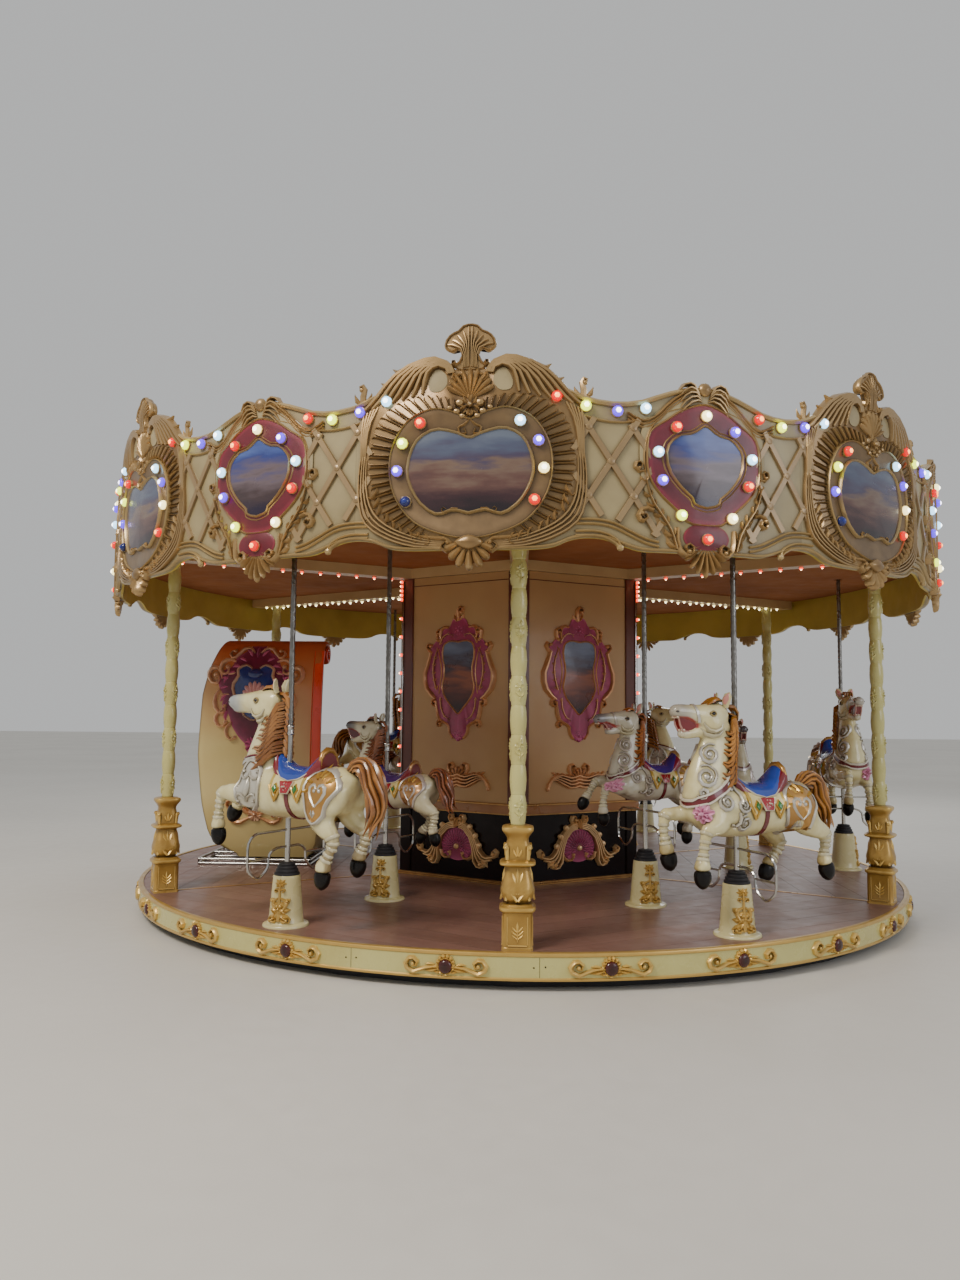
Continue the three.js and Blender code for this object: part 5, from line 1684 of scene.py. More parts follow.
@dataclass
class GuideCones:
    """Ten cream housings on the deck, each with gold foliage and a stepped rubber boot round the pole."""

    profile: tuple = mm(2, 139, 0, 139, 7, 134, 14, 121, 17, 110, 21, 104.5, 30, 100.5, 70, 85.5, 240, 82.5, 280,
        81.5, 292, 78, 298)
    boot: tuple = mm(2, 76, 296, 76.5, 302, 74, 312, 66, 314.5, 66.5, 318, 68, 325, 65, 332, 58, 334.5, 58, 338,
        60, 344, 57, 351, 49, 353.5, 49.5, 357, 51, 362, 47, 368, 30, 372, 18, 372.5)

    def foliage(self) -> list[Solid]:
        """A spreading cartouche low down, narrowing through leaves to a small palmette."""
        half = scroll((0.008, 0.172), (-5, -50, -95, -130, -220, -330), 0.14, (0.006, 0.013, 0.012, 0.006), 0.017,
                      0.011)
        half += scroll((0.028, 0.066), (20, -20, -70, -160, -280), 0.09, (0.006, 0.01, 0.008, 0.005), 0.017, 0.01)
        half += scroll((0.012, 0.048), (-60, -20, 30, 110, 220), 0.07, (0.006, 0.009, 0.007, 0.004), 0.016, 0.008)
        half += scroll((0.036, 0.15), (70, 40, -40, -150, -250), 0.06, (0.006, 0.01, 0.008, 0.005), 0.016, 0.009)
        half += [finger((0.026, z), h, size, bend, 0.018, 0.016) for z, h, size, bend in ((0.134, 10, 0.042, 50),
            (0.104, -12, 0.046, 40), (0.076, -35, 0.044, -30))]
        half += [finger((0.008, z), h, 0.05, 35, 0.02, 0.016) for z, h in ((0.146, -50), (0.116, -62), (0.086, -70))]
        half += scroll((0.003, 0.215), (60, 20, -20, -100, -200), 0.05, (0.004, 0.007, 0.006, 0.004), 0.015, 0.006)
        half += [finger((0.004, 0.252), h, size, -25, 0.013, 0.016) for h, size in ((58, 0.038), (18, 0.036),
            (-28, 0.03))]
        spine = sweep(np.array([(0, 0.04, 0), (0, 0.1, 0), (0, 0.16, 0), (0, 0.2, 0), (0, 0.256, 0)]),
                      (0.01, 0.016, 0.009, 0.006, 0.007), 0.015)
        return [*both_sides(half), spine, finger((0, 0.25), 90, 0.034, 0, 0.014, 0.016),
                *flower((0, 0.11), 0.03, 6, 0.02)]

    def build(self) -> None:
        """Ten alike, but the foliage of the four front ones is turned to face forwards more."""
        foliage = merged(self.foliage())
        for ride in RIDES:
            lay = placed(ride.azimuth, ride.radius, DECK)
            piece = Piece(f"guide_cone_{ride.number}")
            piece.add(revolve([(0.02, 0.0), *self.profile, (0.02, 0.298)], 30), CONE_CREAM, lay)
            piece.add(revolve([(0.0175, 0.29), *self.boot], 24), RUBBER, lay)
            turn = -0.6 * ride.azimuth if abs(ride.azimuth) < 60 else 0.0
            piece.add(foliage.mapped(on_cone(turn, (0.1045, 0.03), (0.0822, 0.285))), LEAF_GILT, lay)
            piece.finish("turntable", "cream_gloss", (f"guide_cone_{ride.number}",))


@dataclass
class Poles:
    """Ten poles: polished tube with welded stirrup loops below, a collar, and a rope-twisted tube above."""

    radius: float = 0.016
    bottom: float = -0.27  # heights are from the stirrups' cross bar
    top: float = 2.14
    loop: tuple = mm(2, 0, 100, 278, 100, 328, 50, 328, -110, 243, -170, 158, -110, 158, -30, 108, 0, 0, 0)

    def twisted(self, low: float, high: float) -> Solid:
        """A tube with two raised strands: radius = 15 mm + 2 mm |cos(a + k z)|^1.2, a turn each 90 mm."""
        z = np.arange(low, high, 0.0125)
        z = np.append(z, high)
        return revolve(np.column_stack([0 * z + 0.015, z]), 10, relief=lambda a, h: 0.002
            * np.abs(np.cos(a + h * TAU / 0.09)) ** 1.2)

    def rounded(self) -> np.ndarray:
        """The loop's centre line with its bends rounded."""
        p = np.array(self.loop)
        made = [p[0]]
        for a, b, c in zip(p, p[1:], p[2:]):
            reach = min(0.035, np.linalg.norm(b - a) / 2.2, np.linalg.norm(c - b) / 2.2)
            first = b + (a - b) / np.linalg.norm(a - b) * reach
            last = b + (c - b) / np.linalg.norm(c - b) * reach
            t = np.linspace(0, 1, 5)[:, None]
            made += list((1 - t)**2 * first + 2 * t * (1 - t) * b + t**2 * last)
        return np.array([*made, p[-1]])

    def loops(self) -> list[Solid]:
        """Both stirrups, bent from 16 mm tube in the plane across the horse, with a rung in each."""
        line = self.rounded()
        made = []
        for side in (-1, 1):
            path = np.column_stack([0 * line[:, 0], side * line[:, 0], line[:, 1]])
            tube = sweep(path, 0.008, 0.008, disc(8), up=(1, 0, 0))
            rung = sweep(np.array([(0, side * y, -0.05) for y in (0.16, 0.243, 0.326)]), 0.007, 0.007, disc(8),
                         up=(1, 0, 0))
            made += [tube, rung]
        return made

    def build(self) -> None:
        """Ten poles, each with the collar above its own horse's back."""
        for ride in RIDES:
            lay = placed(ride.azimuth, ride.radius, DECK + ride.bar, 180.0)
            collar = 0.15 + 0.52 * ride.scale
            piece = Piece(f"pole_{ride.number}")
            smooth = revolve([(0.001, self.bottom), (self.radius - 0.003, self.bottom),
                (self.radius, self.bottom + 0.003), (self.radius, collar), (0.001, collar)], 20)
            ring = revolve([(0.001, collar), (0.02, collar), (0.0235, collar + 0.004), (0.024, collar + 0.012),
                (0.0205, collar + 0.018), (0.0205, collar + 0.042), (0.024, collar + 0.048), (0.0235, collar + 0.056),
                (0.02, collar + 0.06), (0.001, collar + 0.06)], 20)
            piece.add([smooth, ring, *self.loops()], STEEL, lay)
            piece.add(self.twisted(collar + 0.058, self.top), TWIST, lay)
            piece.finish(f"ride_{ride.number}", "polished_steel", (f"pole_{ride.number}",))


# Horses. Local frame at full size: x towards the nose, y to the horse's left, z up from its belly


def limb(stations: Sequence, up: Sequence[float], samples: int = 26, sides: int = 14) -> Solid:
    """A smooth tapering tube with rounded ends.

    Args:
        stations: Rows of x, y, z, half width and half depth.
        up: A way across the tube, from which its width and depth are turned.
        samples: Number of rings.
        sides: Corners of each ring.

    Returns:
        The closed solid.
    """
    c = curve(stations, samples)
    ends = np.ones(samples)
    ends[[0, -1]], ends[[1, -2]] = 0.35, 0.8
    path, w, h = c[:, :3], c[:, 3] * ends, c[:, 4] * ends
    run = np.gradient(path, axis=0)
    run /= np.linalg.norm(run, axis=1, keepdims=True)
    side = np.cross(np.asarray(up, float), run)
    side /= np.linalg.norm(side, axis=1, keepdims=True)
    normal, d = np.cross(run, side), disc(sides)
    return loft(path[:, None] + (w[:, None] * d[:, 0])[..., None] * side[:, None] + (h[:, None] * d[:, 1])[..., None]
                * normal[:, None])


class Skin:
    """A body's closed surface: the voxel union of its limbs, smoothed, and ways to lay things on it."""

    def __init__(self, parts: Sequence[Solid], voxel: float = 0.0125, smooth: int = 9) -> None:
        """Unites the parts through a voxel remesh and keeps the result as a solid and a tree to cast on.

        Args:
            parts: Closed solids that overlap.
            voxel: Size of the remesh's cells.
            smooth: Rounds of smoothing after it.
        """
        whole = merged(parts)
        mesh = bpy.data.meshes.new("skin_draft")
        mesh.from_pydata(whole.points.tolist(), [], whole.quads.tolist() + whole.tris.tolist())
        draft = bpy.data.objects.new("skin_draft", mesh)
        bpy.context.scene.collection.objects.link(draft)
        remesh = draft.modifiers.new("union", "REMESH")
        remesh.mode, remesh.voxel_size = "VOXEL", voxel
        ease = draft.modifiers.new("ease", "SMOOTH")
        ease.factor, ease.iterations = 0.5, smooth
        draft.modifiers.new("thin", "DECIMATE").ratio = SKIN_SHARE
        done = draft.evaluated_get(bpy.context.evaluated_depsgraph_get()).to_mesh()
        points = np.empty(len(done.vertices) * 3)
        done.vertices.foreach_get("co", points)
        corners = np.empty(len(done.loops), np.int32)
        done.loops.foreach_get("vertex_index", corners)
        sizes = np.empty(len(done.polygons), np.int32)
        done.polygons.foreach_get("loop_total", sizes)
        starts = np.concatenate([[0], np.cumsum(sizes)[:-1]])
        four, three = starts[sizes == 4], starts[sizes == 3]
        self.solid = Solid(points.reshape(-1, 3), corners[four[:, None] + np.arange(4)],
            corners[three[:, None] + np.arange(3)])
        bpy.data.objects.remove(draft)
        bpy.data.meshes.remove(mesh)
        self.tree = BVHTree.FromPolygons(self.solid.points.tolist(), self.solid.quads.tolist()
            + self.solid.tris.tolist())

    def projected(self, origin: Sequence[float], right: Sequence[float], up: Sequence[float]) -> Map:
        """Lays flat carvings on the skin by casting them from a plane.

        Args:
            origin: Where x = y = 0 is.
            right: The way of x.
            up: The way of y; z is square to both.

        Returns:
            The mapping.
        """
        o, r, u = (np.asarray(v, float) for v in (origin, right, up))
        out = np.cross(r, u)

        def mapping(p: np.ndarray) -> np.ndarray:
            """The point straight under each, then outwards by its depth; one that misses stays on the plane."""
            start = o + p[:, :1] * r + p[:, 1:2] * u
            made = np.empty_like(start)
            for i, at in enumerate(start):
                hit = self.tree.ray_cast(Vector(at + out * 0.4), Vector(-out), 0.75)[0]
                made[i] = at if hit is None else hit
            return made + p[:, 2:] * out
        return mapping

    def flank(self, side: int) -> Map:
        """Lays carvings on one flank, 1 for the left and -1 for the right, y up from the belly."""
        return self.projected((0, 0, 0), (-side, 0, 0), (0, 0, 1))

    def ring_point(self, x: float, angle: float, lift: float, height: float = 0.185) -> np.ndarray:
        """A point over the trunk.

        Args:
            x: How far forward it is.
            angle: Its angle from the top, in radians, positive to the left.
            lift: Its distance from the skin.
            height: Height of the axis that it is cast from.

        Returns:
            The point.
        """
        way = np.array([0.0, math.sin(angle), math.cos(angle)])
        hit, _, _, far = self.tree.ray_cast(Vector((x, 0, height)), Vector(way), 0.26)
        reach = 0.155 if hit is None else min(far, 0.2)
        return np.array([x, 0, height]) + way * (reach + lift)

    def mantle(self, x: np.ndarray, half: np.ndarray, lift: Callable[[float, float], float], columns: int = 21,
               sink: float = -0.012) -> Solid:
        """A cloth or seat over the back.

        Args:
            x: Where its rows across are.
            half: The angle that each row reaches on both sides, in radians.
            lift: Distance from the skin, by x and by the share of the way to the edge.
            columns: Points of each row.
            sink: Depth of its under side.

        Returns:
            The closed solid.
        """
        rings = []
        for at, wide in zip(x, half):
            turn = np.linspace(-wide, wide, columns)
            over = [self.ring_point(at, a, lift(at, a / max(wide, 1e-6))) for a in turn]
            under = [self.ring_point(at, a, sink) for a in np.linspace(wide, -wide, 7)]
            rings.append(under + over)
        return loft(np.array(rings)[:, ::-1])

    def strap(self, line: Sequence, width: float, height: float = 0.006, samples: int = 30, section: np.ndarray = STRIP,
              closed: bool = False) -> Solid:
        """A band that lies flat on the skin.

        Args:
            line: Knots of its line, each drawn onto the nearest skin.
            width: Its half width.
            height: Its height.
            samples: Number of points along it.
            section: Its section.
            closed: Whether it joins up.

        Returns:
            The closed solid.
        """
        path, ups = [], []
        for at in curve(line, samples, closed):
            hit, normal, _, _ = self.tree.find_nearest(Vector(at))
            path.append(hit)
            ups.append(normal)
        return sweep(np.array(path), width, height, section, up=np.array(ups), closed=closed)


@dataclass(frozen=True)
class Coat:
    """A horse's colours, each named for what it is on."""

    body: str = "#e4dba8"
    # shade is the second body tone; it is also laid as painted shade under the belly and on the far legs, and colours
    # the lids
    shade: str = "#a3926a"
    muzzle: str = "#a7acb0"
    mane: str = "#b27a40"
    mane_dark: str = "#935c28"
    hoof: str = "#0f0d0e"
    saddle: str = "#2b4aa6"
    border: str = "#7a1c26"
    blanket: str = "#d5b65a"
    field: str = "#e6d79a"
    gem: str = "#2d7a36"
    pendant: str = "#a3202e"
    strap: str = "#6d1a22"
    armour: str = "#cfccc2"
    rump: str = "#b98a44"
    band: str = "#cdc6a6"
    flower: str = "#d77f9c"
    ear: str = "#e09a94"
    mouth: str = "#7a0d12"


@dataclass(frozen=True)
class Gait:
    """A horse's pose.

    Legs, neck, head and jaw are stations of x, y, z, half width and half depth; the tail is a line of x and z.
    """

    near_fore: tuple = mm(5, 180, 85, 200, 60, 115, 270, 95, 150, 60, 84, 370, 100, 158, 51, 62, 455, 100, 155, 40, 46,
        482, 100, 85, 26, 29, 492, 100, 20, 27, 30, 493, 100, -35, 43, 48, 490, 100, -75, 43, 50)
    far_fore: tuple = mm(5, 180, -85, 200, 60, 115, 270, -95, 170, 60, 82, 360, -100, 185, 50, 60,
        435, -100, 185, 39, 44, 480, -100, 135, 26, 29, 515, -100, 85, 28, 31, 535, -100, 60, 40, 44,
        550, -100, 35, 40, 45)
    near_hind: tuple = mm(5, -400, 85, 190, 80, 135, -345, 95, 85, 78, 105, -375, 100, 5, 56, 72,
        -430, 100, -50, 40, 50, -440, 100, -100, 31, 36, -405, 100, -165, 27, 31, -375, 100, -222, 45, 52,
        -370, 100, -265, 44, 51)
    far_hind: tuple = mm(5, -420, -85, 190, 80, 130, -400, -95, 85, 75, 100, -450, -100, 10, 52, 66,
        -515, -100, -30, 38, 46, -520, -100, -80, 30, 34, -495, -100, -135, 27, 30, -475, -100, -180, 42, 48,
        -470, -100, -213, 42, 49)
    neck: tuple = mm(5, 210, 0, 200, 130, 165, 195, 0, 340, 105, 150, 165, 0, 480, 78, 125, 135, 0, 600, 60, 102,
        115, 0, 700, 52, 80)
    head: tuple = mm(5, 75, 0, 705, 45, 60, 140, 0, 712, 66, 90, 215, 0, 708, 74, 96, 310, 0, 720, 56, 70,
        400, 0, 726, 43, 50, 470, 0, 722, 47, 48, 520, 0, 716, 36, 36)
    jaw: tuple = mm(5, 170, 0, 670, 50, 55, 250, 0, 668, 46, 40, 340, 0, 672, 32, 24, 430, 0, 668, 29, 18,
        480, 0, 668, 24, 16)
    tail: tuple = mm(2, -470, 300, -530, 345, -610, 325, -665, 220, -665, 80, -625, -60)
    ears: float = 0.085  # x of their roots
    open_mouth: bool = False


STRETCHED = Gait()
REACHING = Gait(near_fore=mm(5, 170, 85, 180, 55, 105, 215, 98, 115, 56, 76, 250, 105, 92, 46, 54, 292, 105, 70, 38, 42,
    312, 105, 0, 27, 30, 322, 105, -65, 28, 31, 328, 105, -112, 44, 50, 328, 105, -152, 44, 51),
    far_fore=mm(5, 180, -85, 200, 55, 105, 270, -95, 160, 52, 68, 350, -100, 155, 44, 50, 430, -100, 150, 37, 41,
    445, -100, 80, 26, 29, 435, -100, 10, 27, 30, 424, -100, -40, 43, 49, 415, -100, -78, 43, 49),
    near_hind=mm(5, -400, 85, 190, 80, 135, -440, 95, 110, 78, 100, -510, 100, 60, 56, 66, -585, 100, 25, 40, 46,
    -592, 100, -30, 30, 34, -580, 100, -85, 27, 31, -582, 100, -128, 44, 50, -592, 100, -164, 44, 50),
    far_hind=mm(5, -400, -85, 190, 80, 130, -345, -95, 85, 75, 100, -370, -100, 10, 52, 66, -415, -100, -35, 38, 46,
    -405, -100, -85, 29, 33, -365, -100, -130, 27, 30, -337, -100, -162, 42, 48, -324, -100, -190, 42, 48),
    neck=mm(5, 210, 0, 200, 130, 165, 195, 0, 340, 108, 150, 160, 0, 480, 80, 128, 125, 0, 600, 62, 106,
            105, 0, 700, 52, 82), head=mm(5, 65, 0, 715, 45, 55, 130, 0, 722, 66, 80, 200, 0, 716, 74, 84,
    280, 0, 728, 56, 62, 355, 0, 742, 45, 48, 415, 0, 748, 48, 44, 462, 0, 744, 38, 34),
    jaw=mm(5, 140, 0, 660, 50, 58, 220, 0, 650, 46, 44, 300, 0, 628, 38, 34, 365, 0, 617, 37, 29, 410, 0, 626, 34, 28),
    tail=mm(2, -470, 300, -530, 340, -600, 315, -640, 220, -665, 110, -720, 30), ears=0.095, open_mouth=True)


class Livery(Enum):
    """What a horse wears on its neck and shoulder."""

    PLATE = "silver plate"
    SPIRALS = "silver spirals"


Groups = dict[str, list[Solid]]  # parts by the name of their colour
MOUTH_RED = "#a3262a"
# Colours that all horses share, and the finishes of parts that aren't plain enamel
FIXED_COLOURS = {"trim": "#d8b25a", "eye": "#120c0a", "nostril": "#3a3032", "tooth": "#d8c4ac", "lip": "#bd8d84",
    "tongue": "#8c2f30", "piping": "#ddd6c6"}
PART_FINISHES = {"blanket": "gilt", "trim": "gilt", "rump": "gilt", "armour": "silver", "band": "body",
    "flower": "petal"}


def facing(side: int) -> int:
    """Sign that turns body x into flat x on a flank, 1 for the left: to the right of its onlooker."""
    return -1 if side > 0 else 1


@dataclass
class Horse:
    """One galloping horse: body, hooves, face, mane, tail, saddle and the ornaments of one of two liveries."""

    gait: Gait
    coat: Coat
    livery: Livery = Livery.PLATE

    def legs(self) -> list[tuple]:
        """The four legs' stations."""
        return [self.gait.near_fore, self.gait.far_fore, self.gait.near_hind, self.gait.far_hind]

    def skin(self) -> Skin:
        """The united body."""
        g, across = self.gait, (0, 0, 1)
        trunk = limb(mm(5, -535, 0, 200, 45, 60, -475, 0, 215, 110, 118, -370, 0, 195, 150, 148, -200, 0, 172, 146, 142,
            -20, 0, 168, 146, 152, 130, 0, 185, 146, 160, 250, 0, 215, 118, 130, 320, 0, 225, 60, 70), across, 36, 20)
        parts = [trunk, limb(g.neck, (1, 0, 0), 24, 18), limb(g.head, across, 28, 18), limb(g.jaw, across, 18, 14)]
        parts += [limb(s, (1, 0, 0) if s[3][0] > 0 else (1, 0, 0.001), 34, 14) for s in self.legs()]
        for y in (-1, 1):
            parts += [ball((-0.385, y * 0.075, 0.185), (0.135, 0.085, 0.13), 16, 10),
                      ball((0.185, y * 0.08, 0.185), (0.095, 0.062, 0.135), 16, 10),
                      ball((g.jaw[0][0] + 0.04, y * 0.04, 0.672), (0.074, 0.04, 0.076), 14, 9),
                      ball((g.head[-1][0] - 0.03, y * 0.026, g.head[-1][2] + 0.006), (0.026, 0.02, 0.022), 12, 8),
                      ball((g.head[2][0] + 0.01, y * 0.05, g.head[2][2] + 0.038), (0.034, 0.022, 0.02), 10, 7)]
        parts += [ball((0.275, 0, 0.205), (0.075, 0.115, 0.11), 16, 10)]
        return Skin(parts)

    def paint(self, p: np.ndarray) -> np.ndarray:
        """Body colour by place, with painted shade under the belly and on the far legs.

        Painted shade darkens it under the belly and down the far legs, the muzzle is grey, and an open mouth is red
        inside.

        Args:
            p: The points.

        Returns:
            Their linear colours.
        """
        c, g = self.coat, self.gait
        tone = np.tile(linear(c.body)[:3], (len(p), 1))

        def over(colour: str, share: np.ndarray) -> None:
            """Lays a colour on by a share from 0 to 1."""
            nonlocal tone
            s = np.clip(share, 0, 1)[:, None]
            tone = tone * (1 - s) + np.array(linear(colour)[:3]) * s
        # Painted shade: darker under the belly, and on the far legs below it
        over(c.shade, (0.06 - p[:, 2]) / 0.12 * (np.abs(p[:, 1]) < 0.13) * 0.55)
        over(c.shade, (0.02 - p[:, 1]) / 0.05 * (p[:, 2] < -0.01) * 0.35)
        nose = np.linalg.norm((p - (g.head[-1][0], 0, g.head[-1][2] - 0.01)) * (1, 1, 0.9), axis=1)
        over(c.muzzle, (0.17 - nose) / 0.07)
        if g.open_mouth:
            span = (p[:, 0] - g.jaw[1][0]) / (g.head[-1][0] - g.jaw[1][0])
            high, low = 0.7 + 0.02 * span, 0.668 - 0.035 * span
            inside = (span > -0.1) & (span < 0.93) & (p[:, 2] < high + 0.006) & (p[:, 2] > low - 0.004)
            over(MOUTH_RED, inside * (np.abs(p[:, 1]) < 0.036) * 1.0)
        return tone

    def hoof(self, stations: tuple) -> Solid:
        """A small rounded hoof that carries on from a leg and draws in to a blunt toe."""
        a, b = np.array(stations[-2][:3]), np.array(stations[-1][:3])
        way = (b - a) / np.linalg.norm(b - a)
        path = np.array([b + way * s for s in (-0.01, 0.0, 0.02, 0.046, 0.07, 0.088, 0.096)])
        width = np.array([0.03, 0.042, 0.045, 0.043, 0.035, 0.02, 0.006])
        d = disc(16)
        side = np.cross((1, 0, 0.2), way)
        side /= np.linalg.norm(side)
        fore = np.cross(way, side)
        return loft(path[:, None] + (width[:, None] * d[:, 0])[..., None] * side
                    + (width[:, None] * 1.15 * d[:, 1])[..., None] * fore)

    def lock(self, points: Sequence, width: float, height: float, waves: float = 2.0, swing: float = 0.012,
             lean: Sequence[float] = (0, 1, 0)) -> Solid:
        """A curling lock of hair: a tapering round rib whose line swings from side to side as a sine.

        Args:
            points: Knots of its line.
            width: Its half width.
            height: Its height.
            waves: Half waves along it.
            swing: How far they swing.
            lean: The way that it faces.

        Returns:
            The closed solid.
        """
        line = curve(points, 14)
        t = np.linspace(0, 1, 14)
        run = np.gradient(line, axis=0)
        across = np.cross(run, np.asarray(lean, float))
        across /= np.maximum(np.linalg.norm(across, axis=1, keepdims=True), 1e-9)
        line = line + across * (swing * np.sin(t * waves * math.pi) * (0.3 + t))[:, None]
        return sweep(line, (width * 0.6, width, width, width * 0.7, POINT),
                     (height * 0.7, height, height, height * 0.6, 0.001), ROLL, up=lean)

    def mane(self) -> list[Solid]:
        """Two layers of wavy locks from the crest down and forwards over both sides of the neck, and a forelock."""
        neck = curve(self.gait.neck, 60)
        rng = np.random.default_rng(5)
        made = []
        for side in (1, -1):
            layers = ((0.62, 0.006), (0.2, 0.014)) if self.livery is Livery.PLATE else ((0.1, 0.006), (-0.3, 0.014))
            for layer, (reach, lift) in enumerate(layers):
                for k in range(10):
                    share = 0.33 + 0.64 * (k + 0.5 * layer) / 9.5 + rng.uniform(-0.01, 0.01)
                    at = neck[min(int(share * 59), 59)]
                    wide, deep = at[3], at[4]
                    crest = np.array([at[0] - deep * 0.97, side * 0.01, at[2] + 0.03])
                    bend = np.array([at[0] - deep * 0.76, side * (wide * 0.74 + lift), at[2] + 0.004])
                    middle = -0.6 + 0.55 * (reach + 0.3)
                    mid = np.array([at[0] + deep * middle, side * (wide * np.sqrt(1 - middle**2) + lift), at[2]
                        - 0.036])
                    tip = np.array([at[0] + deep * reach, side * (wide * 0.96 + lift), at[2] - 0.066 - 0.03 * reach
                        - rng.uniform(0, 0.02)])
                    made.append(self.lock([crest, bend, mid, (mid + tip) / 2 + (0, 0, -0.012), tip], 0.015, 0.026, 2.8,
                        0.022, (0, side, 0)))
        top = np.array(self.gait.head[1][:3]) + (-0.02, 0, 0.085)
        for side in (-1.4, -0.5, 0.5, 1.4):
            made.append(self.lock([top + (0, side * 0.012, 0), top + (0.04, side * 0.016, 0.014), top
                + (0.08, side * 0.022, -0.004), top + (0.115, side * 0.024, -0.026)], 0.012, 0.016, 3, 0.008,
                (0, 0, 1)))
        poll = np.array(self.gait.head[0][:3])
        made.append(self.lock([poll + (0.02, 0, 0.062), poll + (-0.045, 0, 0.056), poll + (-0.072, 0, 0.005), poll
            + (-0.06, 0, -0.06)], 0.03, 0.02, 1, 0.004, (-1, 0, 0.5)))
        for k in range(8):
            at = neck[min(int((0.38 + 0.6 * k / 7) * 59), 59)]
            crest = np.array([at[0] - at[4] * 0.86, 0.0, at[2] + 0.015])
            made.append(self.lock([crest + (0.02, 0, 0.03), crest + (-0.026, 0, 0.01), crest + (-0.036, 0, -0.04), crest
                + (-0.018, 0, -0.085)], 0.022, 0.018, 2, 0.008, (-1, 0, 0.1)))
        return made

    def tail(self) -> list[Solid]:
        """Long deep locks that wave together round the tail's line and part at the tip."""
        line = curve([(x, 0.0, z) for x, z in self.gait.tail], 26)
        run = np.gradient(line, axis=0)
        run /= np.linalg.norm(run, axis=1, keepdims=True)
        normal = np.cross(run, (0, 1, 0))
        t = np.linspace(0, 1, 26)[:, None]
        made = [sweep(line, (0.012, 0.026, 0.034, 0.034, 0.022, 0.004), (0.012, 0.026, 0.034, 0.034, 0.022, 0.004),
                      disc(10), up=(0, 1, 0))]
        for k, a in enumerate(np.arange(11) * TAU / 11):
            girth = taper((0.012, 0.03, 0.042, 0.046, 0.044, 0.03), 26)[:, None]
            way = math.cos(a) * np.array((0, 1, 0)) + math.sin(a) * normal
            around = np.cross(run, way)
            wave = np.sin(t * 4.6 * math.pi + k % 2 * 0.6) * (0.006 + 0.018 * t)
            path = (line + way * girth + around * wave)[:26 - k % 3 * 2]
            made.append(sweep(path, (0.009, 0.014, 0.0165, 0.017, 0.015, POINT),
                (0.012, 0.022, 0.026, 0.026, 0.02, 0.002), RIB, up=way[:len(path)]))
        return made

    def ears(self) -> tuple[list[Solid], list[Solid]]:
        """Two pricked ears, and their pink hollows."""
        outer, inner = [], []
        for side in (-1, 1):
            at = np.array([self.gait.ears, side * 0.034, 0.775])
            tip = at + (-0.012, side * 0.026, 0.088)
            path = np.array([at + (tip - at) * t + (0.01 * math.sin(math.pi * t), 0, 0)
                for t in (0, 0.2, 0.4, 0.6, 0.8, 0.93, 1)])
            outer.append(sweep(path, (0.018, 0.03, 0.025, 0.003), (0.012, 0.011, 0.008, 0.002), disc(10),
                up=(1, side * 0.3, 0)))
            inner.append(sweep(path[1:-1] + (0.007, side * 0.004, 0), (0.01, 0.021, 0.015, 0.002), 0.006, ROLL,
                up=(1, side * 0.5, 0)))
        return outer, inner

    def saddle(self, skin: Skin) -> Groups:
        """Seat, border, cantle roll, blanket with a pointed hem, field, diamonds, pendants and girth, by colour."""
        rear, front, girth = -0.305, 0.045, -0.112

        def seat(at: float, across: float) -> float:
            """Low in the middle, up to 85 mm at the back and 45 mm at the front, thinning to the skirts."""
            t = (at - rear) / (front - rear)
            high = 0.085 * np.clip(1 - t / 0.36, 0, 1)**1.4 + 0.045 * np.clip((t - 0.74) / 0.26, 0, 1)**1.4
            return 0.022 + high * max(0.0, 1 - across**2)**0.8 - 0.008 * across**4

        x = np.linspace(rear, front, 21)
        half = np.interp((x - rear) / (front - rear), (0, 0.12, 0.33, 0.55, 0.75, 0.92, 1),
            (0.42, 0.62, 1.0, 1.1, 0.96, 0.62, 0.42))
        made = {"saddle": [skin.mantle(x, half, seat, 17)]}
        rim = np.linspace(rear - 0.016, front + 0.016, 21)
        made["border"] = [skin.mantle(rim, half + 0.13, lambda a, c: seat(np.clip(a, rear, front), c) - 0.009, 17)]
        cloth = np.linspace(-0.247, 0.023, 37)
        hem = np.interp((cloth + 0.247) / 0.27, (0, 0.17, 0.36, 0.64, 0.83, 1), (1.3, 1.92, 1.3, 1.3, 1.92, 1.3))
        made["blanket"] = [skin.mantle(cloth, hem, lambda a, c: 0.009, 19)]
        made["field"] = [skin.mantle(cloth[3:-3], hem[3:-3] - 0.17, lambda a, c: 0.012, 17)]
        made["gem"], made["pendant"], made["trim"], made["piping"] = [], [], [], []
        for side in (1, -1):
            flip, lay = facing(side), skin.flank(side)
            for xc in (-0.032, -0.192):
                diamond = np.array([(0.021, 0), (0, 0.03), (-0.021, 0), (0, -0.03)]) + (xc * flip, 0.208)
                made["gem"].append(pillow(diamond, 0, [(1, 0.02), (0.6, 0.028)], (xc * flip, 0.208),
                    top=0.029).mapped(lay))
                made["trim"].append(sweep(np.column_stack([diamond, np.full(4, 0.014)]), 0.004, 0.011,
                    closed=True).mapped(lay))
            middle = girth * flip
            shape = np.array([(0.027, 0.182), (0.054, 0.252), (-0.054, 0.252), (-0.027, 0.182)]) + (middle, 0)
            made["pendant"].append(pillow(shape, 0, [(1, 0.024), (0.86, 0.029)], (middle, 0.218), top=0.03).mapped(lay))
            made["piping"] += [s.mapped(lay) for s in flower((middle, 0.222), 0.024, 5, 0.042)]
            made["piping"].append(sweep(np.column_stack([shape[[1, 0, 3, 2]], np.full(4, 0.02)]), 0.004,
                0.01).mapped(lay))
            path = np.array([skin.ring_point(a, side * h, 0.008) for a, h in zip(cloth, hem)])
            ups = np.array([(0, side * math.sin(h), math.cos(h)) for h in hem])
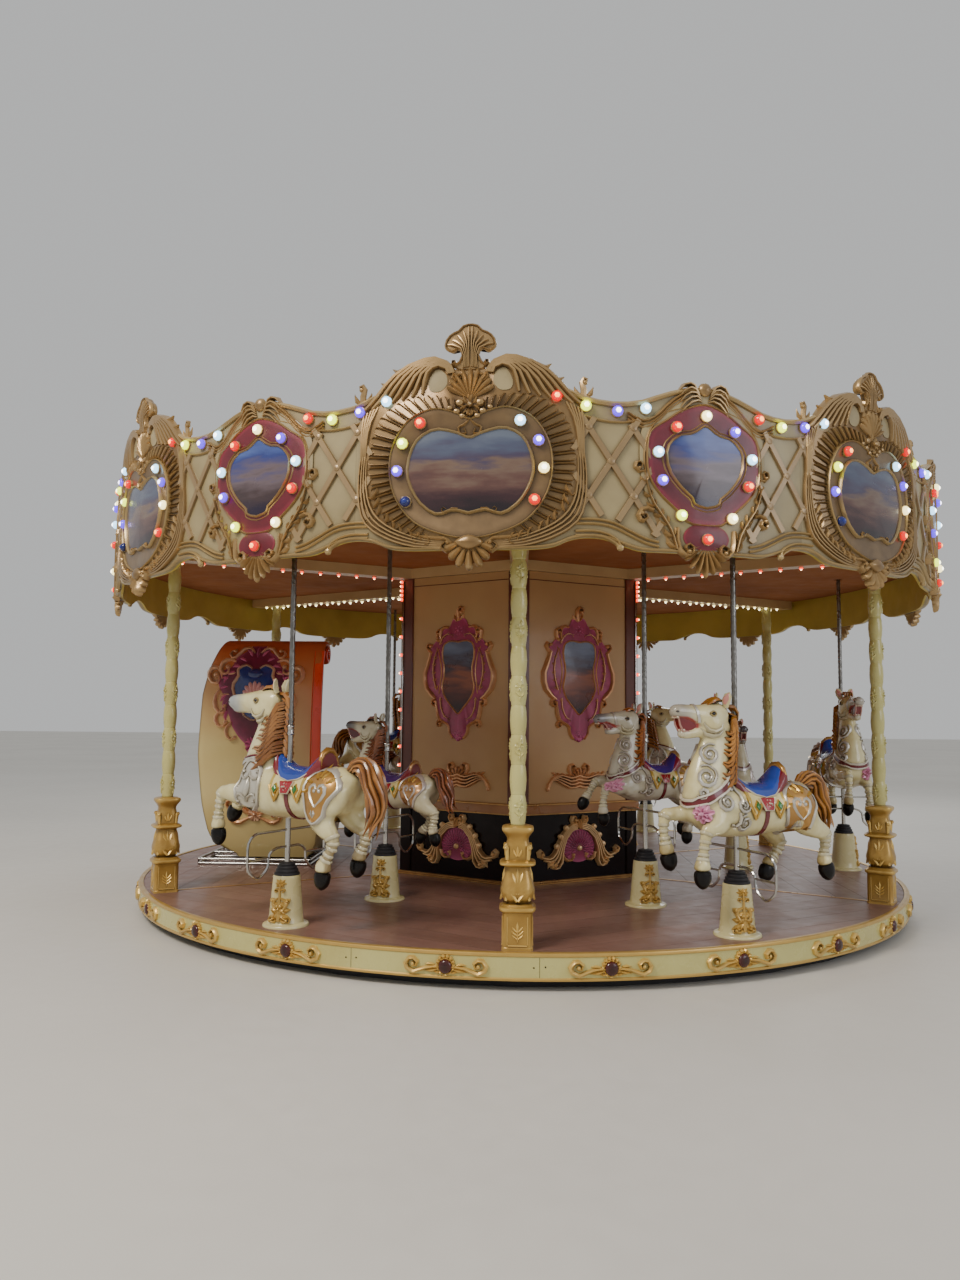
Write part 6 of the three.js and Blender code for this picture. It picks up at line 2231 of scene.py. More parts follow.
            made["trim"].append(sweep(path, 0.008, 0.01, ROLL, up=ups))
            path = np.array([skin.ring_point(a, side * h, seat(a, 1.0) + 0.002) for a, h in zip(x, half)])
            ups = np.array([(0, side * math.sin(h), math.cos(h)) for h in half])
            made["piping"].append(sweep(path, 0.0035, 0.006, ROLL, up=ups))
        across = np.linspace(-1, 1, 17)
        roll = np.array([skin.ring_point(rear - 0.006, a * 0.46, seat(rear, a) - 0.004) for a in across])
        made["rump"] = [sweep(roll, (0.01, 0.017, 0.02, 0.017, 0.01), (0.01, 0.017, 0.02, 0.017, 0.01), disc(10),
            up=(1, 0, 0))]
        turns = np.arange(24) * TAU / 24
        around = np.array([skin.ring_point(girth, a, 0.0) for a in turns])
        ups = np.column_stack([0 * turns, np.sin(turns), np.cos(turns)])
        made["strap"] = [sweep(around, 0.015, 0.007, STRIP, up=ups, closed=True)]
        return made

    def rump_panel(self, made: Groups, skin: Skin, side: int) -> None:
        """The gilt panel on one flank: a raised edge, a heart of two scrolls, two leaves under it, six over it.

        Args:
            made: The groups it is added to.
            skin: The body.
            side: 1 for the left flank, -1 for the right.
        """
        flip, lay = facing(side), skin.flank(side)
        panel = curve(np.array([(-0.262, 0.275), (-0.258, 0.165), (-0.285, 0.075), (-0.34, 0.018), (-0.405, 0.06),
            (-0.44, 0.15), (-0.495, 0.225), (-0.45, 0.305), (-0.35, 0.33)]) * (flip, 1), 44, True)
        panel = panel if side > 0 else panel[::-1]
        made["rump"].append(pillow(panel, -0.01, [(1, 0.006), (0.8, 0.008), (0.4, 0.008)],
            (-0.375 * flip, 0.19)).mapped(lay))
        edge = np.column_stack([panel, np.full(len(panel), 0.004)])
        made["armour"].append(sweep(edge, 0.011, 0.015, closed=True).mapped(lay))
        for k in (-1, 1):
            heart = np.array([(0, -0.072), (0.034, -0.036), (0.06, 0.008), (0.054, 0.044), (0.024, 0.052),
                (0.008, 0.03), (0.02, 0.016)]) * (k, 1)
            eye = heart[-1] + (-0.362 * flip, 0.192)
            made["armour"] += [sweep(curve(heart + (-0.362 * flip, 0.19), 32), (0.005, 0.012, 0.013, 0.01, 0.008),
                0.015).mapped(lay), ball((*eye, 0.004), (0.013, 0.013, 0.012), 10, 6).mapped(lay),
                finger((-0.345 * flip, 0.055), 90 + 28 * k, 0.062, -50 * k, 0.013, 0.018).mapped(lay)]
        for x, z, heading in ((-0.345, 0.275, 60), (-0.385, 0.275, 120), (-0.31, 0.255, 20), (-0.42, 0.255, 160),
                (-0.365, 0.285, 90), (-0.29, 0.215, -20)):
            leaf = finger((x * flip, z), heading if side < 0 else 180 - heading, 0.075, 30, 0.016, 0.026)
            made["trim"].append(leaf.mapped(lay))

    def shoulder_plate(self, made: Groups, skin: Skin, side: int) -> Sequence:
        """The silver plate on one shoulder, with a raised edge and a boss.

        Args:
            made: The groups it is added to.
            skin: The body.
            side: 1 for the left flank, -1 for the right.

        Returns:
            Place, headings and length of the scrolls that go on it.
        """
        flip, lay = facing(side), skin.flank(side)
        plate = curve(np.array([(0.235, 0.365), (0.305, 0.25), (0.275, 0.115), (0.205, 0.05), (0.13, 0.105),
            (0.112, 0.23), (0.15, 0.345)]) * (flip, 1), 40, True)
        plate = plate if side > 0 else plate[::-1]
        middle = (0.205 * flip, 0.205)
        inner = np.array(middle) + (plate[:, :2] - middle) * 0.97
        made["armour"] += [pillow(plate, -0.01, [(1, 0.006), (0.8, 0.008), (0.4, 0.008)], middle).mapped(lay),
            sweep(np.column_stack([inner, np.full(len(inner), 0.005)]), 0.011, 0.015, closed=True).mapped(lay),
            ball((*middle, 0.006), (0.022, 0.062, 0.024), 14, 8).mapped(lay)]
        return (((0.205, 0.115), (90, 40, 0, -80, -180), 0.15), ((0.205, 0.115), (90, 140, 180, 260, 360), 0.15),
                ((0.205, 0.3), (-90, -40, 0, 80, 180), 0.15), ((0.205, 0.3), (-90, -140, -180, -260, -360), 0.15))

    def neck_spirals(self, made: Groups, skin: Skin, side: int) -> Sequence:
        """The silver spirals on one side of the neck and shoulder.

        Args:
            made: The groups they are added to.
            skin: The body.
            side: 1 for the left flank, -1 for the right.

        Returns:
            Place, headings and length of the scrolls that go with them.
        """
        flip, lay = facing(side), skin.flank(side)
        for (x, y, z), size, start, turns in (((0.235, 0.062, 0.505), 0.062, 60, -1.6),
                ((0.272, 0.08, 0.378), 0.068, 120, 1.6), ((0.3, 0.08, 0.285), 0.036, 200, -1.3)):
            slanted = skin.projected((x, side * y, z), (-0.87 * side, 0.5, 0), (0, 0, 1))
            made["armour"] += [s.mapped(slanted) for s in spiral((0, 0), size, start, turns * flip, 0.0115, 0.014)]
        for (x, z), size, start, turns in (((0.175, 0.235), 0.056, 90, -1.6), ((0.055, 0.215), 0.046, 30, 1.5),
                ((0.045, 0.11), 0.052, 90, -1.5), ((0.12, 0.33), 0.034, 60, 1.3)):
            swirl = spiral((x * flip, z), size, start, turns * flip, 0.0115, 0.014)
            made["armour"] += [s.mapped(lay) for s in swirl]
        return ((0.105, 0.335), (-100, -130, -100, -60), 0.12), ((0.095, 0.175), (-120, -90, -30, 40), 0.13)

    def straps(self, made: Groups, skin: Skin, side: int) -> None:
        """One side of the breast strap, and with spirals of the nose band.

        Args:
            made: The groups they are added to.
            skin: The body.
            side: 1 for the left flank, -1 for the right.
        """
        if self.livery is Livery.PLATE:
            line = np.array([(0.105, side * 0.11, 0.37), (0.19, side * 0.1, 0.375), (0.26, side * 0.08, 0.36),
                (0.325, side * 0.04, 0.33), (0.345, 0.0, 0.32)])
            made["armour"].append(skin.strap(line, 0.014, 0.012))
            made["strap"].append(skin.strap(line + (0, 0, 0.02), 0.005, 0.012))
            return
        line = np.array([(0.05, side * 0.12, 0.395), (0.12, side * 0.135, 0.35), (0.19, side * 0.12, 0.302),
            (0.255, side * 0.1, 0.262), (0.31, side * 0.06, 0.235), (0.345, 0.0, 0.225)])
        made["strap"].append(skin.strap(line, 0.018, 0.013))
        made["piping"] += [skin.strap(line + (0.3 * dz, 0, dz), 0.006, 0.016) for dz in (-0.021, 0.021)]
        x, _, z = self.gait.head[3][:3]
        band = [(x + 0.03, 0.0, z + 0.07), (x + 0.03, side * 0.05, z + 0.03), (x + 0.02, side * 0.055, z - 0.02),
                (x + 0.01, side * 0.045, z - 0.045)]
        made["armour"].append(skin.strap(band, 0.009, 0.006, 14))

    def leg_bands(self) -> list[Solid]:
        """Five ribs round each leg, below its knee or hock."""
        made = []
        a = np.arange(14) * TAU / 14
        for leg in self.legs():
            line = curve(leg, 60)
            for share in (0.47, 0.545, 0.62, 0.695, 0.77):
                i = int(share * 59)
                at, way = line[i, :3], line[i + 1, :3] - line[i - 1, :3]
                way = way / np.linalg.norm(way)
                across = np.cross((1, 0, 0.3), way)
                across /= np.linalg.norm(across)
                fore = np.cross(way, across)
                w, h = line[i, 3] * 0.98, line[i, 4] * 0.98
                ring = at + np.cos(a)[:, None] * w * across + np.sin(a)[:, None] * h * fore
                made.append(sweep(ring, 0.012, 0.0055, RIB, up=(ring - at), closed=True))
        return made

    def ornament(self, skin: Skin) -> Groups:
        """Rump panels, shoulder plates or spirals, breast strap, leg bands and a breast flower, by colour."""
        made: Groups = {key: [] for key in ("armour", "rump", "strap", "flower", "trim", "band", "piping")}
        for side in (1, -1):
            flip, lay = facing(side), skin.flank(side)
            self.rump_panel(made, skin, side)
            shoulder = self.shoulder_plate if self.livery is Livery.PLATE else self.neck_spirals
            for (x, z), angles, size in shoulder(made, skin, side):
                heads = [180 - h for h in angles] if side > 0 else list(angles)
                made["armour"] += [s.mapped(lay) for s in scroll((x * flip, z), heads, size,
                    (0.006, 0.011, 0.01, 0.006), 0.022, 0.01)]
            self.straps(made, skin, side)
        made["band"] = self.leg_bands()
        if self.livery is Livery.SPIRALS:
            lay = skin.projected((0.3, 0.085, 0.17), (-0.45, 0.89, 0), (0, 0, 1))
            blossom = flower((0, 0), 0.058, 7, 0.03) + flower((0, 0), 0.034, 6, 0.048)
            made["flower"] = [s.mapped(lay) for s in blossom]
        return made

    def face(self, skin: Skin) -> Groups:
        """Eyes with lids, nostrils, cheek folds and, in an open mouth, its depth, tongue, lip and teeth."""
        g = self.gait
        made: Groups = {key: [] for key in ("eye", "lid", "nostril", "tooth", "band", "mouth", "tongue", "lip")}
        for side in (-1, 1):
            flip, lay = facing(side), skin.flank(side)
            ex, ez = g.head[2][0] + 0.012, g.head[2][2] + 0.022
            made["eye"].append(ball((ex * flip, ez, 0.002), (0.014, 0.011, 0.009), 12, 8).mapped(lay))
            for dz, bend in mm(2, 9, 5, -10, -5):
                lid = curve([((ex - 0.02) * flip, ez + dz * 0.3, 0.002), (ex * flip, ez + dz + bend, 0.006),
                             ((ex + 0.02) * flip, ez + dz * 0.2, 0.002)], 8)
                made["lid"].append(sweep(lid, 0.004, 0.007).mapped(lay))
            for r, low, high in ((0.06, -172, -5), (0.086, -150, -28)):
                a = np.radians(np.linspace(low, high, 18))
                fold = np.column_stack([(ex - 0.01 + r * np.cos(a)) * flip, ez - 0.046 + r * np.sin(a), 0 * a])
                made["band"].append(sweep(fold, (0.004, 0.012, 0.014, 0.011, 0.003), (0.004, 0.016, 0.005)).mapped(lay))
            nx, nz = g.head[-1][0] - 0.022, g.head[-1][2] + 0.004
            made["nostril"].append(ball((nx * flip, nz, 0.001), (0.01, 0.006, 0.003), 10, 6).mapped(lay))
        if g.open_mouth:
            gape = np.array([(g.jaw[1][0] + 0.005, 0.69), (g.jaw[1][0] + 0.01, 0.66), (g.jaw[3][0] - 0.02, 0.63),
                (g.jaw[3][0] + 0.028, 0.636), (g.jaw[3][0] + 0.048, 0.672), (g.head[-1][0] - 0.036, 0.725),
                (g.head[4][0], 0.735)])
            rings = [np.column_stack([gape[:, 0], np.full(7, y), gape[:, 1]]) for y in (-0.023, 0.023)]
            made["mouth"].append(loft(np.array(rings)[:, ::-1]))
            tongue = ((g.jaw[1][0] + 0.06, 0, 0.664, 0.018, 0.024), (g.jaw[3][0], 0, 0.65, 0.016, 0.024),
                      (g.jaw[3][0] + 0.038, 0, 0.656, 0.011, 0.015))
            made["tongue"] = [limb(tongue, (0, 0, 1), 12, 10)]
            made["lip"] = [sweep(ring, 0.0065, 0.0065, disc(6), up=(0, 1, 0), closed=True) for ring in rings]
            for k in range(5):
                y = (k - 2) * 0.012
                made["tooth"].append(box((g.head[-1][0] - 0.03 - abs(k - 2) * 0.005, y - 0.005, g.head[-1][2] - 0.036),
                    (g.head[-1][0] - 0.014 - abs(k - 2) * 0.005, y + 0.005, g.head[-1][2] - 0.02), 0.002))
                made["tooth"].append(box((g.jaw[-1][0] - 0.02 - abs(k - 2) * 0.005, y - 0.005, g.jaw[-1][2] + 0.008),
                    (g.jaw[-1][0] - 0.006 - abs(k - 2) * 0.005, y + 0.005, g.jaw[-1][2] + 0.022), 0.002))
        return made

    def parts(self) -> list[tuple[Solid, str, np.ndarray]]:
        """Everything with its finish's name and the paint on each point."""
        c = self.coat
        skin = self.skin()
        solid = skin.solid
        made = [(solid, "body", self.paint(solid.points))]

        def plain(solids: Sequence[Solid], colour: str, finish: str = "enamel") -> None:
            """Adds solids in one colour."""
            if solids:
                whole = merged(solids)
                made.append((whole, finish, np.tile(linear(colour)[:3], (len(whole.points), 1))))

        plain([self.hoof(s) for s in self.legs()], c.hoof, "hoof")
        hair = merged([*self.mane(), *self.tail()])
        deep = 0.5 + 0.5 * np.sin(hair.points @ (31.0, 17.0, 23.0))[:, None]
        made.append((hair, "hair", np.array(linear(c.mane)[:3]) * (1 - deep) + np.array(linear(c.mane_dark)[:3])
                     * deep))
        outer, inner = self.ears()
        plain(outer, c.body)
        plain(inner, c.ear)
        colours = {**asdict(c), **FIXED_COLOURS, "lid": c.shade}
        for group in (self.saddle(skin), self.ornament(skin), self.face(skin)):
            for key, solids in group.items():
                plain(solids, colours[key], PART_FINISHES.get(key, "enamel"))
        return made


@dataclass
class Herd:
    """Ten horses from four designs, each scaled and set on its pole."""

    def designs(self) -> list[Horse]:
        """Front left, inner left, front right and inner right."""
        grey = Coat(body="#d3ccae", shade="#978b74", muzzle="#5c5a60", mouth="#5a1416", mane="#a05c30",
                    mane_dark="#763d1c", saddle="#4a2f7a", rump="#b98a58", armour="#cfc6c2")
        silver = Coat(body="#cdc7b2", shade="#968a76", muzzle="#8a878b", mane="#c4763a", mane_dark="#95501f",
                      saddle="#3c2a86", border="#8a2038", rump="#c2a070", armour="#d0c8c0")
        gold = Coat(body="#e6dca8", shade="#ab9968", muzzle="#b9b4a8", mane="#bd8034", mane_dark="#96601f",
                    flower="#d97a9e", armour="#cfccc4")
        return [Horse(STRETCHED, Coat()), Horse(REACHING, grey), Horse(REACHING, gold, Livery.SPIRALS),
                Horse(replace(STRETCHED, open_mouth=True, jaw=REACHING.jaw), silver, Livery.SPIRALS)]

    def build(self) -> None:
        """Front rides take their own designs and the rest repeat them."""
        designs = [design.parts() for design in self.designs()]
        for ride in RIDES:
            piece = Piece(f"horse_{ride.number}")
            lay = placed(ride.azimuth, ride.radius, DECK + ride.bar + 0.15, 180.0)
            for solid, finish, paint in designs[(0, 1, 2, 3, 2, 1, 0, 3, 2, 1)[ride.number - 1]]:
                piece.add(solid.moved(scale=ride.scale), HORSE_FINISHES[finish], lay, paint)
            piece.finish(f"ride_{ride.number}", "horse_enamel", (f"horse_{ride.number}",))


# Chariot


BACK_ROWS = 46  # rows up the back
ROLLED_ROW = 32  # the first of those that roll forward over its top


@dataclass
class Chariot:
    """The bench with its cheeks and front, and the tall back that rolls forward on top.

    Attributes:
        left: x of its left side.
        right: x of its right side.
        wall: Thickness of the back.
        line: The back's middle line, as y and height above the deck.
        edge: How far its left edge is drawn in, by height above the deck.
        right_edge: The same of its right edge.
        brow: The start of the cheeks' top, as y and height above the deck.
    """

    left: float = -2.745
    right: float = -1.655
    wall: float = 0.046
    line: tuple = mm(2, -125, 61, -205, 240, -272, 520, -292, 840, -285, 1200, -255, 1520, -200, 1740, -120, 1850,
        -20, 1868, 45, 1810, 30, 1730, -40, 1715)
    edge: tuple = mm(2, 61, 360, 108, 340, 140, 220, 250, 130, 490, 86, 917, 46, 1431, 64, 1650, 110, 1800, 165,
        1870, 200)
    right_edge: tuple = mm(2, 61, 120, 160, 50, 400, 10, 800, 0, 1600, 0, 1870, 10)
    brow: tuple = mm(2, -90, 800, 20, 745, 170, 620, 300, 545, 440, 520, 570, 560, 690, 640, 755, 730)

    def sheet(self) -> Solid:
        """The back: a rounded section as wide as the chariot there, carried along its line."""
        line = curve(self.line, BACK_ROWS)
        run = np.gradient(line, axis=0)
        run /= np.linalg.norm(run, axis=1, keepdims=True)
        out = np.column_stack([-run[:, 1], run[:, 0]])
        inset, inset_right = (np.interp(line[:, 1], *np.array(knots).T) for knots in (self.edge, self.right_edge))
        rolled = np.arange(BACK_ROWS) >= ROLLED_ROW
        inset[rolled], inset_right[rolled] = 0.195, 0.0
        t = self.wall / 2
        rings = []
        for (y, z), (oy, oz), g, r in zip(line, out, inset, inset_right):
            x0, x1 = self.left + g, self.right - r
            x = np.linspace(x0 + t, x1 - t, 24)
            back = [(a, y - oy * t, z - oz * t) for a in x]
            fore = [(a, y + oy * t, z + oz * t) for a in x[::-1]]
            rings.append([*back, (x1 - t * 0.3, y - oy * t * 0.7, z - oz * t * 0.7), (x1, y, z),
                          (x1 - t * 0.3, y + oy * t * 0.7, z + oz * t * 0.7), *fore,
                          (x0 + t * 0.3, y + oy * t * 0.7, z + oz * t * 0.7), (x0, y, z),
                          (x0 + t * 0.3, y - oy * t * 0.7, z - oz * t * 0.7)])
        return loft(np.array(rings)[:, ::-1])

    def wings(self) -> list[Solid]:
        """The two side strips that join the back's edges to the roll, each a thin upright panel."""
        made = []
        z = np.linspace(0.5, 1.735, 24)
        rear = np.interp(z, [p[1] for p in self.line[:9]], [p[0] for p in self.line[:9]]) + 0.01
        fore = rear + 0.01 + np.interp(z, (0.5, 0.62, 0.85, 1.55, 1.735), (0.15, 0.235, 0.27, 0.265, 0.215))
        for x in (self.left + 0.215, self.right - 0.07 - 0.02):
            rings = [[(x, a, h), (x + 0.02, a, h), (x + 0.02, b, h), (x, b, h)] for a, b, h in zip(rear, fore, z)]
            made.append(loft(np.array(rings)))
        return made

    def carving(self) -> tuple[list[Solid], Solid, Solid, list[Solid]]:
        """The back's ornament about its centre: gold and rose scrolls, magenta field, blue centre, pleated fan."""
        half = []
        for start, angles, size, wide in (((0.03, 0.4), (60, 20, -20, -60, -10, 90, 200), 0.38, 0.018),
                ((0.205, 0.32), (30, 0, -50, -110, -200, -310), 0.36, 0.022),
                ((0.33, 0.17), (80, 60, 10, -60, -110, -160, -250, -350), 0.46, 0.024),
                ((0.35, 0.08), (-50, -70, -100, -130, -200, -300), 0.34, 0.022),
                ((0.3, -0.1), (-20, -50, -110, -170, -260), 0.28, 0.02),
                ((0.215, -0.21), (-30, -60, -110, -150, -240), 0.24, 0.018)):
            half += scroll(start, angles, size, (0.008, wide, wide * 0.85, 0.008), 0.046, wide * 0.95)
        half += [finger((0.3, 0.22), 190, 0.14, -40, 0.022, 0.032), finger((0.33, 0.02), 160, 0.12, 40, 0.02, 0.03),
                 finger((0.2, -0.1), 150, 0.14, 30, 0.02, 0.03), finger((0.06, 0.41), 60, 0.09, 40, 0.014, 0.03)]
        inner = [sweep(curve(mm(2, 40, 265, 100, 290, 175, 255, 170, 190, 215, 120, 195, 20, 120, -50, 90, -150,
            0, -190), 34), (0.009, 0.019, 0.019, 0.01), 0.042)]
        field_plate = pillow(mirrored_outline(mm(2, 0, 460, 60, 470, 120, 410, 200, 360, 250, 270, 345, 230, 365, 120,
            310, 20, 315, -80, 245, -150, 205, -250, 115, -360, 0, -430), 110), 0,
            [(1, 0.01), (0.93, 0.016), (0.75, 0.017), (0.5, 0.018), (0.25, 0.018)])
        centre = pillow(mirrored_outline(mm(2, 0, 235, 100, 285, 170, 245, 165, 190, 205, 120, 185, 20, 115, -50,
            85, -150, 0, -185), 70), 0, [(1, 0.02), (0.9, 0.026), (0.6, 0.028), (0.3, 0.028)])
        pleats = fan((0, -0.01), 0.02, (0.125, 0.155, 0.165, 0.155, 0.125), np.linspace(14, 166, 9), 0.024, 0.056, ROLL)
        pleats += fan((0, 0.0), 0.02, (0.07, 0.08, 0.08, 0.07), np.linspace(-150, -30, 5), 0.022, 0.05, ROLL)
        return [*both_sides(half), *both_sides(inner)], field_plate, centre, pleats

    def on_back(self, x0: float, z0: float) -> Map:
        """Lays a carving on the back's rear face.

        Args:
            x0: Where the carving's middle is across the back.
            z0: Its height above the floor.

        Returns:
            The mapping; each point's depth is that of the face at its height.
        """
        line = curve(self.line, BACK_ROWS)[:ROLLED_ROW]

        def mapping(p: np.ndarray) -> np.ndarray:
            """x along the back, height as given, depth outwards to the rear."""
            z = z0 + p[:, 1]
            y = np.interp(z - DECK, line[:, 1], line[:, 0]) - self.wall / 2
            return np.column_stack([x0 + p[:, 0], y - p[:, 2], z])
        return mapping

    def tub(self, p: np.ndarray) -> np.ndarray:
        """Draws the body's sides in towards its foot as the back's edges are: x squeezed between its insets."""
        g, r = (np.interp(p[:, 2] - DECK, *np.array(e).T) for e in (self.edge, self.right_edge))
        share = (p[:, 0] - self.left) / (self.right - self.left)
        return np.column_stack([self.left + g + share * (self.right - self.left - g - r), p[:, 1:]])

    def on_flank(self, side: float, sign: int) -> Map:
        """Lays a carving on the cheek at x = side: x to the right of its onlooker, y up, z outwards."""
        return lambda p: self.tub(np.column_stack([side + sign * p[:, 2], 0.37 + sign * p[:, 0], 0.52 + p[:, 1]]))

    def cheek(self, x: float) -> Solid:
        """One side panel: a smooth low sweep between the back and the raised front, on x and 36 mm thick."""
        top = curve([*self.brow, (0.8, 0.79), (0.835, 0.7), (0.84, 0.42), (0.82, 0.22), (0.8, 0.062)], 52)
        outline = np.vstack([[(-0.09, 0.062)], top])[::-1]
        c = (0.36, 0.3)
        rings = [np.column_stack([np.full(len(outline), x + dx), c[0] + (outline[:, 0] - c[0]) * s, c[1]
            + (outline[:, 1] - c[1]) * s + DECK]) for s, dx in ((MIDDLE, 0), (0.985, 0), (1, 0.006), (1, 0.03),
            (0.985, 0.036), (MIDDLE, 0.036))]
        return loft(np.array(rings))

    def airbrushed(self, p: np.ndarray) -> np.ndarray:
        """Linear colour of the back's points: cream below, orange above and to one side, brown along its edge."""
        x, z = p[:, :1], p[:, 2:]
        left = self.left + np.interp(z, *np.array(self.edge).T)
        tone = np.tile(linear(CHARIOT_PAINT.colour)[:3], (len(p), 1))
        for colour, share in (("#cb8350", (z - 1.0) / 0.8), ("#cb5a36", (z - 1.55) / 0.35),
                ("#c4683c", (x + 2.05) / 0.45 * np.clip((z - 0.5) / 0.5, 0, 1) * 0.75),
                ("#6b5a3a", (left + 0.012 - x) / 0.006 * (z < 1.8))):
            s = np.clip(share, 0, 1)
            tone = tone * (1 - s) + np.array(linear(colour)[:3]) * s
        return tone

    def ornament(self, back: Piece) -> None:
        """Adds the upper carving with its petals and rose, then the lower scrolls."""
        over = self.on_back(-2.225, 1.59)

        def lay(p: np.ndarray) -> np.ndarray:
            """The ornament drawn in a little, on the back's rear face."""
            return over(p * (0.86, 0.97, 1.0))

        scrolls, field, centre, pleats = self.carving()
        petals = [finger((0.05 + 0.055 * k, 0.37 - 0.045 * k), 60 - 25 * k, 0.1, -50, 0.022, 0.036) for k in range(5)]
        petals += [finger((0.27, 0.17 - 0.07 * k), 20 - 22 * k, 0.1, -40, 0.02, 0.034) for k in range(5)]
        petals += [finger((0.0, 0.36), 90, 0.13, 0, 0.03, 0.036)]
        back.add(scrolls, ROSE_GILT, lay).add(field, CLARET, lay).add(both_sides(petals), MAGENTA, lay)
        back.add([ball((0.0, 0.215, 0.028), (0.075, 0.04, 0.016), 16, 7), centre], BLUE, lay)
        back.add(pleats, PINK, lay).add(flower((0.0, -0.405), 0.075, 7, 0.045), MAGENTA, lay)
        half = scroll((0.02, 0.0), (10, 30, 60, 40, -20, -100, -200), 0.36, (0.01, 0.024, 0.02, 0.009), 0.036, 0.02)
        half += scroll((0.05, -0.03), (-20, -30, 10, 60, 150, 260), 0.3, (0.01, 0.022, 0.018, 0.009), 0.036, 0.018)
        half += spray(curve(mm(2, 40, 20, 140, 70, 220, 100), 12), 5, 48, -40, (0.13, 0.08), 0.024, 0.032)
        lower = self.on_back(-2.2, 0.62)
        back.add(both_sides(half), RED_GILT, lower).add(flower((0, 0), 0.06, 6, 0.04), ROSE_GILT, lower)

    def back(self) -> None:
        """The airbrushed back with its orange side strips, the curls at their tops, and its ornament."""
        piece, sheet = Piece("chariot_back"), self.sheet()

        def lift(p: np.ndarray) -> np.ndarray:
            """Heights above the deck as heights above the floor."""
            return p + (0, 0, DECK)

        piece.add(sheet, AIRBRUSHED, lift, self.airbrushed(sheet.points))
        band = np.column_stack([np.full(40, self.right - 0.037), np.linspace(0.42, 1.8, 40)])
        piece.add([sweep(band, 0.036, 0.005, STRIP), sweep(band - (0.044, 0), 0.004, 0.008)], CHARIOT_SIDE,
                  self.on_back(0.0, DECK))
        piece.add(self.wings(), CHARIOT_SIDE, lift)
        roll = curve(mm(2, 45, 1800, 20, 1735, -40, 1722, -85, 1765, -60, 1815, -10, 1815, 0, 1785, -25, 1775), 30)
        for x in (self.left + 0.205, self.right - 0.016):
            path = np.column_stack([np.full(30, x), roll])
            piece.add(sweep(path, (0.012, 0.014, 0.01, 0.006), 0.016, disc(8), up=(1, 0, 0)), CHARIOT_SIDE, lift)
        self.ornament(piece)
        piece.finish("turntable", "chariot_paint", ("chariot_shell",))

    def chassis(self) -> list[Solid]:
        """Two layers of steel tube under the body, with posts between them."""
        x0, x1, y0, y1 = self.left + 0.078, self.right - 0.078, -0.274, 0.742
        runs = [((x0, y0), (x0, y1)), ((x1, y0), (x1, y1)), ((x0, y0), (x1, y0)), ((x0, 0.12), (x1, 0.12)),
                ((x0, y1), (x1, y1))]
        tubes = []
        for a, b in runs:
            for z in (0.0125, 0.0475):
                line = np.linspace((*a, DECK + z), (*b, DECK + z), 6)
                tubes.append(sweep(line, 0.0105, 0.0105, disc(12), up=(0, 0, 1)))
            for at in np.linspace(a, b, 7):
                post = np.array([(*at, DECK + 0.002), (*at, DECK + 0.03), (*at, DECK + 0.058)])
                tubes.append(sweep(post, 0.008, 0.008, disc(10), up=(1, 0, 0)))
        return tubes

    def body(self) -> None:
        """Cheeks, front, floor and bench, gold rails and flank scrolls, and the chassis below."""
        body = Piece("chariot_body")
        body.add([self.cheek(self.left), self.cheek(self.right - 0.036)], CHARIOT_PAINT, self.tub)
        for finish, inset, near, far, low, high, bevel in (
                (CHARIOT_PAINT, 0.02, 0.760, 0.799, 0.061, 0.730, 0.008),  # front
                (CHARIOT_PAINT, 0.03, -0.085, 0.790, 0.061, 0.090, 0.004),  # floor
                (CHARIOT_PAINT, 0.037, -0.088, 0.325, 0.085, 0.385, 0.01),  # bench
                (SEAT_VINYL, 0.040, -0.080, 0.338, 0.380, 0.430, 0.022),  # its seat
                (SEAT_VINYL, 0.040, -0.092, -0.045, 0.425, 0.760, 0.018)):  # and back
            body.add(box((self.left + inset, near, DECK + low), (self.right - inset, far, DECK + high), bevel), finish,
                     self.tub)
        rail = curve([(-0.085, 0.8), *self.brow[1:], (0.8, 0.788)], 40)
        for x in (self.left + 0.018, self.right - 0.018):
            path = np.column_stack([np.full(40, x), rail[:, 0], rail[:, 1] + DECK])
            body.add(sweep(path, 0.016, 0.016, disc(10), up=(1, 0, 0)), RICH_GILT, self.tub)
        marks = scroll((0.03, 0.0), (30, 40, 20, -40, -130, -240), 0.44, (0.01, 0.018, 0.015, 0.007), 0.02, 0.014)
        marks += scroll((0.05, -0.03), (-20, -10, 30, 90, 190, 290), 0.34, (0.008, 0.016, 0.012, 0.007), 0.02, 0.012)
        marks += spray(curve(mm(2, 50, 20, 180, 70, 280, 80), 12), 4, 30, -30, (0.09, 0.06), 0.018, 0.018)
        for side, sign in ((self.left, -1), (self.right, 1)):
            flank = self.on_flank(side, sign)
            body.add(both_sides(marks), RICH_GILT, flank).add(flower((0, 0), 0.05, 6, 0.024), MAGENTA, flank)
        body.add(self.chassis(), STEEL)
        body.finish("turntable", "chariot_paint", ("chariot_body",))

    def build(self) -> None:
        """Back and body as two pieces."""
        self.back()
        self.body()




# Camera, floor and light


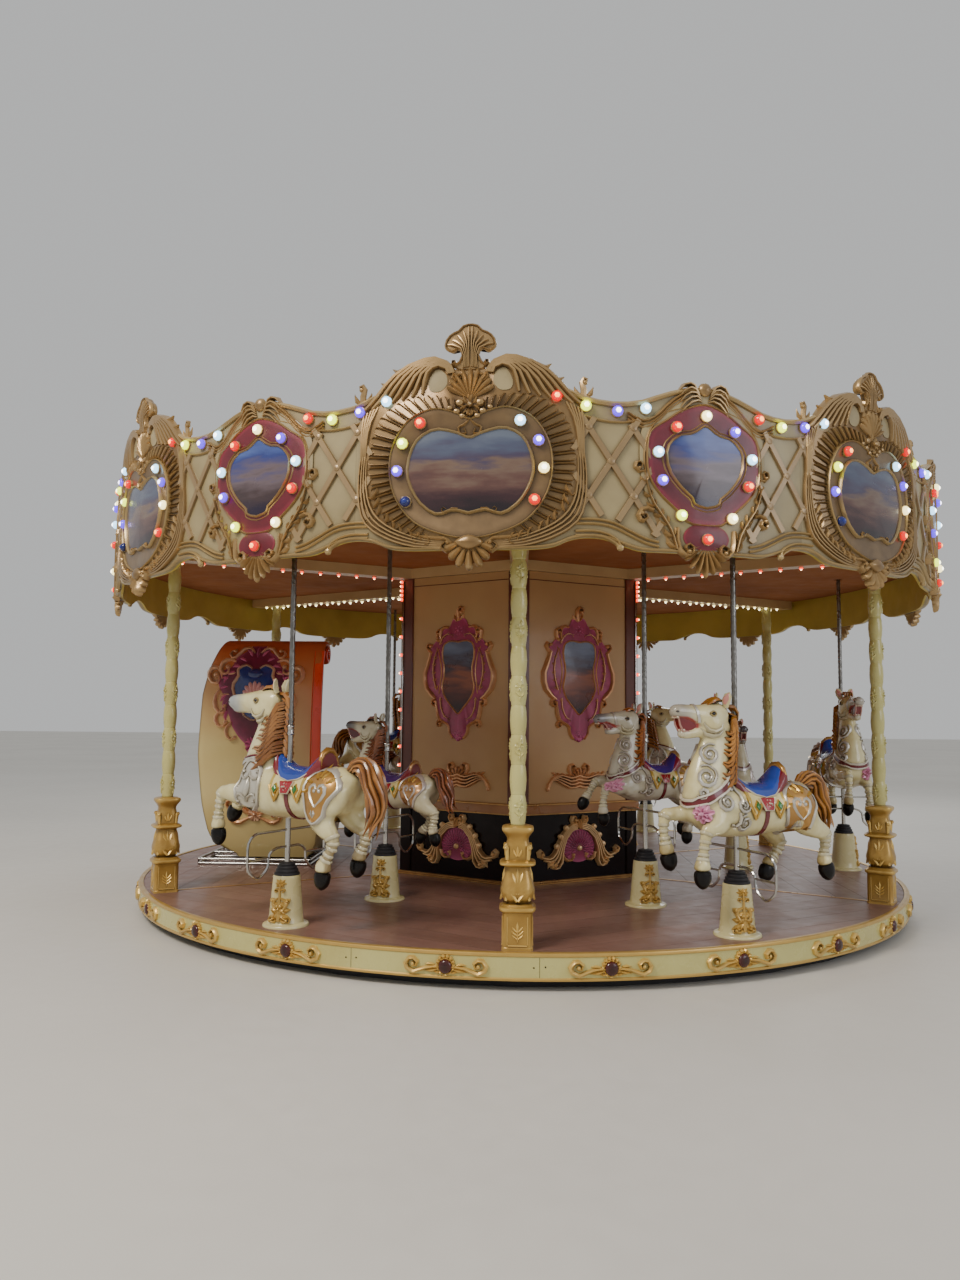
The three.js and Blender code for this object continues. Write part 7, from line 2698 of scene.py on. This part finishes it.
@dataclass
class Studio:
    """The viewpoint at rest, over a plain pale floor and under soft light."""

    eye: tuple = (0.0, -8.163, 1.466)
    yaw: float = -2.37  # angles in degrees
    pitch: float = 4.55
    roll: float = 0.47
    lens: float = 26.445  # millimetres on a 36 mm sensor
    far: float = 60.0  # how far the floor runs

    def camera(self) -> None:
        """Looks along yaw and pitch: ahead = cos p (sin y, cos y, 0) + sin p (0, 0, 1), rolled about it."""
        y, p, r = (math.radians(v) for v in (self.yaw, self.pitch, self.roll))
        ahead = np.array([math.cos(p) * math.sin(y), math.cos(p) * math.cos(y), math.sin(p)])
        right = np.array([math.cos(y), -math.sin(y), 0.0])
        up = np.cross(right, ahead)
        rolled = math.cos(r) * right + math.sin(r) * up
        above = np.cross(rolled, ahead)
        data = bpy.data.cameras.new("viewpoint")
        data.lens, data.sensor_width, data.clip_end = self.lens, 36.0, 200.0
        made = bpy.data.objects.new("viewpoint", data)
        matrix = np.eye(4)
        matrix[:3, 0], matrix[:3, 1], matrix[:3, 2], matrix[:3, 3] = rolled, above, -ahead, self.eye
        made.matrix_world = matrix.T.tolist()
        bpy.context.scene.collection.objects.link(made)
        bpy.context.scene.camera = made

    def floor(self) -> None:
        """A wide pale floor with a faint satin."""
        f = self.far
        mesh = bpy.data.meshes.new("studio_floor")
        mesh.from_pydata([(-f, -f, -0.001), (f, -f, -0.001), (f, f, -0.001), (-f, f, -0.001)], [], [(0, 1, 2, 3)])
        mesh.materials.append(FLOOR_PAINT.material())
        made = bpy.data.objects.new("studio_floor", mesh)
        bpy.context.scene.collection.objects.link(made)

    def light(self, name: str, at: Sequence[float], size: float, power: float, target: Sequence[float],
              tint: str = "#ffffff") -> None:
        """A soft square lamp that faces a point.

        Args:
            name: What it is called.
            at: Where it stands.
            size: Length of its sides.
            power: Its power in watts.
            target: The point it faces.
            tint: Its colour.
        """
        data = bpy.data.lights.new(name, "AREA")
        data.size, data.energy, data.color = size, power, linear(tint)[:3]
        made = bpy.data.objects.new(name, data)
        way = np.asarray(at, float) - np.asarray(target, float)
        z = way / np.linalg.norm(way)
        x = np.cross((0, 0, 1.0), z)
        x = x / np.linalg.norm(x) if np.linalg.norm(x) > 1e-6 else np.array([1.0, 0, 0])
        matrix = np.eye(4)
        matrix[:3, 0], matrix[:3, 1], matrix[:3, 2], matrix[:3, 3] = x, np.cross(z, x), z, at
        made.matrix_world = matrix.T.tolist()
        bpy.context.scene.collection.objects.link(made)

    def build(self) -> None:
        """Camera, floor, an even pale surround and three soft lamps."""
        self.camera()
        self.floor()
        world = bpy.data.worlds.new("studio_air")
        world.use_nodes = True
        ground = world.node_tree.nodes["Background"]
        ground.inputs["Color"].default_value = linear("#dfe0e0")
        ground.inputs["Strength"].default_value = 0.75
        bpy.context.scene.world = world
        self.light("key", (-5.0, -8.0, 8.5), 3.0, 780.0, (0, -1.0, 1.5), "#fff6ea")
        self.light("fill", (8.0, -7.5, 4.5), 5.0, 220.0, (0, 0, 1.5), "#f2f5ff")
        self.light("back", (3.0, 9.0, 7.0), 5.0, 350.0, (0, 0, 2.0))


def main() -> None:
    """Builds the studio and every sub-assembly in order."""
    Studio().build()
    for part in (Deck(), Fascia(), Pillars(), Core(), Canopy(), GuideCones(), Poles(), Herd(), Chariot(), Crown()):
        log.info("building %s", type(part).__name__)
        part.build()


if __name__ == "__main__":
    logging.basicConfig(level=logging.INFO, format="%(message)s")
    main()
